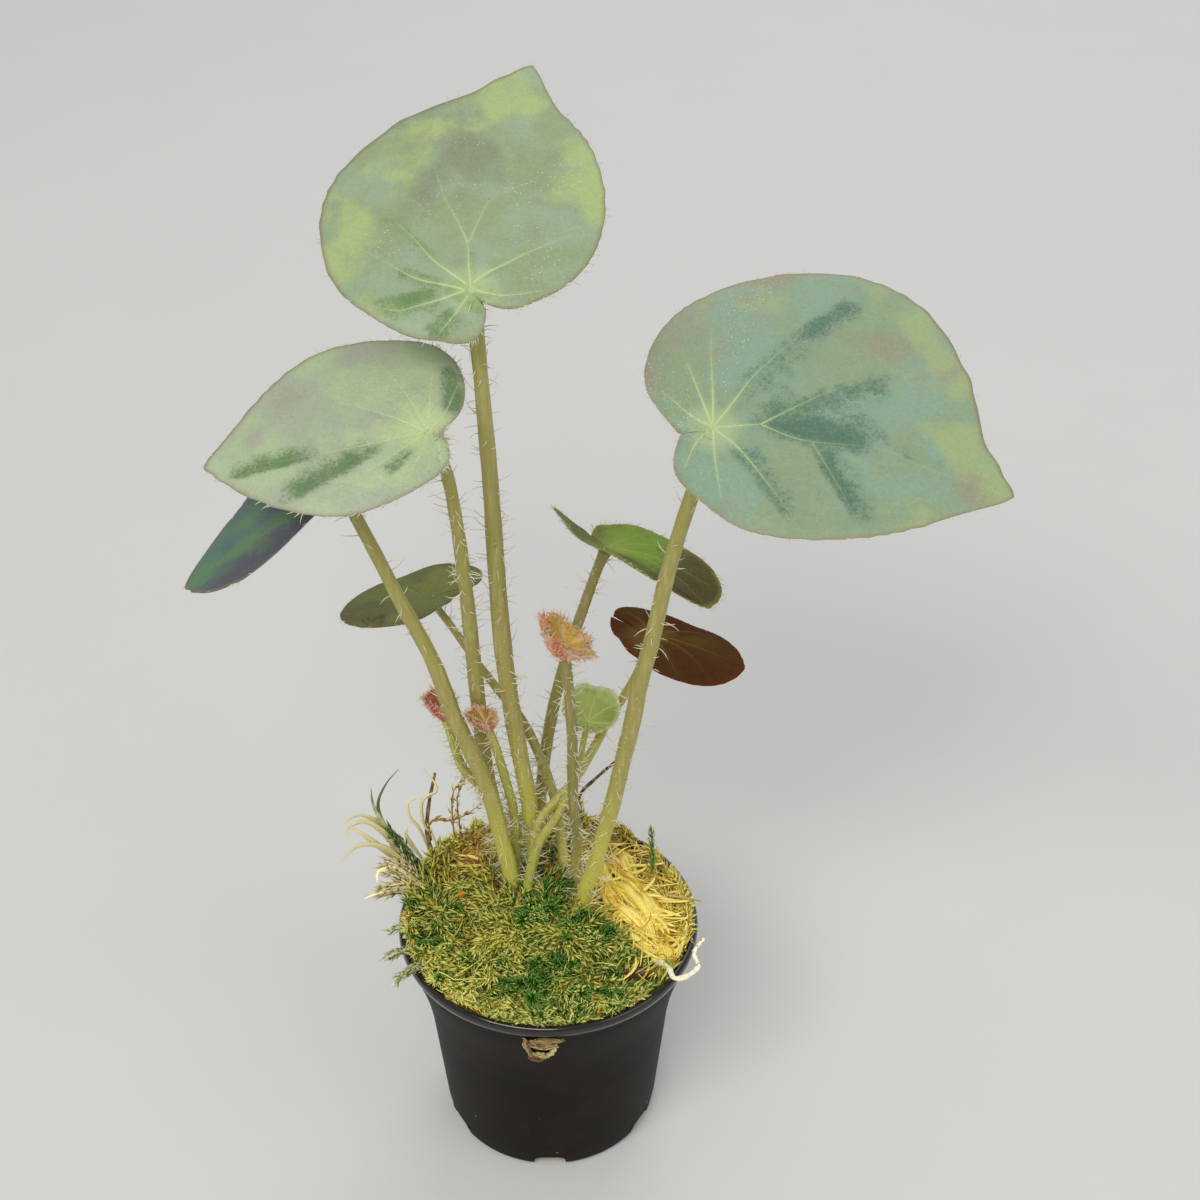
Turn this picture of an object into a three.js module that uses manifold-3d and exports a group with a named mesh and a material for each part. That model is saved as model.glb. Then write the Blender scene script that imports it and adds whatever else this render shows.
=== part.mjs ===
// A young begonia with round, hairy leaves, growing in moss in a round nursery pot.
// Millimetres, +Z up. The origin is the centre of the pot's flat base.
import * as THREE from 'three';
import { mergeVertices } from 'three/addons/utils/BufferGeometryUtils.js';
import Module from 'manifold-3d';

const wasm = await Module();
wasm.setup();

// Gap kept between pieces that touch.
const GAP = 0.3;

// Pot: a 90 mm round pot of thin formed plastic, 75 mm tall.
const RIM_RADIUS = 45;
const POT_HEIGHT = 75;
const POT_WALL = 1.0;
const POT_SIDES = 30;
const POT_BODY = [
  [31, 0],
  [32.4, 1.2],
  [33.2, 6],
  [36.6, 42],
  [38.2, 52],
  [40.4, 60],
  [42.6, 67],
  [43.4, 70.6],
];
const RIM_BEAD = [
  [44.5, 71.2],
  [RIM_RADIUS, 73],
  [44.5, 74.6],
  [43.4, POT_HEIGHT],
  [42.5, 74.5],
];
const NOTCH_COUNT = 6;
const NOTCH_WIDTH = 10;
const NOTCH_HEIGHT = 4.5;
const NOTCH_DEPTH = 4;
const NOTCH_SHOULDER = 1.2;
const NOTCH_TAPER = 0.6;
const NOTCH_ROUNDING = 2;

// Moss bed: its top is a low mound under the stalks, a little below the rim at the wall.
const BED_RADIUS = 42;
const BED_EDGE = 71.5;
const MOUND_RISE = 6;
const MOUND_SPREAD = 20;
const MOUND_CENTRE = [-1, 10];
const BED_RIPPLE = 0.7;
const BED_MARGIN = 1.8;
const BED_RINGS = 6;
const BED_SPOKES = 24;

// Rootstock: it lies in the bed, and every stalk stands on it.
const FOOT_LEVEL = 69;
const FOOT_SPARE = 1.5;
const KNOT_CENTRE = [-1, 14];
const KNOT_HALF = [16, 18, 6];
const KNOT_LEVEL = 60.5;
const KNOT_ROUNDNESS = [10, 5];
const KNOB_FLARE = 1.2;
const ROOT_COUNT = 4;
const ROOT_LENGTH = 30;
const ROOT_RADII = [1.3, 0.9, 0.5];
const ROOT_REACHES = [0.3, 0.9, 1.3, 1.5];
const ROOT_DROPS = [0, 0.1, 0.55, 1];

// Blades: where along each half of the outline its reach from the hub is given,
// from the tip (0) to the sinus (1).
const STATIONS = [0, 0.06, 0.14, 0.25, 0.38, 0.52, 0.66, 0.8, 0.91, 1];
const BLADE_THICKNESS = 0.7;
const SPOKE_CROWDING = 1.25;
const HUB_DIP_REACH = 6;
const FOLD_SOFTNESS = 2;

// Stalks: how finely they are bent, and how many spots of each are kept to test for room.
const STALK_SIDES = 7;
const STALK_STEPS = 10;
const TRACK_STEPS = 60;

// Hairs that stand out from the stalks.
const HAIR_LENGTH = 3.2;
const HAIR_RADIUS = 0.28;
const HAIR_SUNK = 0.6;

// Sprouts and moss.
const PLEATS = 6;
const PLEAT_DEPTH = 0.12;
const CUP_FLATNESS = 0.85;
const CUP_SIDES = 10;
const GOLDEN_TURN = 2.39996;
const BED_STRANDS = 22;
const SHOOT_COUNT = 40;

const SEED = 20417;

// Each leaf: its blade's hub, the point its tip aims at, how its face is tilted (elevation
// of the face's normal) and turned (0 looks along -Y), how far the sinus lies round from the
// tip on either side, the reach of the outline at the stations, how its edges droop or fold,
// and its stalk's route from foot to hub.
const LEAVES = [
  {
    name: 'top',
    hub: [-15.5, 5, 281.7],
    tip: [-2.2, 70.4, 316.5],
    tilt: 62,
    turn: 0,
    sinusLeft: 221,
    sinusRight: 135,
    reachLeft: [75, 62.5, 59, 51.5, 38.5, 25.5, 17.5, 15, 12, 7],
    reachRight: [75, 63, 56, 46, 35.5, 25, 17.5, 11, 5, 4],
    halfWidth: 38,
    tipDrop: 5,
    leftDrop: 4,
    rightDrop: 3,
    backDrop: 3,
    backReach: 18,
    wave: 0.8,
    waves: 7,
    dip: 1.5,
    rings: 5,
    spokes: 14,
    colour: 0xa5b48b,
    stalkRadii: [2.5, 2.6, 1.8],
    stalkColour: 0xb9b873,
    route: [
      [-5.6, 17.2],
      [-5.2, 17.2, 90],
      [-5.6, 16, 106],
      [-7.6, 14.8, 123.7],
      [-10.1, 13.1, 147.9],
      [-11.7, 11.6, 170.4],
      [-12.5, 9.8, 196.7],
      [-13.1, 8.1, 225.1],
      [-14, 6.7, 248],
      [-14.8, 5.6, 267],
    ],
    hairs: 22,
  },
  {
    name: 'left',
    hub: [-26.4, -10, 250.7],
    tip: [-82.3, -14.8, 245.5],
    tilt: 64,
    turn: -6,
    sinusLeft: 148,
    sinusRight: 208,
    reachLeft: [56.5, 50, 42, 32, 22, 16, 12, 9, 6, 4],
    reachRight: [56.5, 50, 45, 40.5, 33.5, 24, 12, 4.5, 3.5, 4],
    halfWidth: 28,
    tipDrop: 4,
    leftDrop: 3,
    rightDrop: 4,
    backDrop: 2,
    backReach: 10,
    wave: 0.7,
    waves: 6,
    dip: 1.5,
    rings: 4,
    spokes: 14,
    colour: 0xa3af96,
    stalkRadii: [2.2, 2.2, 1.5],
    stalkColour: 0xb0b078,
    route: [
      [-14, 22.5],
      [-15.2, 21.6, 92],
      [-18, 19.2, 115],
      [-19.3, 14.7, 144.8],
      [-19.9, 9, 170.6],
      [-20.4, 0.3, 200.1],
      [-21.5, -4.9, 222.8],
      [-22.8, -7.7, 236.6],
    ],
    hairs: 18,
  },
  {
    name: 'low_left',
    hub: [-52.8, 4, 227.7],
    tip: [-89.1, -24.3, 216.3],
    tilt: 76,
    turn: -60,
    sinusLeft: 126,
    sinusRight: 230,
    reachLeft: [47.5, 46, 38, 14.5, 11, 10.5, 10.5, 9.5, 9, 9],
    reachRight: [47.5, 35, 25, 22, 21, 19, 15.5, 12, 10, 9],
    halfWidth: 22,
    tipDrop: 3,
    leftDrop: 1,
    rightDrop: 1,
    backDrop: 0,
    backReach: 10,
    wave: 0.5,
    waves: 6,
    dip: 1.2,
    rings: 4,
    spokes: 10,
    colour: 0x61807c,
    stalkRadii: [2.5, 2.4, 1.6],
    stalkColour: 0xa9b070,
    route: [
      [-9.6, 9],
      [-11.4, 8.4, 85],
      [-13.6, 8, 98.4],
      [-16.8, 7.5, 117.7],
      [-21.2, 7, 133],
      [-25.9, 6.5, 148.1],
      [-30.8, 5.8, 167.8],
      [-38.5, 5, 188.8],
      [-44.9, 4.4, 207.1],
      [-49.4, 4.2, 219],
    ],
    hairs: 16,
  },
  {
    name: 'back_left',
    hub: [-34, 30, 173],
    tip: [-57.2, 17.9, 175],
    tilt: 100,
    turn: 0,
    sinusLeft: 163,
    sinusRight: 193,
    reachLeft: [26, 27, 25.5, 19.5, 14, 10.5, 8.5, 8, 9, 12],
    reachRight: [26, 23.5, 20, 16, 15, 17.5, 22, 23, 18, 13],
    halfWidth: 17,
    tipDrop: 1,
    leftDrop: 1,
    rightDrop: 1,
    backDrop: 0,
    backReach: 10,
    wave: 0.4,
    waves: 5,
    dip: 1.2,
    rings: 4,
    spokes: 10,
    colour: 0x83986f,
    stalkRadii: [1.6, 1.45, 1.0],
    stalkColour: 0xc2bb80,
    route: [
      [5, 15.8],
      [4.2, 17.6, 84],
      [2.3, 20, 101.6],
      [-1.5, 22, 116.4],
      [-7.6, 24, 132],
      [-14.2, 25.8, 141.5],
      [-20.2, 27.4, 150.5],
      [-27, 29, 162],
    ],
    hairs: 8,
  },
  {
    name: 'folded',
    hub: [17.7, 25, 192.8],
    tip: [47.3, 5.5, 187.8],
    tilt: 76,
    turn: 113,
    sinusLeft: 176,
    sinusRight: 179,
    reachLeft: [34, 34.5, 30, 21, 15, 11.5, 9.5, 8.5, 7, 6],
    reachRight: [34, 31, 25, 20, 17, 15.5, 15, 15, 17, 9],
    halfWidth: 16,
    tipDrop: 3,
    leftDrop: 1,
    rightDrop: 0,
    backDrop: -4.5,
    backReach: 16,
    wave: 0.3,
    waves: 5,
    dip: 0.6,
    fold: [18, 27],
    rings: 4,
    spokes: 10,
    colour: 0x8ba04e,
    stalkRadii: [1.9, 1.8, 1.4],
    stalkColour: 0xb7a272,
    route: [
      [-2.6, 27],
      [-2.9, 27, 90],
      [-2.2, 27, 104],
      [-0.3, 27, 121],
      [3.8, 26.6, 144.5],
      [10.8, 26, 171],
      [15.2, 25.4, 186],
    ],
    hairs: 8,
  },
  {
    name: 'bronze',
    hub: [30, 33, 156.5],
    tip: [56.7, 15, 159],
    tilt: 98,
    turn: 0,
    sinusLeft: 169,
    sinusRight: 187,
    reachLeft: [32, 28, 23, 18, 14, 12.5, 14.5, 18, 18, 15],
    reachRight: [32, 33, 31, 23, 14, 10.5, 9.5, 10.5, 12.5, 15],
    halfWidth: 17,
    tipDrop: 1,
    leftDrop: 1,
    rightDrop: 1,
    backDrop: 0,
    backReach: 10,
    wave: 0.4,
    waves: 5,
    dip: 1.2,
    rings: 4,
    spokes: 10,
    colour: 0x4f3322,
    stalkRadii: [1.5, 1.5, 1.1],
    stalkColour: 0xb4b35c,
    route: [
      [-4.6, 10.6],
      [-5, 10.8, 86],
      [-2.4, 12.6, 102],
      [2.7, 15.5, 108],
      [7.2, 18.5, 112],
      [12.8, 22, 120.7],
      [17.6, 26, 129],
      [22, 29, 135.5],
      [26.2, 31.5, 143],
    ],
    hairs: 8,
  },
  {
    name: 'right',
    hub: [42.8, -15, 254.9],
    tip: [115.4, -27.9, 246.1],
    tilt: 64,
    turn: 4,
    sinusLeft: 204,
    sinusRight: 152,
    reachLeft: [74.5, 66.5, 68, 69.5, 56.5, 40, 28, 17, 10, 8],
    reachRight: [74.5, 61, 50, 40, 30.5, 23.5, 18.5, 14, 10, 8],
    halfWidth: 45,
    tipDrop: 5,
    leftDrop: 4,
    rightDrop: 3,
    backDrop: 2,
    backReach: 20,
    wave: 1.0,
    waves: 7,
    dip: 1.5,
    rings: 5,
    spokes: 14,
    colour: 0xa7bda4,
    stalkRadii: [2.4, 2.4, 1.8],
    stalkColour: 0xb2b47c,
    route: [
      [9, 3.6],
      [11.2, 3, 83.5],
      [13.4, 2.6, 91],
      [16.1, 1.6, 104.7],
      [19.4, 0.4, 121.3],
      [22, -0.8, 137.4],
      [24.6, -2.4, 153.2],
      [26.6, -4, 168.5],
      [29.4, -5.8, 183.4],
      [32.6, -8.3, 204.8],
      [36.2, -11.1, 223.8],
      [39.6, -13.2, 239],
    ],
    hairs: 22,
  },
  {
    name: 'tiny',
    hub: [12, 17, 136.6],
    tip: [14.6, 22.7, 146.1],
    tilt: 30,
    turn: 5,
    sinusLeft: 178,
    sinusRight: 178,
    reachLeft: [11, 11.5, 12, 11, 10, 7, 5, 4, 3, 2.5],
    reachRight: [11, 11.5, 12, 11, 9, 6.5, 4.5, 3.5, 3, 2.5],
    halfWidth: 10,
    tipDrop: -2.5,
    leftDrop: 0,
    rightDrop: 0,
    backDrop: 0,
    backReach: 5,
    wave: 0.5,
    waves: 7,
    dip: 0.3,
    fold: [18, 18],
    rings: 4,
    spokes: 9,
    colour: 0x93aa70,
    stalkRadii: [1.5, 1.4, 0.8],
    stalkColour: 0xb4bb4c,
    route: [
      [-5.6, 4.4],
      [-6, 5, 84],
      [-2.2, 7.5, 99],
      [2.4, 10, 105.5],
      [6, 13.2, 111.5],
      [9.2, 15, 119],
      [10.4, 16.2, 128],
    ],
    hairs: 6,
  },
];

// Sprouts: unopened leaves, each a pleated, hairy funnel on its own stalk. The skew tilts the
// funnel's mouth, so that its left side stands higher.
const SPROUTS = [
  {
    name: 'red',
    height: 10.5,
    radius: 7.3,
    skew: 0.75,
    lean: [0.05, -0.25, 0.97],
    hairs: 26,
    colour: 0xb05a3c,
    stalkRadii: [1.8, 1.6, 1.5],
    stalkColour: 0xb5a468,
    route: [
      [8.6, 9.6],
      [8.4, 9, 86],
      [8.4, 8.5, 102],
      [7.6, 8, 118],
      [7.5, 7, 142],
      [6.1, 6, 168.4],
    ],
    stalkHairs: 10,
  },
  {
    name: 'orange',
    height: 8,
    radius: 4,
    skew: 0.2,
    lean: [-0.25, -0.3, 0.9],
    hairs: 18,
    colour: 0xb26440,
    stalkRadii: [1.5, 1.4, 1.3],
    stalkColour: 0xb4b65e,
    route: [
      [-9.6, 13.8],
      [-9.8, 13.4, 88],
      [-10.2, 13, 106],
      [-12.2, 12, 119],
      [-14.2, 10.4, 131],
      [-16.2, 9.4, 140],
    ],
    stalkHairs: 12,
  },
  {
    name: 'pink',
    height: 9,
    radius: 4.2,
    skew: 0.1,
    lean: [-0.2, -0.1, 0.97],
    hairs: 20,
    colour: 0xa8414a,
    stalkRadii: [1.5, 1.4, 1.3],
    stalkColour: 0xbcb57a,
    route: [
      [-13.6, 16],
      [-13.8, 15.6, 88],
      [-14.2, 14.8, 101],
      [-17.6, 13, 113],
      [-24.4, 12.4, 123],
      [-27.4, 12.2, 135.7],
      [-28.6, 11.8, 142],
    ],
    stalkHairs: 16,
  },
];

const root = new THREE.Group();
let seedState = SEED;

// Returns a repeatable number from 0 up to 1.
function draw() {
  seedState = (seedState + 0x6d2b79f5) | 0;
  let mix = Math.imul(seedState ^ (seedState >>> 15), 1 | seedState);
  mix = (mix + Math.imul(mix ^ (mix >>> 7), 61 | mix)) ^ mix;
  return ((mix ^ (mix >>> 14)) >>> 0) / 4294967296;
}

function drawBetween(low, high) {
  return low + (high - low) * draw();
}

function radians(degrees) {
  return (degrees * Math.PI) / 180;
}

// Turns a closed geometry into a solid that can be joined and cut.
function solidOf(geometry) {
  const bare = geometry.index ? geometry.clone() : geometry;
  bare.deleteAttribute('normal');
  bare.deleteAttribute('uv');
  const merged = mergeVertices(bare, 1e-4);
  const mesh = new wasm.Mesh({
    numProp: 3,
    vertProperties: Float32Array.from(merged.attributes.position.array),
    triVerts: Uint32Array.from(merged.index.array),
  });
  return new wasm.Manifold(mesh);
}

function geometryOf(solid) {
  const mesh = solid.getMesh();
  const geometry = new THREE.BufferGeometry();
  geometry.setAttribute('position', new THREE.BufferAttribute(mesh.vertProperties, 3));
  geometry.setIndex(new THREE.BufferAttribute(mesh.triVerts, 1));
  geometry.computeVertexNormals();
  return geometry;
}

// Adds a named mesh with its own plain finish to the group.
function addMesh(name, geometry, colour, roughness = 0.7) {
  const finish = new THREE.MeshStandardMaterial({ color: colour, roughness, metalness: 0 });
  const mesh = new THREE.Mesh(geometry, finish);
  mesh.name = name;
  root.add(mesh);
}

// A closed round rod whose axis follows a curve, with its own radius at foot, middle and top.
function bentRod(curve, radii, sides, steps) {
  const rod = new THREE.CylinderGeometry(1, 1, 1, sides, steps);
  const frames = curve.computeFrenetFrames(steps, false);
  const centres = curve.getSpacedPoints(steps);
  const place = rod.attributes.position;
  const point = new THREE.Vector3();
  for (let i = 0; i < place.count; i += 1) {
    const along = place.getY(i) + 0.5;
    const step = Math.round(along * steps);
    const radius = radiusAt(radii, along);
    point.copy(centres[step]);
    point.addScaledVector(frames.normals[step], place.getX(i) * radius);
    point.addScaledVector(frames.binormals[step], -place.getZ(i) * radius);
    place.setXYZ(i, point.x, point.y, point.z);
  }
  return facingOut(rod);
}

function radiusAt([foot, middle, top], along) {
  if (along < 0.5) {
    return foot + (middle - foot) * along * 2;
  }
  return middle + (top - middle) * (along - 0.5) * 2;
}

// Turns all triangles over if the closed geometry's volume comes out negative.
function facingOut(geometry) {
  const place = geometry.attributes.position;
  const order = geometry.index.array;
  let volume = 0;
  const a = new THREE.Vector3();
  const b = new THREE.Vector3();
  const c = new THREE.Vector3();
  for (let i = 0; i < order.length; i += 3) {
    a.fromBufferAttribute(place, order[i]);
    b.fromBufferAttribute(place, order[i + 1]);
    c.fromBufferAttribute(place, order[i + 2]);
    volume += a.dot(b.cross(c));
  }
  if (volume < 0) {
    for (let i = 0; i < order.length; i += 3) {
      [order[i + 1], order[i + 2]] = [order[i + 2], order[i + 1]];
    }
  }
  return geometry;
}

function smoothCurve(points) {
  return new THREE.CatmullRomCurve3(points, false, 'centripetal');
}

// A thin pointed strand through the given points, closed at both ends.
function strand(points, radius, sides = 3, steps = 5) {
  return bentRod(smoothCurve(points), [radius, radius * 0.75, radius * 0.12], sides, steps);
}

// Height of the moss bed's top above the pot's base plane.
function bedTop(x, y) {
  const away = Math.hypot(x - MOUND_CENTRE[0], y - MOUND_CENTRE[1]);
  const mound = MOUND_RISE * Math.exp(-(away * away) / (2 * MOUND_SPREAD * MOUND_SPREAD));
  const ripple = Math.sin(0.37 * x + 0.9) * Math.cos(0.31 * y) + Math.sin(0.23 * (x - y) + 2.1);
  return BED_EDGE + mound + BED_RIPPLE * ripple;
}

// Outer radius of the pot's body at a height, between its profile points.
function potRadius(z) {
  for (let i = 1; i < POT_BODY.length; i += 1) {
    const [r0, z0] = POT_BODY[i - 1];
    const [r1, z1] = POT_BODY[i];
    if (z <= z1) {
      return r0 + ((r1 - r0) * (z - z0)) / (z1 - z0);
    }
  }
  return POT_BODY[POT_BODY.length - 1][0];
}

// The thin-walled pot with a rolled rim and drain notches round the edge of its base.
function buildPot() {
  const inside = POT_BODY.slice(1).map(([r, z]) => [r - POT_WALL, z]).reverse();
  const profile = [[0, 0], ...POT_BODY, ...RIM_BEAD, ...inside, [0, POT_BODY[1][1]]];
  const points = profile.map(([r, z]) => new THREE.Vector2(r, z));
  const shell = new THREE.LatheGeometry(points, POT_SIDES);
  shell.rotateX(Math.PI / 2);
  let pot = solidOf(shell);
  for (let i = 0; i < NOTCH_COUNT; i += 1) {
    const arch = new THREE.Shape();
    const half = NOTCH_WIDTH / 2;
    arch.moveTo(-half, -1);
    arch.lineTo(half, -1);
    arch.lineTo(half - NOTCH_TAPER, NOTCH_HEIGHT - NOTCH_SHOULDER);
    arch.lineTo(half - NOTCH_ROUNDING, NOTCH_HEIGHT);
    arch.lineTo(NOTCH_ROUNDING - half, NOTCH_HEIGHT);
    arch.lineTo(NOTCH_TAPER - half, NOTCH_HEIGHT - NOTCH_SHOULDER);
    arch.closePath();
    const notch = new THREE.ExtrudeGeometry(arch, { depth: NOTCH_DEPTH + 2, bevelEnabled: false });
    notch.rotateX(Math.PI / 2);
    notch.translate(0, -(POT_BODY[1][0] - NOTCH_DEPTH), 0);
    notch.rotateZ((i * 2 * Math.PI) / NOTCH_COUNT);
    pot = pot.subtract(solidOf(notch));
  }
  return pot;
}

// The moss fill: it follows the pot's inside and its top is the mound.
function buildBedBlock() {
  const positions = [];
  const floor = POT_BODY[1][1] + GAP;
  const levels = [floor, 6, 42, 52, 60];
  const rings = [];
  const ringAt = (radius, heightOf) => {
    const ring = [];
    for (let s = 0; s < BED_SPOKES; s += 1) {
      const turn = (s * 2 * Math.PI) / BED_SPOKES;
      const x = radius * Math.cos(turn);
      const y = radius * Math.sin(turn);
      ring.push(positions.length / 3);
      positions.push(x, y, heightOf(x, y));
    }
    rings.push(ring);
  };
  for (const z of levels) {
    ringAt(potRadius(z) - POT_WALL - 1.6 * GAP, () => z);
  }
  for (let r = 0; r < BED_RINGS; r += 1) {
    ringAt((BED_RADIUS - 3 * GAP) * (1 - r / BED_RINGS), bedTop);
  }
  const bottom = positions.length / 3;
  positions.push(0, 0, floor);
  const top = bottom + 1;
  positions.push(0, 0, bedTop(0, 0));
  const order = [];
  for (let r = 1; r < rings.length; r += 1) {
    for (let s = 0; s < BED_SPOKES; s += 1) {
      const next = (s + 1) % BED_SPOKES;
      order.push(rings[r - 1][s], rings[r - 1][next], rings[r][next]);
      order.push(rings[r - 1][s], rings[r][next], rings[r][s]);
    }
  }
  for (let s = 0; s < BED_SPOKES; s += 1) {
    const next = (s + 1) % BED_SPOKES;
    order.push(bottom, rings[0][next], rings[0][s]);
    order.push(top, rings[rings.length - 1][s], rings[rings.length - 1][next]);
  }
  return solidOf(indexed(positions, order));
}

function indexed(positions, order) {
  const geometry = new THREE.BufferGeometry();
  geometry.setAttribute('position', new THREE.Float32BufferAttribute(positions, 3));
  geometry.setIndex(order);
  return facingOut(geometry);
}

// Route of a stalk: its foot on the rootstock, then its own points, then the point it ends at.
function stalkCurve(plant) {
  const [foot, ...rest] = plant.route;
  const points = [new THREE.Vector3(foot[0], foot[1], FOOT_LEVEL - FOOT_SPARE)];
  for (const [x, y, z] of rest) {
    points.push(new THREE.Vector3(x, y, z));
  }
  if (plant.hub) {
    points.push(new THREE.Vector3(...plant.hub));
  }
  return smoothCurve(points);
}

// The blade's own directions: to the tip, to its left, and out of its upper face.
function bladeAxes(leaf) {
  const lift = radians(leaf.tilt);
  const turn = radians(leaf.turn);
  const up = new THREE.Vector3(
    Math.sin(turn) * Math.cos(lift),
    -Math.cos(turn) * Math.cos(lift),
    Math.sin(lift),
  );
  const ahead = new THREE.Vector3(...leaf.tip).sub(new THREE.Vector3(...leaf.hub));
  ahead.addScaledVector(up, -ahead.dot(up)).normalize();
  const left = new THREE.Vector3().crossVectors(up, ahead);
  return { ahead, left, up };
}

// Smooth reach of the outline between its stations.
function reachAt(reaches, share) {
  const last = STATIONS.length - 1;
  let i = 0;
  while (i < last - 1 && share > STATIONS[i + 1]) {
    i += 1;
  }
  const slope = (k) => {
    const low = Math.max(k - 1, 0);
    const high = Math.min(k + 1, last);
    return (reaches[high] - reaches[low]) / (STATIONS[high] - STATIONS[low]);
  };
  const span = STATIONS[i + 1] - STATIONS[i];
  const t = (share - STATIONS[i]) / span;
  const t2 = t * t;
  const t3 = t2 * t;
  return (
    (2 * t3 - 3 * t2 + 1) * reaches[i] +
    (t3 - 2 * t2 + t) * span * slope(i) +
    (3 * t2 - 2 * t3) * reaches[i + 1] +
    (t3 - t2) * span * slope(i + 1)
  );
}

// Half the blade's thickness along its face's direction, more where its halves are folded up.
function halfThickness(leaf) {
  const steepest = leaf.fold ? Math.max(...leaf.fold) : 0;
  return BLADE_THICKNESS / 2 / Math.cos(radians(steepest));
}

// A point of the blade's middle surface: its share of the reach, on a spoke that turns by
// a share of the way from the tip to the sinus, on the left (+1) or right (-1) half.
function bladePoint(leaf, axes, side, share, fraction) {
  const span = radians(side > 0 ? leaf.sinusLeft : leaf.sinusRight);
  const reach = reachAt(side > 0 ? leaf.reachLeft : leaf.reachRight, share);
  const turn = side * span * share;
  const r = reach * fraction;
  const u = r * Math.cos(turn);
  const v = r * Math.sin(turn);
  const drop = v > 0 ? leaf.leftDrop : leaf.rightDrop;
  let height = -leaf.dip * Math.exp(-((r / HUB_DIP_REACH) ** 2));
  height -= leaf.tipDrop * (Math.max(u, 0) / leaf.reachLeft[0]) ** 2;
  height -= leaf.backDrop * (Math.min(u, 0) / leaf.backReach) ** 2;
  height -= drop * (v / leaf.halfWidth) ** 2;
  height += leaf.wave * fraction ** 3 * Math.sin(leaf.waves * turn);
  let across = v;
  if (leaf.fold) {
    const [foldLeft, foldRight] = leaf.fold;
    const bend = (radians(v > 0 ? foldLeft : foldRight) * Math.abs(v)) / (Math.abs(v) + FOLD_SOFTNESS);
    across = v * Math.cos(bend);
    height += Math.abs(v) * Math.sin(bend);
  }
  return new THREE.Vector3(...leaf.hub)
    .addScaledVector(axes.ahead, u)
    .addScaledVector(axes.left, across)
    .addScaledVector(axes.up, height);
}

// A blade: rings and spokes round its hub, split alike on its upper and lower faces, with a
// slit from the outline's sinus to the hub.
function buildBlade(leaf) {
  const axes = bladeAxes(leaf);
  const spokes = [];
  for (let s = -leaf.spokes; s <= leaf.spokes; s += 1) {
    const share = (Math.abs(s) / leaf.spokes) ** SPOKE_CROWDING;
    spokes.push([s < 0 ? -1 : 1, share]);
  }
  const positions = [];
  const half = halfThickness(leaf);
  const put = (point, offset) => {
    const moved = point.clone().addScaledVector(axes.up, offset);
    positions.push(moved.x, moved.y, moved.z);
  };
  const hub = bladePoint(leaf, axes, 1, 0, 0);
  put(hub, half);
  put(hub, -half);
  for (const [side, share] of spokes) {
    for (let r = 1; r <= leaf.rings; r += 1) {
      const point = bladePoint(leaf, axes, side, share, r / leaf.rings);
      put(point, half);
      put(point, -half);
    }
  }
  const at = (spoke, ring, face) => (ring === 0 ? face : 2 + 2 * (spoke * leaf.rings + ring - 1) + face);
  const order = [];
  const quad = (a, b, c, d) => order.push(a, b, c, a, c, d);
  for (let s = 0; s + 1 < spokes.length; s += 1) {
    order.push(at(s, 0, 0), at(s, 1, 0), at(s + 1, 1, 0));
    order.push(at(s, 0, 1), at(s + 1, 1, 1), at(s, 1, 1));
    for (let r = 1; r < leaf.rings; r += 1) {
      order.push(at(s, r, 0), at(s, r + 1, 0), at(s + 1, r + 1, 0));
      order.push(at(s, r, 0), at(s + 1, r + 1, 0), at(s + 1, r, 0));
      order.push(at(s, r, 1), at(s + 1, r + 1, 1), at(s, r + 1, 1));
      order.push(at(s, r, 1), at(s + 1, r, 1), at(s + 1, r + 1, 1));
    }
    quad(at(s, leaf.rings, 0), at(s, leaf.rings, 1), at(s + 1, leaf.rings, 1), at(s + 1, leaf.rings, 0));
  }
  const lastSpoke = spokes.length - 1;
  for (let r = 0; r < leaf.rings; r += 1) {
    quad(at(0, r, 0), at(0, r, 1), at(0, r + 1, 1), at(0, r + 1, 0));
    quad(at(lastSpoke, r, 0), at(lastSpoke, r + 1, 0), at(lastSpoke, r + 1, 1), at(lastSpoke, r, 1));
  }
  return indexed(positions, order);
}

// A large block that starts at a plane, to cut away what lies past it.
function blockPast(point, direction) {
  const size = 60;
  const block = new THREE.BoxGeometry(size, size, size);
  block.translate(0, 0, size / 2);
  const turn = new THREE.Quaternion().setFromUnitVectors(new THREE.Vector3(0, 0, 1), direction);
  block.applyQuaternion(turn);
  block.translate(point.x, point.y, point.z);
  return solidOf(block);
}

// The stalk without its hairs; grow widens it for the hole it stands in.
function bareStalk(plant, grow = 0) {
  const radii = plant.stalkRadii.map((radius) => radius + grow);
  return solidOf(bentRod(stalkCurve(plant), radii, STALK_SIDES, STALK_STEPS));
}

// All stalks as centre points with their radii, to keep hairs clear of other stalks.
function stalkTrack(plant) {
  return stalkCurve(plant).getSpacedPoints(TRACK_STEPS).map((centre, i) => ({
    plant,
    centre,
    radius: radiusAt(plant.stalkRadii, i / TRACK_STEPS),
  }));
}

const PLANTS = [...LEAVES, ...SPROUTS];
const TRACKS = PLANTS.flatMap(stalkTrack);

function clearOfOthers(point, plant, room) {
  return TRACKS.every((spot) => spot.plant === plant || spot.centre.distanceTo(point) > spot.radius + room);
}

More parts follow.
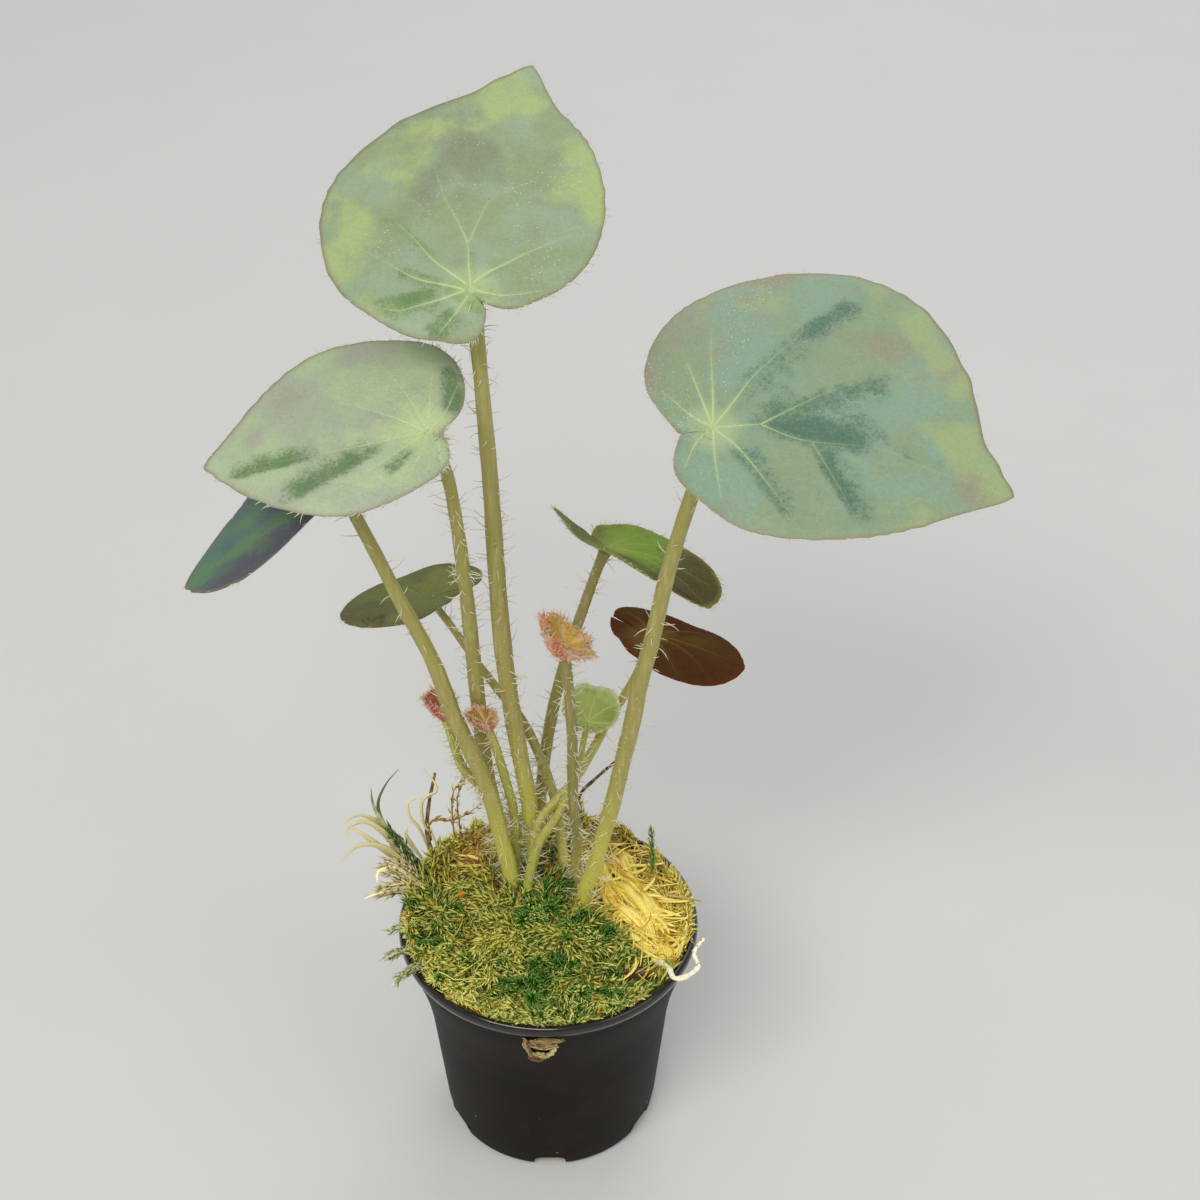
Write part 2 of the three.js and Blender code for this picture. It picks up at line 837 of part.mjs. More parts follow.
// A stalk with its hairs fused on, cut flat at its foot and along the underside of its blade.
function buildStalk(plant, hairCount) {
  const [footX, footY] = plant.route[0];
  const foot = new THREE.Vector3(footX, footY, FOOT_LEVEL + GAP);
  let stalk = bareStalk(plant).subtract(blockPast(foot, new THREE.Vector3(0, 0, -1)));
  if (plant.hub) {
    const { up } = bladeAxes(plant);
    const under = plant.dip + halfThickness(plant) + GAP;
    stalk = stalk.subtract(blockPast(new THREE.Vector3(...plant.hub).addScaledVector(up, -under), up));
  }
  const curve = stalkCurve(plant);
  for (let i = 0; i < hairCount; i += 1) {
    const along = drawBetween(0.1, 0.9);
    const turn = drawBetween(0, 2 * Math.PI);
    const centre = curve.getPointAt(along);
    const tangent = curve.getTangentAt(along);
    if (centre.z < bedTop(centre.x, centre.y) + 4) {
      continue;
    }
    const out = new THREE.Vector3(Math.cos(turn), Math.sin(turn), 0);
    out.addScaledVector(tangent, -out.dot(tangent)).normalize();
    const radius = radiusAt(plant.stalkRadii, along);
    const length = HAIR_LENGTH * drawBetween(0.7, 1.2);
    const hairFoot = centre.clone().addScaledVector(out, radius - HAIR_SUNK);
    const end = centre.clone().addScaledVector(out, radius + length);
    if (!clearOfOthers(end, plant, 1) || !clearOfOthers(hairFoot, plant, 1.2)) {
      continue;
    }
    const hair = new THREE.ConeGeometry(HAIR_RADIUS, length + HAIR_SUNK, 3);
    hair.translate(0, (length + HAIR_SUNK) / 2, 0);
    const aim = new THREE.Quaternion().setFromUnitVectors(new THREE.Vector3(0, 1, 0), out);
    hair.applyQuaternion(aim);
    hair.translate(hairFoot.x, hairFoot.y, hairFoot.z);
    stalk = stalk.add(solidOf(hair));
  }
  return stalk;
}

// The rootstock: a lumpy knot with a knob under each stalk and roots that run down into the bed.
function buildRootstock(grow = 0) {
  const [kx, ky] = KNOT_CENTRE;
  const knot = new THREE.SphereGeometry(1, ...KNOT_ROUNDNESS);
  knot.scale(KNOT_HALF[0] + grow, KNOT_HALF[1] + grow, KNOT_HALF[2] + grow);
  knot.translate(kx, ky, KNOT_LEVEL);
  let body = solidOf(knot);
  for (const plant of PLANTS) {
    const [x, y] = plant.route[0];
    const height = FOOT_LEVEL + grow - KNOT_LEVEL;
    const radius = plant.stalkRadii[0] + grow;
    const knob = new THREE.CylinderGeometry(radius + 0.1, radius + KNOB_FLARE, height, 5);
    knob.rotateX(Math.PI / 2);
    knob.translate(x, y, KNOT_LEVEL + height / 2);
    body = body.add(solidOf(knob));
  }
  for (let i = 0; i < ROOT_COUNT; i += 1) {
    const turn = (i * 2 * Math.PI) / ROOT_COUNT + 0.3;
    const dx = Math.cos(turn);
    const dy = Math.sin(turn);
    const points = ROOT_REACHES.map((far, k) => new THREE.Vector3(
      kx + dx * far * KNOT_HALF[0] * 0.8,
      ky * (1 - 0.15 * k) + dy * far * KNOT_HALF[1] * 0.6,
      KNOT_LEVEL - ROOT_DROPS[k] * ROOT_LENGTH,
    ));
    const radii = ROOT_RADII.map((radius) => radius + grow);
    body = body.add(solidOf(bentRod(smoothCurve(points), radii, 3, 4)));
  }
  return body;
}

// A sprout: a pleated cup that flares from the stalk's width, with pointed hairs outside.
function buildSprout(sprout) {
  const curve = stalkCurve(sprout);
  const neck = curve.getPointAt(1);
  const start = curve.getTangentAt(1);
  const lean = new THREE.Vector3(...sprout.lean).normalize();
  const foot = sprout.stalkRadii[2];
  const { height, radius } = sprout;
  const profile = [
    [0, 0],
    [foot, 0],
    [radius * 0.55, height * 0.25],
    [radius * 0.85, height * 0.6],
    [radius, height],
    [radius - 0.9, height],
    [radius * 0.6, height * 0.6],
    [0, height * 0.35],
  ].map(([r, h]) => new THREE.Vector2(r, h));
  const cup = new THREE.LatheGeometry(profile, CUP_SIDES);
  const place = cup.attributes.position;
  const base = neck.clone().addScaledVector(start, GAP);
  const side = new THREE.Vector3().crossVectors(start, new THREE.Vector3(0, 1, 0)).normalize();
  const front = new THREE.Vector3().crossVectors(side, start);
  const axisAt = (h) => {
    const bend = Math.min(h / height, 1);
    return start.clone().lerp(lean, bend).normalize();
  };
  const placeAt = (x, h, z) => {
    const turn = Math.atan2(z, x);
    const pleat = 1 + PLEAT_DEPTH * Math.sin(PLEATS * turn) * Math.min(1, (2 * h) / height);
    return base.clone()
      .addScaledVector(axisAt(h), h * (1 + (sprout.skew * x) / radius))
      .addScaledVector(side, x * pleat)
      .addScaledVector(front, z * pleat * CUP_FLATNESS);
  };
  for (let i = 0; i < place.count; i += 1) {
    const point = placeAt(place.getX(i), place.getY(i), place.getZ(i));
    place.setXYZ(i, point.x, point.y, point.z);
  }
  let body = solidOf(facingOut(cup));
  for (let i = 0; i < sprout.hairs; i += 1) {
    const turn = i * GOLDEN_TURN;
    const share = drawBetween(0.25, 1);
    const r = radius * (0.45 + 0.5 * share);
    const h = height * share;
    const from = placeAt((r - 0.5) * Math.cos(turn), h, (r - 0.5) * Math.sin(turn));
    const out = placeAt((r + 3) * Math.cos(turn), h + 2.5, (r + 3) * Math.sin(turn)).sub(from).normalize();
    const length = 2 + 1.2 * draw();
    const hair = new THREE.ConeGeometry(0.4, length, 3);
    hair.translate(0, length / 2, 0);
    hair.applyQuaternion(new THREE.Quaternion().setFromUnitVectors(new THREE.Vector3(0, 1, 0), out));
    hair.translate(from.x, from.y, from.z);
    const end = from.clone().addScaledVector(out, length);
    if (clearOfOthers(end, sprout, 1.5) && clearOfOthers(from, sprout, 0.8)) {
      body = body.add(solidOf(hair));
    }
  }
  return largestBody(body);
}

// Low rounded cushions of moss, joined; each is [x, y, half width, half depth, rise].
function buildCushions(cushions, grow = 0) {
  let body = null;
  for (const [x, y, halfWidth, halfDepth, rise] of cushions) {
    const cushion = new THREE.SphereGeometry(1, 7, 4);
    cushion.rotateX(Math.PI / 2);
    cushion.scale(halfWidth + grow, halfDepth + grow, rise + grow);
    cushion.translate(x, y, bedTop(x, y));
    const solid = solidOf(cushion);
    body = body ? body.add(solid) : solid;
  }
  return body;
}

// One leafy moss shoot: a few pointed leaflets that spread from one foot.
function mossShoot(x, y, height, leaflets) {
  let shoot = null;
  const foot = new THREE.Vector3(x, y, bedTop(x, y) + 1);
  for (let i = 0; i < leaflets; i += 1) {
    const turn = i * GOLDEN_TURN + x;
    const spread = i === 0 ? 0.1 : drawBetween(0.5, 0.9);
    const aim = new THREE.Vector3(Math.cos(turn) * spread, Math.sin(turn) * spread, 1).normalize();
    const length = height * (i === 0 ? 1.2 : 1);
    const leaflet = new THREE.ConeGeometry(0.8, length, 3);
    leaflet.translate(0, length / 2, 0);
    leaflet.applyQuaternion(new THREE.Quaternion().setFromUnitVectors(new THREE.Vector3(0, 1, 0), aim));
    leaflet.translate(foot.x, foot.y, foot.z);
    const solid = solidOf(leaflet);
    shoot = shoot ? shoot.add(solid) : solid;
  }
  return shoot;
}

// The strand grown by the gap, to test what it would touch.
function fatStrand(points, radius) {
  return solidOf(bentRod(smoothCurve(points), [radius, radius, radius].map((r) => r + 1.5 * GAP), 4, 3));
}

function insideCushions(cushions, x, y, share) {
  return cushions.some(([cx, cy, a, b]) => ((x - cx) / a) ** 2 + ((y - cy) / b) ** 2 < share * share);
}

// Moss and litter on the bed, each list as [x, y, half width, half depth, rise].
const GREEN_MOSS = [
  [-32, 2, 8, 8, 3],
  [-27, -10, 9, 8, 3],
  [-17, -21, 9, 9, 3],
  [-14, -8, 9, 8, 2.5],
  [-3, -30, 9, 8, 3],
  [-2, -17, 9, 9, 3],
  [-1, -6, 7, 7, 2.5],
  [11, -27, 9, 8, 3],
  [10, -14, 8, 8, 2.5],
];
const YELLOW_FIBRES = [
  [22, 9, 7, 9, 3.5],
  [28, -2, 8, 9, 4],
  [22, 21, 7, 8, 3],
  [29, -12, 7, 6, 3],
];
const BROWN_FIBRES = [
  [-24, 22, 8, 8, 3],
  [-16, 34, 8, 5, 3],
  [0, 37, 10, 4, 3],
  [13, 35, 8, 5, 3],
];
const CLAW_TUFT_BASE = [[-37, 13, 4.5, 6, 3.5]];

// Claw-like dry moss strands that hang over the rim, as points from root to tip.
const CLAW_STRANDS = [
  [[-37, 13, 76], [-42.5, 14, 86], [-47, 14.5, 93], [-51.2, 19, 102.5], [-48.8, 23, 107.7], [-45, 26, 111]],
  [[-37, 14, 76], [-43, 15, 86], [-49, 15.5, 97], [-52.5, 18.5, 103.5], [-53.3, 22, 107]],
  [[-37, 12, 76], [-43, 12.5, 86], [-50, 14.5, 96.5], [-55.5, 16, 99], [-60.5, 14, 97], [-58.5, 11, 94.8]],
  [[-37, 15, 76], [-43, 16.5, 87], [-50, 17, 96.5], [-56.4, 18, 99.7], [-62, 19, 95.6]],
  [[-37, 11, 76], [-43, 11, 86], [-50, 11, 93.4], [-57, 11, 93.6], [-62.3, 9, 89]],
  [[-38, 12, 77], [-46, 12, 87], [-53, 12, 95], [-61.8, 14, 101]],
  [[-37, 9, 76], [-42, 8, 82.5], [-47, 7, 88], [-50.8, 5, 88.5], [-51, 3, 86]],
  [[-36, 8, 76], [-42, 7, 80.6], [-48, 4, 83], [-55, 0, 82.4]],
];
const CLAW_RADIUS = 1.1;
const CLAW_STEPS = 7;
const RIM_STRANDS = [
  [[-35, -13, 70], [-38, -14.5, 75.6], [-41, -15.6, 77.2], [-45, -17.5, 77], [-48, -19, 76]],
  [[-33, -18, 70], [-35.5, -20, 75.4], [-38.5, -22.5, 77.2], [-42, -25, 76.6], [-45, -28, 74.6]],
  [[-37, -5, 70], [-39, -5.5, 75.6], [-42, -6, 77.4], [-45.5, -7, 77], [-48.5, -7, 75.8]],
];
const CURL_STRAND = [
  [31, -18, 70],
  [33, -20, 76.4],
  [35.4, -24, 78],
  [37, -27.4, 77.6],
  [40, -27, 77.6],
  [44, -23, 77.8],
  [43, -18, 78.2],
  [46, -13, 79],
];
const DRY_STRAW = [[-33, 20, 72], [-37.5, 24, 86], [-36.9, 28, 95], [-34.8, 32, 104.3]];
const DRY_STALK = [[7, 36, 73], [9.5, 34, 94], [14, 33, 101], [21, 33, 109]];
const MOSS_SHOOT_STEM = [[31, 15, 72], [31.4, 16, 83], [31, 18, 93]];
const BARK_CENTRE = [22, -23];
const BARK_SIZE = [17, 3, 1.4];
const BARK_TURN = 0.1;
const BARK_SUNK = 1;
const BARK_LIFT = 0.6;
const SCALE_RADIUS = 1.6;
const SCALE_HEIGHT = 9;
const SCALE_SUNK = 1;
const SCALES = [
  [3.2, 6.6],
  [0.2, 15.6],
  [-1, 21.5],
];
const SCRAP_CLEARANCE = 1.4;
const SCRAP_RADII = [1, 1.1, 0.9];
const SCRAP_LINES = [
  [[-7, 72], [-6.5, 66], [-3, 58]],
  [[0, 71.5], [-0.5, 66], [-3.5, 58]],
  [[-7, 70], [-3, 68.5], [1, 70.5]],
];

const bedBlock = buildBedBlock();
const bedLifted = bedBlock.translate(0, 0, GAP);
const stalkHoles = PLANTS.map((plant) => bareStalk(plant, GAP + 0.05));

function cutByStalks(solid) {
  let cut = solid;
  for (const hole of stalkHoles) {
    cut = cut.subtract(hole);
  }
  return cut;
}

// Keeps only the largest body of a solid, so that a cut leaves no loose scraps.
function largestBody(solid) {
  const bodies = solid.decompose();
  bodies.sort((a, b) => b.volume() - a.volume());
  return bodies[0];
}

// Seats a patch on the bed and clears it round the stalks and the rim.
function seat(solid) {
  return largestBody(cutByStalks(solid.subtract(bedLifted)));
}

// Pieces already on the bed; a later strand is left out where it would come too near one.
const placed = [];

function clearOfPlaced(probe) {
  return placed.every((piece) => piece.intersect(probe).isEmpty());
}

function keep(solid) {
  placed.push(solid);
  return solid;
}

function buildBed() {
  let bed = cutByStalks(bedBlock.subtract(buildRootstock(GAP + 0.05)));
  for (let i = 0; i < BED_STRANDS; i += 1) {
    const turn = i * GOLDEN_TURN;
    const far = BED_RADIUS * 0.86 * Math.sqrt((i + 0.5) / BED_STRANDS);
    const x = far * Math.cos(turn);
    const y = far * Math.sin(turn);
    const swing = turn + drawBetween(-1.2, 1.2);
    const points = [0, 0.5, 1].map((t) => new THREE.Vector3(
      x + 7 * t * Math.cos(swing),
      y + 7 * t * Math.sin(swing),
      bedTop(x, y) - 1.2 + 4.5 * t - 1.5 * t * t,
    ));
    const end = points[2];
    const clear = points.every((p) => clearOfOthers(p, null, 1.6));
    if (clear && Math.hypot(end.x, end.y) < BED_RADIUS - 2.5 && clearOfPlaced(fatStrand(points, 0.8))) {
      bed = bed.add(solidOf(strand(points, 0.8, 3, 3)));
    }
  }
  return bed;
}

function buildGreenMoss() {
  let moss = buildCushions(GREEN_MOSS);
  for (let i = 0; i < SHOOT_COUNT; i += 1) {
    const x = drawBetween(-38, 18);
    const y = drawBetween(-35, 8);
    const onPatch = insideCushions(GREEN_MOSS, x, y, 0.85);
    const awayFromRim = Math.hypot(x, y) < BED_RADIUS - 6;
    const clear = clearOfOthers(new THREE.Vector3(x, y, bedTop(x, y) + 4), null, 2.5);
    const shoot = mossShoot(x, y, 4.5, 3);
    const apart = !insideCushions(YELLOW_FIBRES, x, y, 1.5) && clearOfPlaced(shoot);
    if (onPatch && awayFromRim && clear && apart) {
      moss = moss.add(shoot);
    }
  }
  const trimmed = moss.subtract(bareRim()).subtract(barkStrip(GAP));
  return seat(trimmed.subtract(buildCushions(YELLOW_FIBRES, GAP)));
}

// The pot's upper wall grown by the gap, to keep moss clear of it.
function bareRim() {
  const outer = RIM_RADIUS + 6;
  const inner = BED_RADIUS - BED_MARGIN;
  const ring = new THREE.LatheGeometry([
    new THREE.Vector2(inner, 50),
    new THREE.Vector2(outer, 50),
    new THREE.Vector2(outer, POT_HEIGHT + GAP),
    new THREE.Vector2(inner, POT_HEIGHT + GAP),
    new THREE.Vector2(inner, 50),
  ], POT_SIDES);
  ring.rotateX(Math.PI / 2);
  return solidOf(facingOut(ring));
}

function buildFibres(cushions, count, length, radius) {
  let body = buildCushions(cushions);
  for (let i = 0; i < count; i += 1) {
    const [cx, cy, a, b] = cushions[i % cushions.length];
    const turn = i * GOLDEN_TURN;
    const x = cx + 0.45 * a * Math.cos(turn);
    const y = cy + 0.45 * b * Math.sin(turn);
    const swing = drawBetween(0, 2 * Math.PI);
    const points = [-1, 0, 1].map((t) => new THREE.Vector3(
      x + (length / 2) * t * Math.cos(swing),
      y + (length / 2) * t * Math.sin(swing),
      bedTop(x, y) + 3 + (t === 0 ? 1 : 0.3 * (i % 3)),
    ));
    const room = points.every((p) => Math.hypot(p.x, p.y) < BED_RADIUS - 2.5 && clearOfOthers(p, null, 2));
    if (room && clearOfPlaced(fatStrand(points, radius))) {
      body = body.add(solidOf(strand(points, radius, 3, 3)));
    }
  }
  return seat(body.subtract(bareRim()));
}

function strandFrom(points, radius, sides = 4, steps = 6) {
  return solidOf(strand(points.map((p) => new THREE.Vector3(...p)), radius, sides, steps));
}

function buildClawTuft() {
  let tuft = buildCushions(CLAW_TUFT_BASE);
  for (const points of CLAW_STRANDS) {
    tuft = tuft.add(strandFrom(points, CLAW_RADIUS, 3, CLAW_STEPS));
  }
  return seat(tuft.subtract(bareRim()).subtract(buildCushions(GREEN_MOSS, GAP)));
}

// A flat strip of bark that lies on the bed at the front right.
function barkStrip(grow = 0) {
  const [x, y] = BARK_CENTRE;
  const [length, width, thickness] = BARK_SIZE;
  const depth = thickness + BARK_SUNK;
  const strip = new THREE.BoxGeometry(length + 2 * grow, width + 2 * grow, depth + 2 * grow);
  strip.rotateZ(BARK_TURN);
  strip.translate(x, y, bedTop(x, y) + thickness / 2 + BARK_LIFT);
  return solidOf(strip);
}

function buildScrap() {
  let scrap = null;
  for (const line of SCRAP_LINES) {
    const points = line.map(([x, z]) => {
      const away = wallAt(z) + SCRAP_CLEARANCE;
      return new THREE.Vector3(x, -Math.sqrt(away * away - x * x), z);
    });
    const piece = solidOf(bentRod(smoothCurve(points), SCRAP_RADII, 4, 3));
    scrap = scrap ? scrap.add(piece) : piece;
  }
  return scrap;
}

function wallAt(z) {
  return z > POT_BODY[POT_BODY.length - 1][1] ? RIM_RADIUS : potRadius(z);
}

function buildShootStem() {
  const points = MOSS_SHOOT_STEM.map((p) => new THREE.Vector3(...p));
  let body = solidOf(bentRod(smoothCurve(points), [0.8, 0.8, 0.5], 5, 4));
  const curve = smoothCurve(points);
  for (let i = 0; i < 9; i += 1) {
    const from = curve.getPointAt(0.5 + 0.055 * i);
    const turn = i * GOLDEN_TURN;
    const out = new THREE.Vector3(Math.cos(turn), Math.sin(turn), 0.9).normalize();
    const leaflet = new THREE.ConeGeometry(0.6, 3, 3);
    leaflet.translate(0, 1.5, 0);
    leaflet.applyQuaternion(new THREE.Quaternion().setFromUnitVectors(new THREE.Vector3(0, 1, 0), out));
    leaflet.translate(from.x, from.y, from.z);
    body = body.add(solidOf(leaflet));
  }
  return seat(body);
}

// A papery pointed scale that stands at the stalks' feet.
function buildScale([x, y], turn) {
  const scale = new THREE.ConeGeometry(SCALE_RADIUS, SCALE_HEIGHT, 6);
  scale.rotateX(Math.PI / 2);
  scale.scale(1, 0.5, 1);
  scale.rotateZ(turn);
  scale.translate(x, y, bedTop(x, y) + SCALE_HEIGHT / 2 - SCALE_SUNK);
  return seat(solidOf(scale));
}

const clawMoss = keep(buildClawTuft());
const curl = keep(seat(strandFrom(CURL_STRAND, 1.0, 4, 10).subtract(buildCushions(YELLOW_FIBRES, GAP))));
const bark = keep(seat(barkStrip().subtract(buildCushions(YELLOW_FIBRES, GAP))));
const straw = keep(seat(strandFrom(DRY_STRAW, 0.8).subtract(buildCushions(BROWN_FIBRES, GAP))));
const dryStalk = keep(seat(strandFrom(DRY_STALK, 0.9).subtract(buildCushions(BROWN_FIBRES, GAP))));
const mossStem = keep(buildShootStem());
const rimStrands = RIM_STRANDS.map((points) => (
  keep(seat(strandFrom(points, 0.9).subtract(buildCushions(GREEN_MOSS, GAP))))
));
const scales = SCALES.map((place, i) => keep(buildScale(place, i)));
const greenMoss = keep(buildGreenMoss());
const yellowFibres = keep(buildFibres(YELLOW_FIBRES, 12, 15, 1.1));
const brownFibres = keep(buildFibres(BROWN_FIBRES, 22, 14, 0.7));

addMesh('pot', geometryOf(buildPot()), 0x1b1917, 0.45);
addMesh('moss_bed', geometryOf(buildBed()), 0x8d8148, 0.95);
addMesh('rootstock', geometryOf(buildRootstock()), 0x7a6a45, 0.85);
for (const leaf of LEAVES) {
  addMesh(`blade_${leaf.name}`, buildBlade(leaf), leaf.colour, 0.5);
  addMesh(`stalk_${leaf.name}`, geometryOf(buildStalk(leaf, leaf.hairs)), leaf.stalkColour, 0.45);
}
for (const sprout of SPROUTS) {
  const stalk = buildStalk(sprout, sprout.stalkHairs);
  addMesh(`sprout_${sprout.name}`, geometryOf(buildSprout(sprout)), sprout.colour, 0.7);
  addMesh(`sprout_stalk_${sprout.name}`, geometryOf(stalk), sprout.stalkColour, 0.45);
}
scales.forEach((scale, i) => addMesh(`stalk_scale_${i + 1}`, geometryOf(scale), 0xb98a4a, 0.8));
addMesh('green_moss', geometryOf(greenMoss), 0x5c7f33, 0.95);
addMesh('yellow_fibres', geometryOf(yellowFibres), 0xd0a84a, 0.9);
addMesh('brown_fibres', geometryOf(brownFibres), 0x6c5836, 0.95);
addMesh('claw_moss', geometryOf(clawMoss), 0xa9ad78, 0.9);
rimStrands.forEach((piece, i) => addMesh(`rim_strand_${i + 1}`, geometryOf(piece), 0xb6b183, 0.9));
addMesh('curl_strand', geometryOf(curl), 0xd9d2b4, 0.9);
addMesh('bark_strip', geometryOf(bark), 0x4d3526, 0.9);
addMesh('dry_straw', geometryOf(straw), 0x8a6a3c, 0.9);
addMesh('dry_stalk', geometryOf(dryStalk), 0x7f6a52, 0.9);
addMesh('moss_shoot', geometryOf(mossStem), 0x8a9a4c, 0.9);
addMesh('moss_scrap', geometryOf(buildScrap()), 0x9a7f4a, 0.95);

export default root;
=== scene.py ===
"""Looks of a young begonia with round hairy leaves in a moss-filled nursery pot.

Sizes are in millimetres unless a name says otherwise, and the frame is the CAD part's own:
+Z up, the origin at the centre of the pot's base.
"""

import logging
import math
from collections.abc import Callable, Sequence
from dataclasses import dataclass, field
from enum import Enum
from typing import Any

import bpy
import numpy as np
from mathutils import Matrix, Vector
from numpy.typing import NDArray


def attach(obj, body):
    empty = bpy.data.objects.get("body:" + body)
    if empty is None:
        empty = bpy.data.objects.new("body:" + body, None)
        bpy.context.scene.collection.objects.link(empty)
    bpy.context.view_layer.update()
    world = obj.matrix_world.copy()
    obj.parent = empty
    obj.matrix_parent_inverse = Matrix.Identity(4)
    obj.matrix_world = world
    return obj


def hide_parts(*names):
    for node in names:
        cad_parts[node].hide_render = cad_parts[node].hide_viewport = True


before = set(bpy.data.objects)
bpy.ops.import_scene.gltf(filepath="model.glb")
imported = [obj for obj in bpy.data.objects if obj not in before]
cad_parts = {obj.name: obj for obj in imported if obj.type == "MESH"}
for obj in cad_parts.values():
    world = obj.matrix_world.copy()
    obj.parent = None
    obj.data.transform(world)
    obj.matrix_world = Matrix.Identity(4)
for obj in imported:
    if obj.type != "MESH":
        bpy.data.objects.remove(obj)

Array = NDArray[np.float64]
Index = NDArray[np.int64]
Colour = tuple[float, float, float]

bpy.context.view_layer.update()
MM = 0.001
GOLDEN_TURN = 2.39996
SEED = 90417
SPAN_STEPS = 24

LOG = logging.getLogger("begonia")


# Numbers and curves


def unit(vectors: Array) -> Array:
    """Returns each vector divided by its own length."""
    return vectors / np.maximum(np.linalg.norm(vectors, axis=-1, keepdims=True), 1e-9)


def ease(values: Array, low: float, high: float) -> Array:
    """Returns 0 below low, 1 above high, and the smooth step 3t^2 - 2t^3 between them."""
    t = np.clip((values - low) / (high - low), 0.0, 1.0)
    return t * t * (3 - 2 * t)


def linear(red: int, green: int, blue: int) -> Colour:
    """Turns a colour of screen values 0 to 255 into linear light.

    Args:
        red: Red, 0 to 255.
        green: Green, 0 to 255.
        blue: Blue, 0 to 255.

    Returns:
        The linear colour.
    """

    def one(value: int) -> float:
        """Returns one channel: ((v + 0.055) / 1.055)^2.4, or v / 12.92 when it is dark."""
        v = value / 255
        return v / 12.92 if v <= 0.04045 else ((v + 0.055) / 1.055) ** 2.4

    return one(red), one(green), one(blue)


def smooth_path(route: Sequence[Sequence[float]] | Array, count: int) -> Array:
    """Carries a centripetal Catmull-Rom curve through the points, in equal steps of length.

    Each span between b and c has the tangents ((b-a)/g0 - (c-a)/(g0+g1) + (c-b)/g1) * g1 and
    the like at c, where g is the square root of a span's length, and is a cubic Hermite curve.

    Args:
        route: The points, one row each.
        count: How many points to return.

    Returns:
        The points of the curve, count rows.
    """
    points = np.array(route, float)
    ends = np.vstack([2 * points[0] - points[1], points, 2 * points[-1] - points[-2]])
    a, b, c, d = (rows[:, None, :] for rows in (ends[:-3], ends[1:-2], ends[2:-1], ends[3:]))

    def gap(p: Array, q: Array) -> Array:
        """Returns the square root of each span's length."""
        return np.sqrt(np.maximum(np.linalg.norm(q - p, axis=-1, keepdims=True), 1e-6))

    g0, g1, g2 = gap(a, b), gap(b, c), gap(c, d)
    at_b = ((b - a) / g0 - (c - a) / (g0 + g1) + (c - b) / g1) * g1
    at_c = ((c - b) / g1 - (d - b) / (g1 + g2) + (d - c) / g2) * g1
    t = np.linspace(0, 1, SPAN_STEPS, endpoint=False)[None, :, None]
    span = b + at_b * t + (3 * (c - b) - 2 * at_b - at_c) * t**2 + (2 * (b - c) + at_b + at_c) * t**3
    dense = np.vstack([span.reshape(-1, 3), points[-1:]])
    return even_steps(dense, count)


def even_steps(path: Array, count: int) -> Array:
    """Returns count points along a path, the same length apart.

    Args:
        path: The path, one point a row.
        count: How many points to return.

    Returns:
        The points, count rows.
    """
    far = np.concatenate([[0], np.cumsum(np.linalg.norm(np.diff(path, axis=0), axis=1))])
    steps = np.linspace(0, far[-1], count)
    return np.stack([np.interp(steps, far, path[:, k]) for k in range(3)], axis=-1)


def frames_along(paths: Array) -> tuple[Array, Array, Array]:
    """Finds the directions of many paths at once.

    The tangent is the slope along the path. The normal is the axis least in line with the
    path's chord, made square to the tangent, and the binormal is their cross product.

    Args:
        paths: Paths as (path, step, 3).

    Returns:
        Tangents, normals and binormals, each as (path, step, 3).
    """
    tangent = unit(np.gradient(paths, axis=1))
    chord = np.abs(paths[:, -1] - paths[:, 0])
    axis = np.eye(3)[np.argmin(chord, axis=-1)][:, None, :]
    normal = unit(axis - np.sum(axis * tangent, axis=-1, keepdims=True) * tangent)
    return tangent, normal, np.cross(tangent, normal)


# Shapes


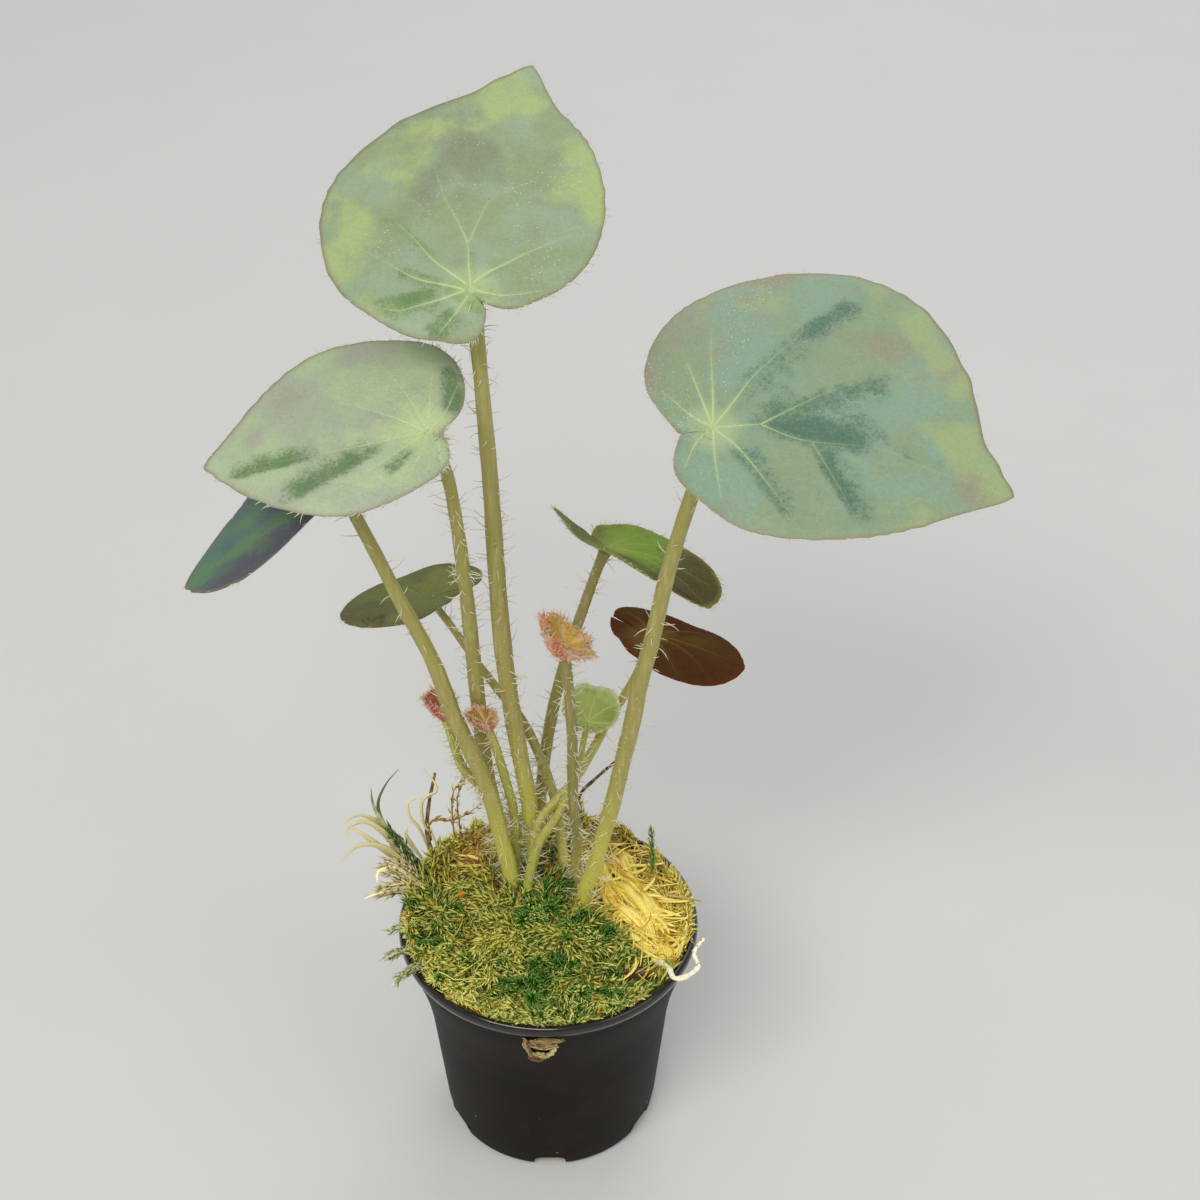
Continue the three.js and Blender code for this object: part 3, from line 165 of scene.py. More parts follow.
class Shape:
    """Points, faces and named marks of one piece, gathered before they go into Blender."""

    def __init__(self) -> None:
        """Starts with nothing in it."""
        self.points: list[Array] = []
        self.faces: list[Index] = []
        self.marks: list[tuple[int, dict[str, Array]]] = []
        self.count = 0

    def add(self, points: Array, faces: Sequence[Index], **marks: Any) -> None:
        """Adds points and the faces between them.

        Args:
            points: Points, last axis 3.
            faces: Arrays of quads or triangles that count from the first of these points.
            marks: A value, or one per point, for each named mark.
        """
        flat = points.reshape(-1, 3)
        self.points.append(flat)
        self.faces += [face.reshape(-1, face.shape[-1]) + self.count for face in faces]
        values = {k: np.broadcast_to(np.asarray(v, float), (len(flat),)) for k, v in marks.items()}
        self.marks.append((len(flat), values))
        self.count += len(flat)

    def mesh(self, name: str) -> bpy.types.Mesh:
        """Makes the mesh in metres, with a point attribute for each mark.

        Args:
            name: The mesh's name.

        Returns:
            The mesh.
        """
        mesh = bpy.data.meshes.new(name)
        mesh.vertices.add(self.count)
        mesh.vertices.foreach_set("co", (np.vstack(self.points) * MM).astype(np.float32).ravel())
        corners = np.concatenate([face.ravel() for face in self.faces])
        sizes = np.concatenate([np.full(len(face), face.shape[1]) for face in self.faces])
        starts = np.concatenate([[0], np.cumsum(sizes)[:-1]])
        mesh.loops.add(len(corners))
        mesh.loops.foreach_set("vertex_index", corners.astype(np.int32))
        mesh.polygons.add(len(sizes))
        mesh.polygons.foreach_set("loop_start", starts.astype(np.int32))
        mesh.polygons.foreach_set("use_smooth", np.ones(len(sizes), bool))
        mesh.update(calc_edges=True)
        for mark in sorted({k for _, values in self.marks for k in values}):
            rows = [values.get(mark, np.zeros(size)) for size, values in self.marks]
            attribute = mesh.attributes.new(mark, "FLOAT", "POINT")
            attribute.data.foreach_set("value", np.concatenate(rows).astype(np.float32))
        return mesh

    def piece(self, name: str, look: bpy.types.Material, nodes: Sequence[str]) -> bpy.types.Object:
        """Puts the shape in the scene as a piece of the object.

        Args:
            name: The piece's name.
            look: Its material.
            nodes: The CAD nodes that it stands for.

        Returns:
            The Blender object.
        """
        made = bpy.data.objects.new(name, self.mesh(name))
        made.data.materials.append(look)
        bpy.context.scene.collection.objects.link(made)
        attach(made, "root")
        if nodes:
            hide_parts(*nodes)
        triangles = sum(len(face) * (face.shape[1] - 2) for face in self.faces)
        LOG.info("%s: %d points, %d triangles", name, self.count, triangles)
        return made


def ring_faces(rows: int, across: int, closed: bool = True) -> Index:
    """Returns the quads between the rows of a grid, so that they face outwards.

    Args:
        rows: Rows of the grid.
        across: Points in a row.
        closed: Whether the columns run round.

    Returns:
        The quads.
    """
    i = np.arange(rows - 1)[:, None]
    j = np.arange(across if closed else across - 1)[None, :]
    after = (j + 1) % across
    corners = [i * across + j, i * across + after, (i + 1) * across + after, (i + 1) * across + j]
    return np.stack([np.broadcast_to(c, (rows - 1, j.shape[1])) for c in corners], axis=-1).reshape(-1, 4)


def closed_faces(rows: int, across: int) -> list[Index]:
    """Returns the quads of a grid that runs round, and the fans that close its two ends.

    The centres of the fans are the two points that come after the grid's own.

    Args:
        rows: Rings of the grid.
        across: Points round a ring.

    Returns:
        The quads, the fan at the first ring and the fan at the last.
    """
    j = np.arange(across)
    after = (j + 1) % across
    size, last = rows * across, (rows - 1) * across
    first_fan = np.stack([after, j, np.full(across, size)], axis=-1)
    last_fan = np.stack([last + j, last + after, np.full(across, size + 1)], axis=-1)
    return [ring_faces(rows, across), first_fan, last_fan]


def tubes(shape: Shape, paths: Array, widths: Array, depths: Array, sides: int = 3, **marks: Any) -> None:
    """Adds closed tubes along many paths.

    A point is centre + width * cos(a) * normal + depth * sin(a) * binormal, and each end is a
    fan round its own centre.

    Args:
        shape: The shape to add to.
        paths: Paths as (path, step, 3).
        widths: Half width as (path, step), or what spreads to it.
        depths: Half depth as (path, step), or what spreads to it.
        sides: Corners round the tube.
        marks: Values as (path, step), or what spreads to it.
    """
    count, steps, _ = paths.shape
    _, normal, binormal = frames_along(paths)
    turn = np.arange(sides) * 2 * np.pi / sides
    wide = np.broadcast_to(widths, (count, steps))[..., None, None]
    deep = np.broadcast_to(depths, (count, steps))[..., None, None]
    ring = wide * np.cos(turn)[:, None] * normal[:, :, None] + deep * np.sin(turn)[:, None] * binormal[:, :, None]
    body = (paths[:, :, None] + ring).reshape(count, steps * sides, 3)
    ends = paths[:, [0, -1]]
    points = np.concatenate([body, ends], axis=1)
    base = (np.arange(count) * (steps * sides + 2))[:, None, None]
    values = {}
    for name, value in marks.items():
        rows = np.broadcast_to(value, (count, steps))
        values[name] = np.concatenate([np.repeat(rows, sides, axis=1), rows[:, [0, -1]]], axis=1).ravel()
    shape.add(points, [face[None] + base for face in closed_faces(steps, sides)], **values)


def leaflets(shape: Shape, roots: Array, along: Array, across: Array, length: Array, width: Array,
             depth: float, curl: float = 0.15, **marks: Any) -> None:
    """Adds small pointed leaflets, each six triangles between a root, a ring of three and a tip.

    The ring stands at 0.4 of the length, and the tip bends by curl times the length towards
    the leaflet's upper side.

    Args:
        shape: The shape to add to.
        roots: Where each leaflet starts.
        along: Its direction.
        across: The direction of its width.
        length: Its length.
        width: Its half width.
        depth: Its half thickness.
        curl: How far the tip bends up, as a share of the length.
        marks: A value for each leaflet; the mark "tip" is added, 0 at the root and 1 at the tip, which the moss
            finishes use for painted shade at the root and painted light at the tip.
    """
    across = unit(across - np.sum(across * along, axis=-1, keepdims=True) * along)
    upper = np.cross(along, across)
    count = len(roots)
    long, wide = length[:, None], width[:, None]
    middle = roots + 0.4 * long * along
    tip = roots + long * along + curl * long * upper
    ring = [middle + wide * across, middle + depth * upper, middle - wide * across]
    points = np.stack([roots, *ring, tip], axis=1)
    corner = np.array([[0, 2, 1], [0, 3, 2], [0, 1, 3], [4, 1, 2], [4, 2, 3], [4, 3, 1]])
    faces = corner[None] + (np.arange(count) * 5)[:, None, None]
    shade = np.tile([0.0, 0.45, 0.55, 0.45, 1.0], count)
    values = {k: np.repeat(np.broadcast_to(v, (count,)), 5) for k, v in marks.items()}
    shape.add(points, [faces], tip=shade, **values)


# Shader maths


class Value:
    """A socket of numbers that adds Math nodes when it is used in an expression."""

    def __init__(self, tree: "Tree", socket: bpy.types.NodeSocket) -> None:
        """Keeps the socket and the tree that it is in."""
        self.tree = tree
        self.socket = socket

    def __add__(self, other: Any) -> "Value":
        """Returns self + other."""
        return self.tree.math("ADD", self, other)

    def __radd__(self, other: Any) -> "Value":
        """Returns other + self."""
        return self.tree.math("ADD", other, self)

    def __sub__(self, other: Any) -> "Value":
        """Returns self - other."""
        return self.tree.math("SUBTRACT", self, other)

    def __rsub__(self, other: Any) -> "Value":
        """Returns other - self."""
        return self.tree.math("SUBTRACT", other, self)

    def __mul__(self, other: Any) -> "Value":
        """Returns self * other."""
        return self.tree.math("MULTIPLY", self, other)

    def step(self, low: float, high: float) -> "Value":
        """Returns 0 at low, 1 at high, and a smooth step between them.

        Args:
            low: What gives 0.
            high: What gives 1.

        Returns:
            The stepped value.
        """
        settings = {"interpolation_type": "SMOOTHSTEP", "clamp": True}
        node = self.tree.node("ShaderNodeMapRange", settings, {0: self, 1: low, 2: high, 3: 0.0, 4: 1.0})
        return Value(self.tree, node.outputs[0])


class Tree:
    """A material's node tree, with one method for each kind of thing that the looks need."""

    def __init__(self, name: str) -> None:
        """Makes an empty material and the place at which its textures are read.

        Args:
            name: The material's name.
        """
        self.look = bpy.data.materials.new(name)
        self.look.use_nodes = True
        self.nodes = self.look.node_tree.nodes
        self.links = self.look.node_tree.links
        self.nodes.clear()
        self.place = self.node("ShaderNodeTexCoord").outputs["Object"]

    def node(self, kind: str, settings: dict[str, Any] | None = None,
             inputs: dict[Any, Any] | None = None) -> bpy.types.Node:
        """Adds a node of any kind.

        Args:
            kind: The node's type.
            settings: Its own settings, set first.
            inputs: Values or links of its sockets, by name or number.

        Returns:
            The node.
        """
        made = self.nodes.new(kind)
        for key, value in (settings or {}).items():
            setattr(made, key, value)
        for key, value in (inputs or {}).items():
            target = made.inputs[key]
            if isinstance(value, Value):
                self.links.new(value.socket, target)
            elif isinstance(value, bpy.types.NodeSocket):
                self.links.new(value, target)
            elif isinstance(value, tuple) and target.type == "RGBA":
                target.default_value = (*value, 1.0)
            else:
                target.default_value = value
        return made

    def math(self, kind: str, first: Any, second: Any) -> Value:
        """Adds a Math node."""
        return Value(self, self.node("ShaderNodeMath", {"operation": kind}, {0: first, 1: second}).outputs[0])

    def mark(self, name: str) -> Value:
        """Reads a point attribute."""
        node = self.node("ShaderNodeAttribute", {"attribute_name": name})
        return Value(self, node.outputs["Fac"])

    def noise(self, size: float, detail: float = 2.0, rough: float = 0.5, stretch: Colour = (1, 1, 1)) -> Value:
        """Reads noise whose blotches are about size millimetres, stretched along the axes.

        Args:
            size: About how wide a blotch is, in millimetres.
            detail: How many finer layers it has.
            rough: How strong the finer layers are, 0 to 1.
            stretch: Scale along each axis.

        Returns:
            The noise, 0 to 1.
        """
        vector = self.place
        if stretch != (1, 1, 1):
            vector = self.node("ShaderNodeMapping", {}, {"Vector": vector, "Scale": stretch}).outputs[0]
        inputs = {"Vector": vector, "Scale": 1 / (size * MM), "Detail": detail, "Roughness": rough}
        return Value(self, self.node("ShaderNodeTexNoise", {}, inputs).outputs["Fac"])

    def cells(self, size: float, feature: str = "DISTANCE_TO_EDGE") -> Value:
        """Reads the distance in a pattern of cells about size millimetres across.

        Args:
            size: About how wide a cell is, in millimetres.
            feature: Which distance: to the cell's edge, or F1 for its middle.

        Returns:
            The distance.
        """
        inputs = {"Vector": self.place, "Scale": 1 / (size * MM)}
        node = self.node("ShaderNodeTexVoronoi", {"feature": feature}, inputs)
        return Value(self, node.outputs["Distance"])

    def mix(self, factor: Any, first: Any, second: Any) -> bpy.types.NodeSocket:
        """Mixes two colours."""
        node = self.node("ShaderNodeMix", {"data_type": "RGBA"}, {0: factor, 6: first, 7: second})
        return node.outputs[2]

    def lit(self, colour: Any, factor: Any) -> bpy.types.NodeSocket:
        """Multiplies a colour by a number."""
        node = self.node("ShaderNodeVectorMath", {"operation": "SCALE"}, {0: colour, 3: factor})
        return node.outputs[0]

    def surface(self, colour: Any, rough: Any, height: Value | None = None, depth: float = 0.1,
                **fixed: Any) -> bpy.types.Material:
        """Ends the tree in a Principled shader.

        Args:
            colour: Base colour.
            rough: Roughness.
            height: Relief from 0 to 1, or None.
            depth: What a relief of 1 stands for, in millimetres.
            fixed: Values of other sockets, by name with _ for a space.

        Returns:
            The material.
        """
        inputs: dict[str, Any] = {"Base Color": colour, "Roughness": rough}
        inputs.update({key.replace("_", " "): value for key, value in fixed.items()})
        if height is not None:
            bump = self.node("ShaderNodeBump", {}, {"Height": height, "Distance": depth * MM, "Strength": 1.0})
            inputs["Normal"] = bump.outputs[0]
        shader = self.node("ShaderNodeBsdfPrincipled", {}, inputs)
        self.node("ShaderNodeOutputMaterial", {}, {0: shader.outputs[0]})
        return self.look


# Finishes


@dataclass(frozen=True)
class BladeFinish:
    """Skin of a leaf blade: cloudy colour, patches along the veins, felt, margin and hairs; on the silvery skins the
    base and cloud colours are partly painted sheen.
    """

    name: str
    base: Colour
    cloud: Colour
    lime: Colour
    patch: Colour
    vein: Colour
    margin: Colour
    under: Colour
    grey: Colour
    hair: Colour = linear(226, 222, 200)
    vein_show: float = 0.9
    rough: float = 0.45
    sheen: float = 0.12
    shine: float = 0.35

    def look(self) -> bpy.types.Material:
        """Builds the material from the marks vein, patch, lime, grey, edge, the painted glint mark, under, hub and
        hair.

        Returns:
            The material.
        """
        tree = Tree(self.name)
        blotch = tree.noise(4, 3, 0.6)
        felt = tree.noise(0.8, 3, 0.7)
        grain = tree.noise(0.28, 2, 0.6)
        patch = tree.mark("patch")
        # Partly painted sheen: on the silvery skins the pale base and cloud colours stand for a silvery sheen over the
        # leaf's own dark green.
        colour = tree.mix(tree.noise(17, 3, 0.55).step(0.4, 0.6), self.base, self.cloud)
        grey = tree.mark("grey") * 1.1 + (tree.noise(12, 3, 0.5) - 0.5) * 2.4
        colour = tree.mix(grey.step(0.1, 0.95) * 0.85, colour, self.grey)
        lime = tree.mark("lime") * 1.1 + (tree.noise(9, 3, 0.5) - 0.5) * 2.2
        colour = tree.mix(lime.step(0.25, 1.0) * 0.85, colour, self.lime)
        ragged = patch + (blotch - 0.5) * 1.2 + (felt - 0.5) * 1.6 + (grain - 0.5) * 0.9
        # The patches show the leaf's own dark green where no sheen is painted.
        colour = tree.mix(ragged.step(0.15, 1.05) * patch.step(0.04, 0.4) * 0.85, colour, self.patch)
        colour = tree.mix(tree.mark("hub").step(0.82, 1.0) * 0.45, colour, self.vein)
        net = 1 - tree.cells(2.1).step(0.02, 0.14)
        colour = tree.mix(net * 0.05, colour, self.vein)
        colour = tree.mix(tree.mark("vein") * (0.16 + tree.mark("hub") * 0.84) * self.vein_show, colour, self.vein)
        edge = tree.mark("edge") + (blotch - 0.5) * 0.6
        colour = tree.mix(edge.step(0.3, 1.1) * 0.75, colour, self.margin)
        # Painted glints: small white spots of painted highlight, like glints off wet droplets, where the glint bars
        # lie; they also get a little bump and lower roughness.
        dew = (1 - tree.cells(1.2, "F1").step(0.08, 0.18)) * tree.mark("dew").step(0.15, 0.6)
        colour = tree.mix(dew * 0.85, colour, linear(240, 244, 232))
        colour = tree.lit(colour, 0.74 + (felt * 0.34 + grain * 0.18))
        colour = tree.mix(tree.mark("under"), colour, self.under)
        colour = tree.mix(tree.mark("hair"), colour, self.hair)
        height = felt * 0.5 + grain * 0.35 + net * 0.15 + dew * 0.5
        rough = (self.rough - 0.08) + felt * 0.2 - dew * 0.2
        return tree.surface(colour, rough, height, 0.16, Sheen_Weight=self.sheen, Sheen_Roughness=0.4,
                            Specular_IOR_Level=self.shine)


@dataclass(frozen=True)
class StalkFinish:
    """Juicy stalk tissue: a colour at the foot, one at the top, a flush, pale streaks and dots, and hairs."""

    name: str
    foot: Colour
    top: Colour
    flush: Colour
    flushed: float = 0.2
    hair: Colour = linear(244, 236, 204)

    def look(self) -> bpy.types.Material:
        """Builds the material from the marks up and hair.

        Returns:
            The material.
        """
        tree = Tree(self.name)
        streak = tree.noise(1.6, 3, 0.6, (1, 1, 0.12))
        cloud = tree.noise(7, 2, 0.5, (1, 1, 0.4))
        speck = tree.noise(0.6, 2, 0.6, (1, 1, 0.6))
        colour = tree.mix(tree.mark("up").step(0.0, 0.4), self.foot, self.top)
        colour = tree.mix(streak.step(0.45, 0.75) * 0.3, colour, linear(222, 220, 160))
        colour = tree.mix(cloud.step(0.5, 0.75) * self.flushed, colour, self.flush)
        dots = (1 - tree.cells(1.1, "F1").step(0.12, 0.26)) * (1 - tree.mark("up")).step(0.25, 0.75)
        colour = tree.mix(speck.step(0.62, 0.72) * 0.3, colour, self.flush)
        colour = tree.mix(dots * 0.5, colour, self.hair)
        colour = tree.mix(tree.mark("hair"), colour, self.hair)
        height = streak * 0.7 + speck * 0.3
        return tree.surface(colour, 0.38 + streak * 0.15, height, 0.15, Subsurface_Weight=0.18,
                            Subsurface_Scale=0.002, Specular_IOR_Level=0.5)


@dataclass(frozen=True)
class SproutFinish:
    """Unopened leaf: flushed outside, golden inside, pale pleat crests and hairs."""

    name: str
    low: Colour
    high: Colour
    inside: Colour
    hair: Colour = linear(246, 224, 192)

    def look(self) -> bpy.types.Material:
        """Builds the material from the marks up, inside, pleat and hair.

        Returns:
            The material.
        """
        tree = Tree(self.name)
        cloud = tree.noise(2.5, 3, 0.6)
        fine = tree.noise(0.5, 3, 0.7)
        colour = tree.mix(tree.mark("up").step(0.1, 0.9), self.low, self.high)
        colour = tree.mix(tree.mark("inside"), colour, self.inside)
        colour = tree.mix(tree.mark("pleat").step(0.5, 1.0) * 0.45, colour, self.hair)
        colour = tree.mix(cloud.step(0.45, 0.7) * 0.35, colour, self.inside)
        colour = tree.mix(tree.mark("hair"), colour, self.hair)
        colour = tree.lit(colour, 0.8 + fine * 0.4)
        return tree.surface(colour, 0.55, fine, 0.15, Sheen_Weight=0.4, Sheen_Roughness=0.4)


@dataclass(frozen=True)
class MossFinish:
    """Moss or dry strands: colours for strands of low, middle and high tone, for tips, partly painted highlight, and
    for the depth, which is painted shade.
    """

    name: str
    # Painted shade colour, used on the bed's underlay.
    deep: Colour
    body: Colour
    fresh: Colour
    other: Colour
    # Pale tips colour: partly the tips' own paler colour, partly painted highlight.
    tips: Colour
    rough: float = 0.4

    def look(self) -> bpy.types.Material:
        """Builds the material from the marks tone, tip, pale and depth; tip also sets painted light and shade, and
        depth sets painted shade.

        Returns:
            The material.
        """
        tree = Tree(self.name)
        fine = tree.noise(0.6, 2, 0.6)
        tip = tree.mark("tip")
        tone = tree.mark("tone") + (tree.noise(7, 3, 0.6) - 0.5) * 0.7
        colour = tree.mix(tone.step(0.3, 0.55), self.body, self.fresh)
        # Partly painted highlight: the pale tips colour also stands for wet glints.
        colour = tree.mix(tip.step(0.15, 1.0) * 0.8, colour, self.tips)
        colour = tree.mix(tone.step(0.68, 0.85), colour, self.other)
        # Painted glints: a second touch of the pale tips colour at the very tips, for the dark shoots.
        colour = tree.mix(tip.step(0.7, 1.0) * 0.3, colour, self.tips)
        colour = tree.mix(tree.mark("pale") * 0.85, colour, self.tips)
        # Painted shade: the depth mark darkens the bed's underlay to stand for the shade in the gaps between strands.
        colour = tree.mix(tree.mark("depth") * 0.85, colour, self.deep)
        # Painted light and shade: leaflets and strands are darker at the root and brighter towards the tip.
        colour = tree.lit(colour, 0.36 + (tip * 0.8 + fine * 0.6))
        return tree.surface(colour, self.rough, fine, 0.1, Specular_IOR_Level=0.5)


@dataclass(frozen=True)
class PotFinish:
    """Thin black formed plastic with dust, dried water marks and a scuffed rim."""

    name: str = "black pot plastic"
    plastic: Colour = linear(22, 15, 8)
    dust: Colour = linear(50, 38, 25)
    chalk: Colour = linear(186, 180, 166)

    def look(self) -> bpy.types.Material:
        """Builds the material from the mark rim.

        Returns:
            The material.
        """
        tree = Tree(self.name)
        cloud = tree.noise(14, 4, 0.6)
        fine = tree.noise(0.9, 3, 0.7)
        drip = tree.noise(4.0, 3, 0.6, (1, 1, 0.25))
        dots = 1 - tree.cells(7.5, "F1").step(0.035, 0.06)
        shown = tree.noise(11, 1).step(0.55, 0.62)
        colour = tree.mix(cloud.step(0.4, 0.75) * 0.35, self.plastic, self.dust)
        colour = tree.mix(drip.step(0.62, 0.8) * 0.15, colour, self.dust)
        colour = tree.mix(dots * shown * 0.8, colour, self.chalk)
        colour = tree.mix(tree.mark("rim") * fine.step(0.5, 0.75) * 0.35, colour, self.dust)
        rough = 0.5 + cloud * 0.12 + dots * shown * 0.3 - tree.mark("rim") * 0.34
        return tree.surface(colour, rough, fine * 0.6 + dots * shown, 0.05, Specular_IOR_Level=0.16,
                            Coat_Weight=tree.mark("rim"), Coat_Roughness=0.12)


@dataclass(frozen=True)
class BarkFinish:
    """Dry bark, straw or root skin with a grain that runs along it."""

    name: str
    dark: Colour
    light: Colour
    stretch: Colour = (1, 1, 1)
    rough: float = 0.75

    def look(self) -> bpy.types.Material:
        """Builds the material; stretch gives the direction of the grain.

        Returns:
            The material.
        """
        tree = Tree(self.name)
        grain = tree.noise(1.2, 4, 0.7, self.stretch)
        cloud = tree.noise(5, 3, 0.6)
        colour = tree.mix(grain.step(0.4, 0.65), self.dark, self.light)
        colour = tree.mix(cloud.step(0.45, 0.75) * 0.4, colour, self.dark)
        return tree.surface(colour, self.rough, grain, 0.25)


@dataclass(frozen=True)
class FloorFinish:
    """Pale matt studio floor with a very faint mottle."""

    name: str = "pale floor"
    tint: Colour = linear(225, 225, 222)

    def look(self) -> bpy.types.Material:
        """Builds the material.

        Returns:
            The material.
        """
        tree = Tree(self.name)
        mottle = tree.noise(60, 2, 0.5)
        colour = tree.lit(self.tint, 0.985 + mottle * 0.03)
        return tree.surface(colour, 0.85)


class Hue(Enum):
    """The kinds of blade skin on this plant."""

    TOP = "top"
    LEFT = "left"
    RIGHT = "right"
    TEAL = "teal"
    YOUNG = "young"
    BACK = "back"
    BRONZE = "bronze"
    TINY = "tiny"


BLADE_FINISHES: dict[Hue, BladeFinish] = {
    # The sage, silver and blue-green skins carry a painted silvery sheen in their base and cloud colours.
    Hue.TOP: BladeFinish(
        "leaf skin sage", base=linear(157, 177, 146), cloud=linear(152, 168, 128), lime=linear(178, 196, 128),
        patch=linear(92, 130, 66), vein=linear(198, 218, 154), margin=linear(146, 134, 98),
        under=linear(150, 160, 116), grey=linear(138, 146, 118)),
    Hue.LEFT: BladeFinish(
        "leaf skin silver", base=linear(178, 196, 156), cloud=linear(170, 182, 156), lime=linear(190, 208, 152),
        patch=linear(84, 118, 70), vein=linear(206, 222, 162), margin=linear(156, 142, 118),
        under=linear(158, 164, 124), grey=linear(168, 168, 150), vein_show=0.6),
    Hue.RIGHT: BladeFinish(
        "leaf skin blue green", base=linear(144, 166, 132), cloud=linear(142, 170, 146), lime=linear(166, 182, 126),
        patch=linear(70, 110, 94), vein=linear(198, 216, 150), margin=linear(158, 144, 112),
        under=linear(150, 158, 118), grey=linear(156, 150, 126)),
    # The teal skin's bluish cloud, purple-grey patch and purple grey colours are painted blue-purple sheen over its own
    # teal green.
    Hue.TEAL: BladeFinish(
        "leaf skin teal", base=linear(94, 126, 110), cloud=linear(90, 108, 122), lime=linear(102, 134, 94),
        patch=linear(78, 84, 96), vein=linear(120, 148, 108), margin=linear(134, 118, 104),
        under=linear(120, 130, 100), grey=linear(94, 88, 100), sheen=0.0, shine=0.2),
    Hue.YOUNG: BladeFinish(
        "leaf skin young", base=linear(104, 128, 46), cloud=linear(92, 100, 44), lime=linear(122, 156, 52),
        patch=linear(80, 64, 34), vein=linear(150, 164, 84), margin=linear(156, 146, 76),
        under=linear(124, 120, 58), grey=linear(112, 112, 72), sheen=0.0, shine=0.15),
    Hue.BACK: BladeFinish(
        "leaf skin back", base=linear(122, 132, 70), cloud=linear(110, 108, 68), lime=linear(146, 150, 70),
        patch=linear(70, 60, 36), vein=linear(130, 136, 76), margin=linear(120, 108, 66),
        under=linear(110, 104, 58), grey=linear(84, 76, 58), sheen=0.0, shine=0.15),
    Hue.BRONZE: BladeFinish(
        "leaf skin bronze", base=linear(80, 55, 18), cloud=linear(80, 42, 16), lime=linear(92, 72, 26),
        patch=linear(78, 34, 16), vein=linear(124, 102, 50), margin=linear(104, 44, 24),
        under=linear(92, 46, 32), grey=linear(82, 50, 24), vein_show=0.8, sheen=0.0, shine=0.05, rough=0.6),
    Hue.TINY: BladeFinish(
        "leaf skin pale", base=linear(132, 150, 56), cloud=linear(122, 138, 52), lime=linear(182, 194, 112),
        patch=linear(206, 214, 160), vein=linear(184, 194, 112), margin=linear(226, 226, 186),
        under=linear(150, 158, 84), grey=linear(148, 150, 90), sheen=0.0, shine=0.5, rough=0.3),
}


# Blades

Bars = Sequence[tuple[float, float, float, float, float, float]]
STATIONS = np.array([0, 0.06, 0.14, 0.25, 0.38, 0.52, 0.66, 0.8, 0.91, 1.0])
HUB_DIP_REACH = 6.0
FOLD_SOFTNESS = 2.0
VEIN_SINK = 0.12
EDGE_THINNING = 0.55
QUILT = 0.1
TWIG_SINK = 0.05
UNDER_RIDGE = 0.2
RAGGED = 0.004
VEIN_TINT = 0.25
VEIN_REACH = 0.965
TWIG_TURNS = (46, 38, 26)
VEIN_MARK = (1.4, 0.6)
TWIG_MARK = (0.5, 0.3)
VEIN_TUBE = (0.6, 0.18, 40, 1.0)
TWIG_TUBE = (0.24, 0.12, 8, 0.5)
SPINE_TAPER = np.array([0.15, 0.13, 0.09, 0.03])
FUZZ_LENGTH = (0.6, 1.1)
FUZZ_HALF = 0.045


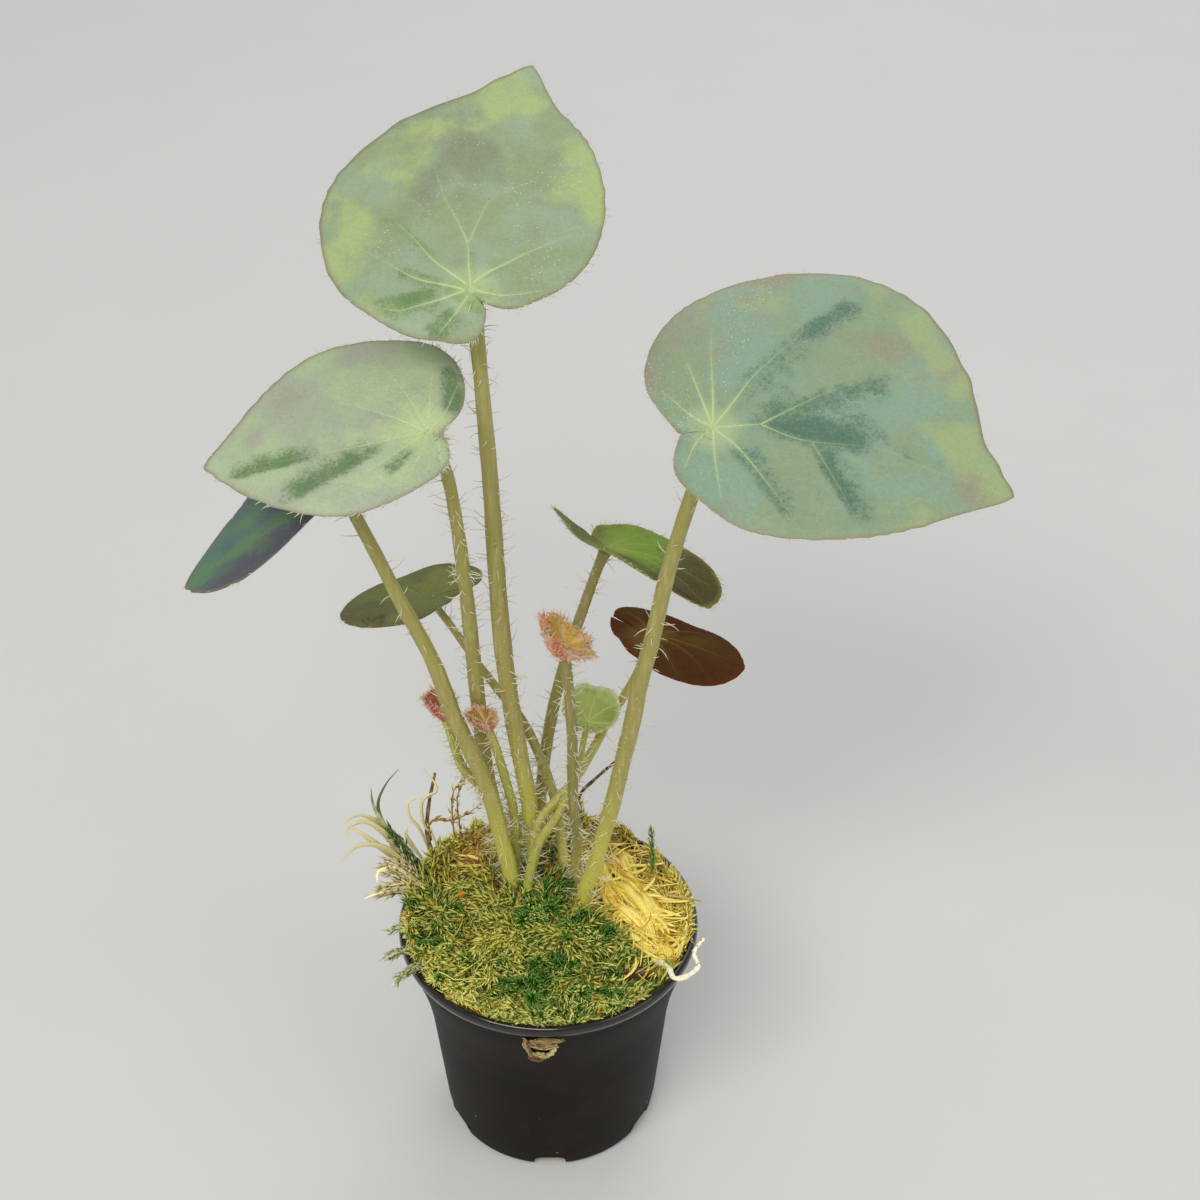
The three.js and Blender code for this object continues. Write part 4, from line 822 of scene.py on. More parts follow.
@dataclass
class Blade:
    """One leaf blade: the CAD blade's own surface, finer, with veins, felt, spines and hairs."""

    name: str
    hue: Hue
    hub: Sequence[float]
    tip: Sequence[float]
    tilt: float
    turn: float
    sinus: tuple[float, float]
    reach_left: Sequence[float]
    reach_right: Sequence[float]
    half_width: float
    tip_drop: float
    side_drop: tuple[float, float]
    back_drop: float
    back_reach: float
    wave: float
    waves: float
    dip: float
    veins: Sequence[Sequence[tuple[float, float]]]
    patches: Bars = ()
    limes: Bars = ()
    greys: Bars = ()
    # Bars where white painted glints go.
    dew: Bars = ()
    fold: tuple[float, float] = (0, 0)
    rings: int = 60
    spokes: int = 150
    crowding: float = 1.45
    ring_crowding: float = 0.9
    half_thickness: float = 0.3
    spines: int = 120
    spine_length: float = 2.2
    fuzz: int = 900
    twig_gap: float = 6.0
    margin: float = 4.5
    hub_glow: float = 20.0
    slot: str = "leaf_silver"
    seed: int = 1

    def __post_init__(self) -> None:
        """Works out the blade's own directions, as the CAD part does."""
        lift, turn = math.radians(self.tilt), math.radians(self.turn)
        self.up = np.array([math.sin(turn) * math.cos(lift), -math.cos(turn) * math.cos(lift), math.sin(lift)])
        self.centre = np.array(self.hub, float)
        ahead = np.array(self.tip, float) - self.centre
        self.ahead = unit(ahead - (ahead @ self.up) * self.up)
        self.left = np.cross(self.up, self.ahead)
        self.random = np.random.default_rng(SEED + self.seed)

    def reach(self, side: Array, share: Array) -> Array:
        """Finds how far the outline is from the hub.

        It is a cubic Hermite curve through the reaches at the stations, with the slope at a
        station taken from its two neighbours.

        Args:
            side: +1 on the left half, -1 on the right.
            share: Way from the tip, 0, to the sinus, 1.

        Returns:
            The reach, in the shape of share.
        """
        out = np.zeros(share.shape)
        for sign, reaches in ((1, self.reach_left), (-1, self.reach_right)):
            known = np.array(reaches, float)
            slope = np.gradient(known)
            slope[1:-1] = (known[2:] - known[:-2]) / (STATIONS[2:] - STATIONS[:-2])
            slope[0] = (known[1] - known[0]) / (STATIONS[1] - STATIONS[0])
            slope[-1] = (known[-1] - known[-2]) / (STATIONS[-1] - STATIONS[-2])
            i = np.clip(np.searchsorted(STATIONS, share, side="left") - 1, 0, len(STATIONS) - 2)
            span = STATIONS[i + 1] - STATIONS[i]
            t = (share - STATIONS[i]) / span
            value = ((2 * t**3 - 3 * t**2 + 1) * known[i] + (t**3 - 2 * t**2 + t) * span * slope[i]
                     + (3 * t**2 - 2 * t**3) * known[i + 1] + (t**3 - t**2) * span * slope[i + 1])
            out = np.where(side == sign, value, out)
        return out

    def flat(self, side: Array, share: Array, fraction: Array) -> tuple[Array, Array, Array]:
        """Returns u towards the tip, v to the left and the spoke's turn, in the flat blade.

        Args:
            side: +1 on the left half, -1 on the right.
            share: Way from the tip, 0, to the sinus, 1.
            fraction: Share of the reach.

        Returns:
            u, v and the turn, each in the shape of the input.
        """
        span = np.where(side > 0, math.radians(self.sinus[0]), math.radians(self.sinus[1]))
        turn = side * span * share
        r = self.reach(side, share) * fraction
        return r * np.cos(turn), r * np.sin(turn), turn

    def surface(self, u: Array, v: Array, turn: Array, fraction: Array, raise_by: Array | float = 0.0) -> Array:
        """Finds points of the blade.

        Height over the blade's plane is -dip * exp(-(r/6)^2) - tip_drop * (u/L)^2
        - back_drop * (u/back_reach)^2 - side_drop * (v/half_width)^2 + wave * f^3 * sin(n * turn),
        and a fold turns each half up by fold * |v| / (|v| + 2).

        Args:
            u: Distance towards the tip.
            v: Distance to the left.
            turn: The spoke's turn from the tip.
            fraction: Share of the reach.
            raise_by: Extra height.

        Returns:
            Points, last axis 3.
        """
        r = np.hypot(u, v)
        drop = np.where(v > 0, *self.side_drop)
        height = -self.dip * np.exp(-((r / HUB_DIP_REACH) ** 2))
        height = height - self.tip_drop * (np.maximum(u, 0) / self.reach_left[0]) ** 2
        height = height - self.back_drop * (np.minimum(u, 0) / self.back_reach) ** 2
        height = height - drop * (v / self.half_width) ** 2
        height = height + self.wave * fraction**3 * np.sin(self.waves * turn)
        bend = np.radians(np.where(v > 0, *self.fold)) * np.abs(v) / (np.abs(v) + FOLD_SOFTNESS)
        height = height + np.abs(v) * np.sin(bend) + raise_by
        across = v * np.cos(bend)
        return self.centre + u[..., None] * self.ahead + across[..., None] * self.left + height[..., None] * self.up

    def half(self, fraction: Array) -> Array:
        """Returns half the thickness, which falls towards the margin."""
        return self.half_thickness * (1 - EDGE_THINNING * fraction**5)

    def near(self, u: Array, v: Array, lines: Sequence[Array], wide: float, narrow: float) -> Array:
        """Measures how near points are to lines that taper.

        Args:
            u: Distance towards the tip.
            v: Distance to the left.
            lines: Lines as rows of (u, v).
            wide: Half width of a line where it starts.
            narrow: Half width where it ends.

        Returns:
            exp(-(distance / half width)^2) for the nearest line.
        """
        points = np.stack([u, v], axis=-1)
        best = np.full(u.shape, 1e9)
        for line in lines:
            for k in range(len(line) - 1):
                a, b = line[k], line[k + 1]
                t = np.clip(((points - a) @ (b - a)) / ((b - a) @ (b - a)), 0, 1)
                along = (k + t) / (len(line) - 1)
                gap = np.linalg.norm(points - a - t[..., None] * (b - a), axis=-1)
                best = np.minimum(best, gap / (wide + (narrow - wide) * along))
        return np.exp(-(best**2))

    def spots(self, u: Array, v: Array, spots: Sequence[tuple[float, ...]], one_sided: bool = False) -> Array:
        """Finds the strongest of soft bars, each (u0, v0, u1, v1, width, strength).

        A bar is strength * exp(-(d/1.3w)^2). A one-sided bar fades away only to the left of its
        line, is sharp on the right, where a vein runs, and comes to nothing at both ends.

        Args:
            u: Distance towards the tip.
            v: Distance to the left.
            spots: The bars.
            one_sided: Whether the bars are one-sided.

        Returns:
            Values from 0 to 1.
        """
        total = np.zeros(u.shape)
        points = np.stack([u, v], axis=-1)
        for u0, v0, u1, v1, width, strength in spots:
            a, b = np.array([u0, v0]), np.array([u1, v1])
            t = ((points - a) @ (b - a)) / max((b - a) @ (b - a), 1e-6)
            gap = np.linalg.norm(points - a - np.clip(t, 0, 1)[..., None] * (b - a), axis=-1)
            wide, ends = 1.3 * width, 1.0
            if one_sided:
                side = (b[0] - a[0]) * (points[..., 1] - a[1]) - (b[1] - a[1]) * (points[..., 0] - a[0])
                wide = np.where(side > 0, wide, 0.3 * wide)
                ends = ease(t, -0.1, 0.3) * (1 - ease(t, 0.7, 1.1))
            total = np.maximum(total, strength * ends * np.exp(-((gap / wide) ** 2)))
        return total

    def marks(self, u: Array, v: Array, fraction: Array) -> dict[str, Array]:
        """Reads the marks of the skin's colour at points of the flat blade.

        Args:
            u: Distance towards the tip.
            v: Distance to the left.
            fraction: Share of the reach.

        Returns:
            Values from 0 to 1 for each mark.
        """
        r = np.hypot(u, v)
        away = np.where(fraction > 0.05, r / np.maximum(fraction, 0.05) - r, 99.0)
        return {"edge": np.clip(1 - away / self.margin, 0, 1) ** 2, "hub": np.exp(-((r / self.hub_glow) ** 2)),
                "patch": self.spots(u, v, self.patches, True), "lime": self.spots(u, v, self.limes),
                "grey": self.spots(u, v, self.greys), "dew": self.spots(u, v, self.dew)}

    def turned(self, u: Array, v: Array) -> tuple[Array, Array]:
        """Finds the spoke's turn and the share of the reach at points of the flat blade.

        Args:
            u: Distance towards the tip.
            v: Distance to the left.

        Returns:
            The turn from the tip, and the share of the reach.
        """
        turn = np.arctan2(v, u)
        left, right = math.radians(self.sinus[0]), math.radians(self.sinus[1])
        turn = np.where(turn < -right, turn + 2 * np.pi, turn)
        turn = np.where(turn > left, turn - 2 * np.pi, turn)
        share = np.clip(np.abs(turn) / np.where(turn > 0, left, right), 0, 1)
        return turn, np.hypot(u, v) / self.reach(np.where(turn < 0, -1.0, 1.0), share)

    def twigs(self) -> list[Array]:
        """Grows side veins from the main ones, turned away by the first of TWIG_TURNS and then bent ahead.

        Returns:
            Lines as rows of (u, v).
        """
        made = []
        for line in self.veins:
            points = np.array(line, float)
            far = np.concatenate([[0], np.cumsum(np.linalg.norm(np.diff(points, axis=0), axis=1))])
            for n, start in enumerate(np.arange(self.twig_gap, far[-1] - 1, self.twig_gap / 2)):
                foot = np.array([np.interp(start, far, points[:, k]) for k in range(2)])
                ahead = np.array([np.interp(start + 1, far, points[:, k]) for k in range(2)])
                heading = math.atan2(*(ahead - foot)[::-1])
                sign = 1 if n % 2 else -1
                length = self.twig_gap * self.random.uniform(1.2, 1.9)
                turns = heading + sign * np.radians(TWIG_TURNS)
                steps = np.stack([np.cos(turns), np.sin(turns)], axis=-1) * length / 3
                made.append(np.vstack([foot, foot + np.cumsum(steps, axis=0)]))
        return made

    def build(self, shape: Shape) -> None:
        """Adds the blade's two faces and its edge, split alike, then its veins, spines and fuzz.

        Args:
            shape: The shape to add to.
        """
        s = np.linspace(-1, 1, 2 * self.spokes + 1)
        side = np.where(s < 0, -1.0, 1.0)[None, :]
        share = (np.abs(s) ** self.crowding)[None, :]
        fraction = (np.arange(1, self.rings + 1) / self.rings)[:, None] ** self.ring_crowding
        ragged = 1 + RAGGED * fraction**4 * np.sin(61 * side * share + 9 * np.sin(23 * share))
        u, v, turn = self.flat(side, share, fraction * ragged)
        turn = np.broadcast_to(turn, u.shape)
        fraction = np.broadcast_to(fraction, u.shape)
        lines = [np.array(line, float) for line in self.veins]
        self.side_veins = self.twigs()
        vein = self.near(u, v, lines, *VEIN_MARK)
        twig = self.near(u, v, self.side_veins, *TWIG_MARK)
        rim = ease(fraction, 0.85, 1.0)
        quilt = QUILT * np.sin(u * 1.3 + 2 * np.sin(v * 0.5)) * np.sin(v * 1.2 + 1.5 * np.sin(u * 0.6))
        relief = (quilt * (1 - vein) - VEIN_SINK * vein - TWIG_SINK * twig) * (1 - rim)
        thick = self.half(fraction)
        upper = self.surface(u, v, turn, fraction, relief + thick)
        lower = self.surface(u, v, turn, fraction, relief - thick - UNDER_RIDGE * vein * (1 - rim))
        marks = {"vein": VEIN_TINT * vein**3, **self.marks(u, v, fraction)}
        zero = np.zeros(1)
        tops = self.surface(zero, zero, zero, zero, self.half_thickness - 0.15)
        bottoms = self.surface(zero, zero, zero, zero, -self.half_thickness)
        columns = u.shape[1]
        size = u.size
        j = np.arange(columns - 1)
        face = ring_faces(self.rings, columns, closed=False)
        hub_fan = np.stack([np.full(columns - 1, size), j, j + 1], axis=-1)
        skin = {name: np.append(mark.ravel(), float(name in ("vein", "hub"))) for name, mark in marks.items()}
        shape.add(np.vstack([upper.reshape(-1, 3), tops]), [face[:, ::-1], hub_fan], under=0.0, **skin)
        shape.add(np.vstack([lower.reshape(-1, 3), bottoms]), [face, hub_fan[:, ::-1]], under=1.0, **skin)
        low = size + 1

        def join(line: Index) -> Index:
            """Returns the quads that join the two faces along a line of points."""
            return np.stack([line[:-1], low + line[:-1], low + line[1:], line[1:]], axis=-1)

        starts = np.arange(self.rings) * columns
        margin = join(starts[-1] + np.arange(columns))
        slit_a = join(np.append(size, starts))
        slit_b = join(np.append(size, starts + columns - 1))[:, [0, 3, 2, 1]]
        shape.faces += [quads + shape.count - 2 * low for quads in (margin, slit_a, slit_b)]
        self.add_veins(shape)
        self.add_spines(shape)
        self.add_fuzz(shape)

    def add_veins(self, shape: Shape) -> None:
        """Adds the veins: round lines sunk in the blade, which show as fine ridges on both faces.

        Args:
            shape: The shape to add to.
        """
        for lines, (wide, narrow, steps, shown) in ((self.veins, VEIN_TUBE), (self.side_veins, TWIG_TUBE)):
            flat = np.stack([smooth_path([(u, v, 0) for u, v in line], steps) for line in lines])
            u, v = flat[..., 0], flat[..., 1]
            inside = np.minimum(1, VEIN_REACH / np.maximum(self.turned(u, v)[1], 0.01))
            u, v = u * inside, v * inside
            turn, fraction = self.turned(u, v)
            width = np.linspace(wide, narrow, steps)
            level = self.half(fraction) - VEIN_SINK - 0.8 * width
            tubes(shape, self.surface(u, v, turn, fraction, level), width, width, 6, vein=shown,
                  **self.marks(u, v, fraction))

    def add_spines(self, shape: Shape) -> None:
        """Adds curved bristles that stand out all round the margin.

        Args:
            shape: The shape to add to.
        """
        count = self.spines
        s = self.random.uniform(-0.97, 0.97, count)
        side, share = np.where(s < 0, -1.0, 1.0), np.abs(s)
        one = np.ones(count)
        u, v, turn = self.flat(side, share, one)
        root = self.surface(u, v, turn, one)
        near_u, near_v, _ = self.flat(side, share, one * 0.93)
        out = unit(root - self.surface(near_u, near_v, turn, one * 0.93))
        lean = self.random.normal(0, 0.35, (count, 3))
        length = self.spine_length * self.random.uniform(0.5, 1.2, count)[:, None, None]
        t = np.linspace(0, 1, 4)[None, :, None]
        aim = unit(out + 0.6 * lean)
        paths = (root - 0.4 * out)[:, None] + length * (t * aim[:, None] + 0.35 * t**2 * lean[:, None])
        tubes(shape, paths, SPINE_TAPER, SPINE_TAPER, 3, hair=1.0)

    def add_fuzz(self, shape: Shape) -> None:
        """Adds short fine hairs over the upper face.

        Args:
            shape: The shape to add to.
        """
        count = self.fuzz
        s = self.random.uniform(-1, 1, count)
        side, share = np.where(s < 0, -1.0, 1.0), np.abs(s)
        fraction = np.sqrt(self.random.uniform(0.02, 0.97, count))
        u, v, turn = self.flat(side, share, fraction)
        root = self.surface(u, v, turn, fraction, self.half_thickness - 0.25)
        along = unit(self.up + self.random.normal(0, 0.45, (count, 3)))
        across = np.cross(along, self.ahead + 0.01)
        length = self.random.uniform(*FUZZ_LENGTH, count)
        leaflets(shape, root, along, across, length, np.full(count, FUZZ_HALF), FUZZ_HALF, hair=0.55)


# Stalks and sprouts

FOOT_LEVEL = 69.3
FOOT_SINK = 1.8
LINE_STEPS = 400
HAIR_TAPER = np.array([1.0, 0.9, 0.65, 0.25])
BRISTLE_TAPER = 0.016 * np.array([1.0, 0.95, 0.75, 0.3])


def hairs_along(shape: Shape, path: Array, radii: Array, count: int, length: tuple[float, float],
                rng: np.random.Generator, foot: float = 2.0, start: float = 0.03, thick: float = 0.13) -> None:
    """Adds curved hairs round a tube, denser towards its foot.

    A hair leaves the surface along the outward direction d and is root + L * (d t + b t^2),
    where b is a random sideways and upward bend.

    Args:
        shape: The shape to add to.
        path: The tube's centre line.
        radii: Its radius at each point of the line.
        count: How many hairs.
        length: Shortest and longest hair.
        rng: Where the chance comes from.
        foot: How many times denser the hairs are at the foot.
        start: Share of the line at which hairs begin.
        thick: Half thickness of a hair at its root.
    """
    steps = len(path)
    weight = 1 + foot * np.exp(-np.linspace(0, 1, steps) / 0.15)
    weight[: int(start * steps)] = 0
    at = np.interp(rng.uniform(0, 1, count), np.cumsum(weight) / weight.sum(), np.arange(steps))
    centre = np.stack([np.interp(at, np.arange(steps), path[:, k]) for k in range(3)], axis=-1)
    tangent, normal, binormal = (np.stack([np.interp(at, np.arange(steps), f[0, :, k]) for k in range(3)], axis=-1)
                                 for f in frames_along(path[None]))
    radius = np.interp(at, np.arange(steps), radii)[:, None]
    turn = rng.uniform(0, 2 * np.pi, count)[:, None]
    out = unit(np.cos(turn) * normal + np.sin(turn) * binormal)
    side = np.cross(tangent, out)
    reach = rng.uniform(*length, count)[:, None, None]
    t = np.linspace(0, 1, 4)[None, :, None]
    first = unit(out + rng.normal(0, 0.25, (count, 1)) * side + rng.normal(0.1, 0.3, (count, 1)) * tangent)
    bend = rng.normal(0, 0.35, (count, 1)) * side + rng.normal(0.1, 0.35, (count, 1)) * tangent
    paths = (centre + out * (radius - 0.2))[:, None] + reach * (t * first[:, None] + t**2 * bend[:, None])
    taper = thick * HAIR_TAPER
    tubes(shape, paths, taper, taper, 3, hair=1.0, up=0.5)


@dataclass
class Stalk:
    """A leaf stalk: the CAD stalk's own line as a finely ridged tube with real hairs."""

    name: str
    route: Sequence[Sequence[float]]
    radii: tuple[float, float, float]
    finish: StalkFinish
    hairs: int
    hair_length: tuple[float, float] = (2.0, 4.8)
    blade: Blade | None = None
    seed: int = 1
    sides: int = 28
    steps: int = 110
    foot_hairs: float = 4.0
    hair_thickness: float = 0.17
    slimness: float = 0.97
    ridges: int = 7
    ridge_height: float = 0.035
    flare: float = 0.55
    flare_steps: float = 2.5
    head_gap: float = 0.2

    def line(self) -> Array:
        """Returns the stalk's centre line, cut at its foot's level and under its blade.

        Returns:
            The line, one point for each step.
        """
        foot, *rest = self.route
        points = [[foot[0], foot[1], FOOT_LEVEL - FOOT_SINK], *rest]
        if self.blade is not None:
            points.append(list(self.blade.hub))
        path = smooth_path(points, LINE_STEPS)
        path = path[path[:, 2] > FOOT_LEVEL]
        if self.blade is not None:
            under = self.blade.centre - (self.blade.dip + self.head_gap) * self.blade.up
            below = (path - under) @ self.blade.up < 0
            path = path[: int(np.argmin(below))] if not below.all() else path
        return even_steps(path, self.steps)

    def radius(self, along: Array) -> Array:
        """Returns the radius, straight from foot to middle and from middle to top."""
        return np.interp(along, [0, 0.5, 1], self.radii)

    def build(self) -> bpy.types.Object:
        """Makes the stalk: a point is centre + r * (1 + ridges) * direction, flared where it meets a blade.

        Returns:
            The piece.
        """
        rng = np.random.default_rng(SEED + 100 + self.seed)
        path = self.line()
        along = np.linspace(0, 1, self.steps)
        radius = self.radius(along) * self.slimness
        radius = radius * (1 + 0.02 * np.sin(40 * along + self.seed) + 0.015 * np.sin(97 * along))
        if self.blade is not None:
            radius = radius * (1 + self.flare * np.exp(-(1 - along) * self.steps / self.flare_steps))
        _, normal, binormal = (f[0] for f in frames_along(path[None]))
        turn = np.arange(self.sides) * 2 * np.pi / self.sides
        wave = np.sin(self.ridges * turn + self.seed)[None, :]
        ridge = 1 + self.ridge_height * wave * ease(along, 0.02, 0.15)[:, None]
        ring = np.cos(turn)[None, :, None] * normal[:, None] + np.sin(turn)[None, :, None] * binormal[:, None]
        body = path[:, None] + (radius[:, None] * ridge)[..., None] * ring
        shape = Shape()
        points = np.vstack([body.reshape(-1, 3), path[:1], path[-1:]])
        up = np.concatenate([np.repeat(along, self.sides), [0, 1]])
        shape.add(points, closed_faces(self.steps, self.sides), up=up)
        hairs_along(shape, path, radius, self.hairs, self.hair_length, rng, self.foot_hairs, 0.05,
                    self.hair_thickness)
        node = self.name.replace("leafstalk", "stalk").replace("sproutstalk", "sprout_stalk")
        return shape.piece(self.name, self.finish.look(), [node])


@dataclass
class Sprout:
    """An unopened leaf on its stalk's end: a pleated, hairy funnel."""

    name: str
    stalk: Stalk
    height: float
    radius: float
    lean: Sequence[float]
    finish: SproutFinish
    hairs: int
    seed: int = 1
    skew: float = 0.1
    pleats: int = 6
    pleat_depth: float = 0.12
    crimp_depth: float = 0.035
    squash: float = 0.85
    lip_wave: float = 0.06
    sides: int = 96
    rows: int = 60

    def build(self) -> bpy.types.Object:
        """Makes the funnel from a profile of radius against height, bent towards the lean.

        A point is base + axis(h) * h * (1 + skew * x / radius) + (x * side + 0.85 z * front) * pleat,
        where axis(h) turns from the stalk's direction to the lean, and the pleat is
        1 + (0.12 sin(n a) + 0.035 sin(4 n a + 1)) * min(1, 2h / height). The lip waves up and
        down with the pleats.

        Returns:
            The piece.
        """
        rng = np.random.default_rng(SEED + 200 + self.seed)
        path = self.stalk.line()
        start = unit(path[-1] - path[-3])
        lean = unit(np.array(self.lean, float))
        base = path[-1] - 0.4 * start
        side = unit(np.cross(start, [0.0, 1.0, 0.0]))
        front = np.cross(side, start)
        foot = self.stalk.radii[2]
        profile = np.array([
            [0.02, 0.0], [foot, 0.0], [foot * 1.2, 0.08], [0.55 * self.radius, 0.25], [0.72 * self.radius, 0.42],
            [0.85 * self.radius, 0.6], [0.95 * self.radius, 0.8], [self.radius, 0.97], [self.radius * 0.98, 1.0],
            [self.radius * 0.9, 0.98], [self.radius * 0.76, 0.84], [0.56 * self.radius, 0.7],
            [0.3 * self.radius, 0.58], [0.02, 0.52]])
        far = np.concatenate([[0], np.cumsum(np.hypot(*np.diff(profile * [1, self.height], axis=0).T))])
        steps = np.linspace(0, far[-1], self.rows)
        r = np.interp(steps, far, profile[:, 0])
        h = np.interp(steps, far, profile[:, 1]) * self.height
        outside = steps < np.interp(8.5, np.arange(len(far)), far)

        def place(radius: Array, height: Array, turn: Array, crimp: float = 1.0) -> Array:
            """Bends points of the funnel to the lean and pleats them.

            Args:
                radius: Distance from the funnel's axis.
                height: Height over its base.
                turn: Way round it, in radians.
                crimp: Strength of the pleats.

            Returns:
                Points, last axis 3.
            """
            bend = np.clip(height / self.height, 0, 1)[..., None]
            axis = unit(start * (1 - bend) + lean * bend)
            rise = np.clip(2 * height / self.height, 0, 1)
            pleat = 1 + crimp * self.pleat_depth * np.sin(self.pleats * turn) * rise
            pleat = pleat + crimp * self.crimp_depth * np.sin(4 * self.pleats * turn + 1) * rise
            x, z = radius * np.cos(turn), radius * np.sin(turn) * self.squash
            rise = height * (1 + self.skew * x / self.radius)
            return base + axis * rise[..., None] + (x * pleat)[..., None] * side + (z * pleat)[..., None] * front

        turn = np.arange(self.sides) * 2 * np.pi / self.sides
        near_lip = ease(h, 0.6 * self.height, self.height)[:, None]
        lip = self.lip_wave * self.height * np.sin(self.pleats * turn + 2) * near_lip
        points = place(np.broadcast_to(r[:, None], lip.shape), h[:, None] + lip, np.broadcast_to(turn, lip.shape))
        crest = 0.5 + 0.5 * np.sin(self.pleats * turn)
        shape = Shape()
        body = points.reshape(-1, 3)
        poles = np.vstack([body[: self.sides].mean(0), body[-self.sides:].mean(0)])
        handed = float(np.dot(np.cross(side, front), start))
        faces = closed_faces(self.rows, self.sides)
        if handed < 0:
            faces = [face[:, ::-1] for face in faces]
        marks = {"up": ((h / self.height)[:, None], [0, 0.4]), "inside": ((~outside)[:, None], [0, 1]),
                 "pleat": (crest, [0, 0])}
        shape.add(np.vstack([body, poles]), faces,
                  **{name: np.append(np.broadcast_to(mark, lip.shape).ravel().astype(float), ends)
                     for name, (mark, ends) in marks.items()})
        for count, low, high, within in ((self.hairs // 3, 0.12, 1.0, False), (self.hairs // 4, 0.92, 1.0, False),
                                         (self.hairs // 8, 0.7, 0.98, True)):
            share = rng.uniform(low, high, count)
            angle = rng.uniform(0, 2 * np.pi, count)
            edge = profile[9:][::-1] if within else profile[1:9]
            skin = np.interp(share, edge[:, 1], edge[:, 0])
            root = place(skin + (0.2 if within else -0.2), share * self.height, angle)
            out = skin - 0.8 if within else skin + 2.5
            aim = unit(place(out, share * self.height + (3.0 if within else 1.2), angle) - root)
            aim = unit(aim + rng.normal(0, 0.3, aim.shape))
            bend = rng.normal(0, 0.25, aim.shape) + 0.15 * lean
            t = np.linspace(0, 1, 4)[None, :, None]
            reach = rng.uniform(0.09, 0.2, count)[:, None, None] * self.height
            paths = root[:, None] + reach * (t * aim[:, None] + t**2 * bend[:, None])
            taper = self.height * BRISTLE_TAPER
            tubes(shape, paths, taper, taper, 3, hair=0.8, up=0.5)
        return shape.piece(self.name, self.finish.look(), [self.name.replace("bud", "sprout")])


# Pot


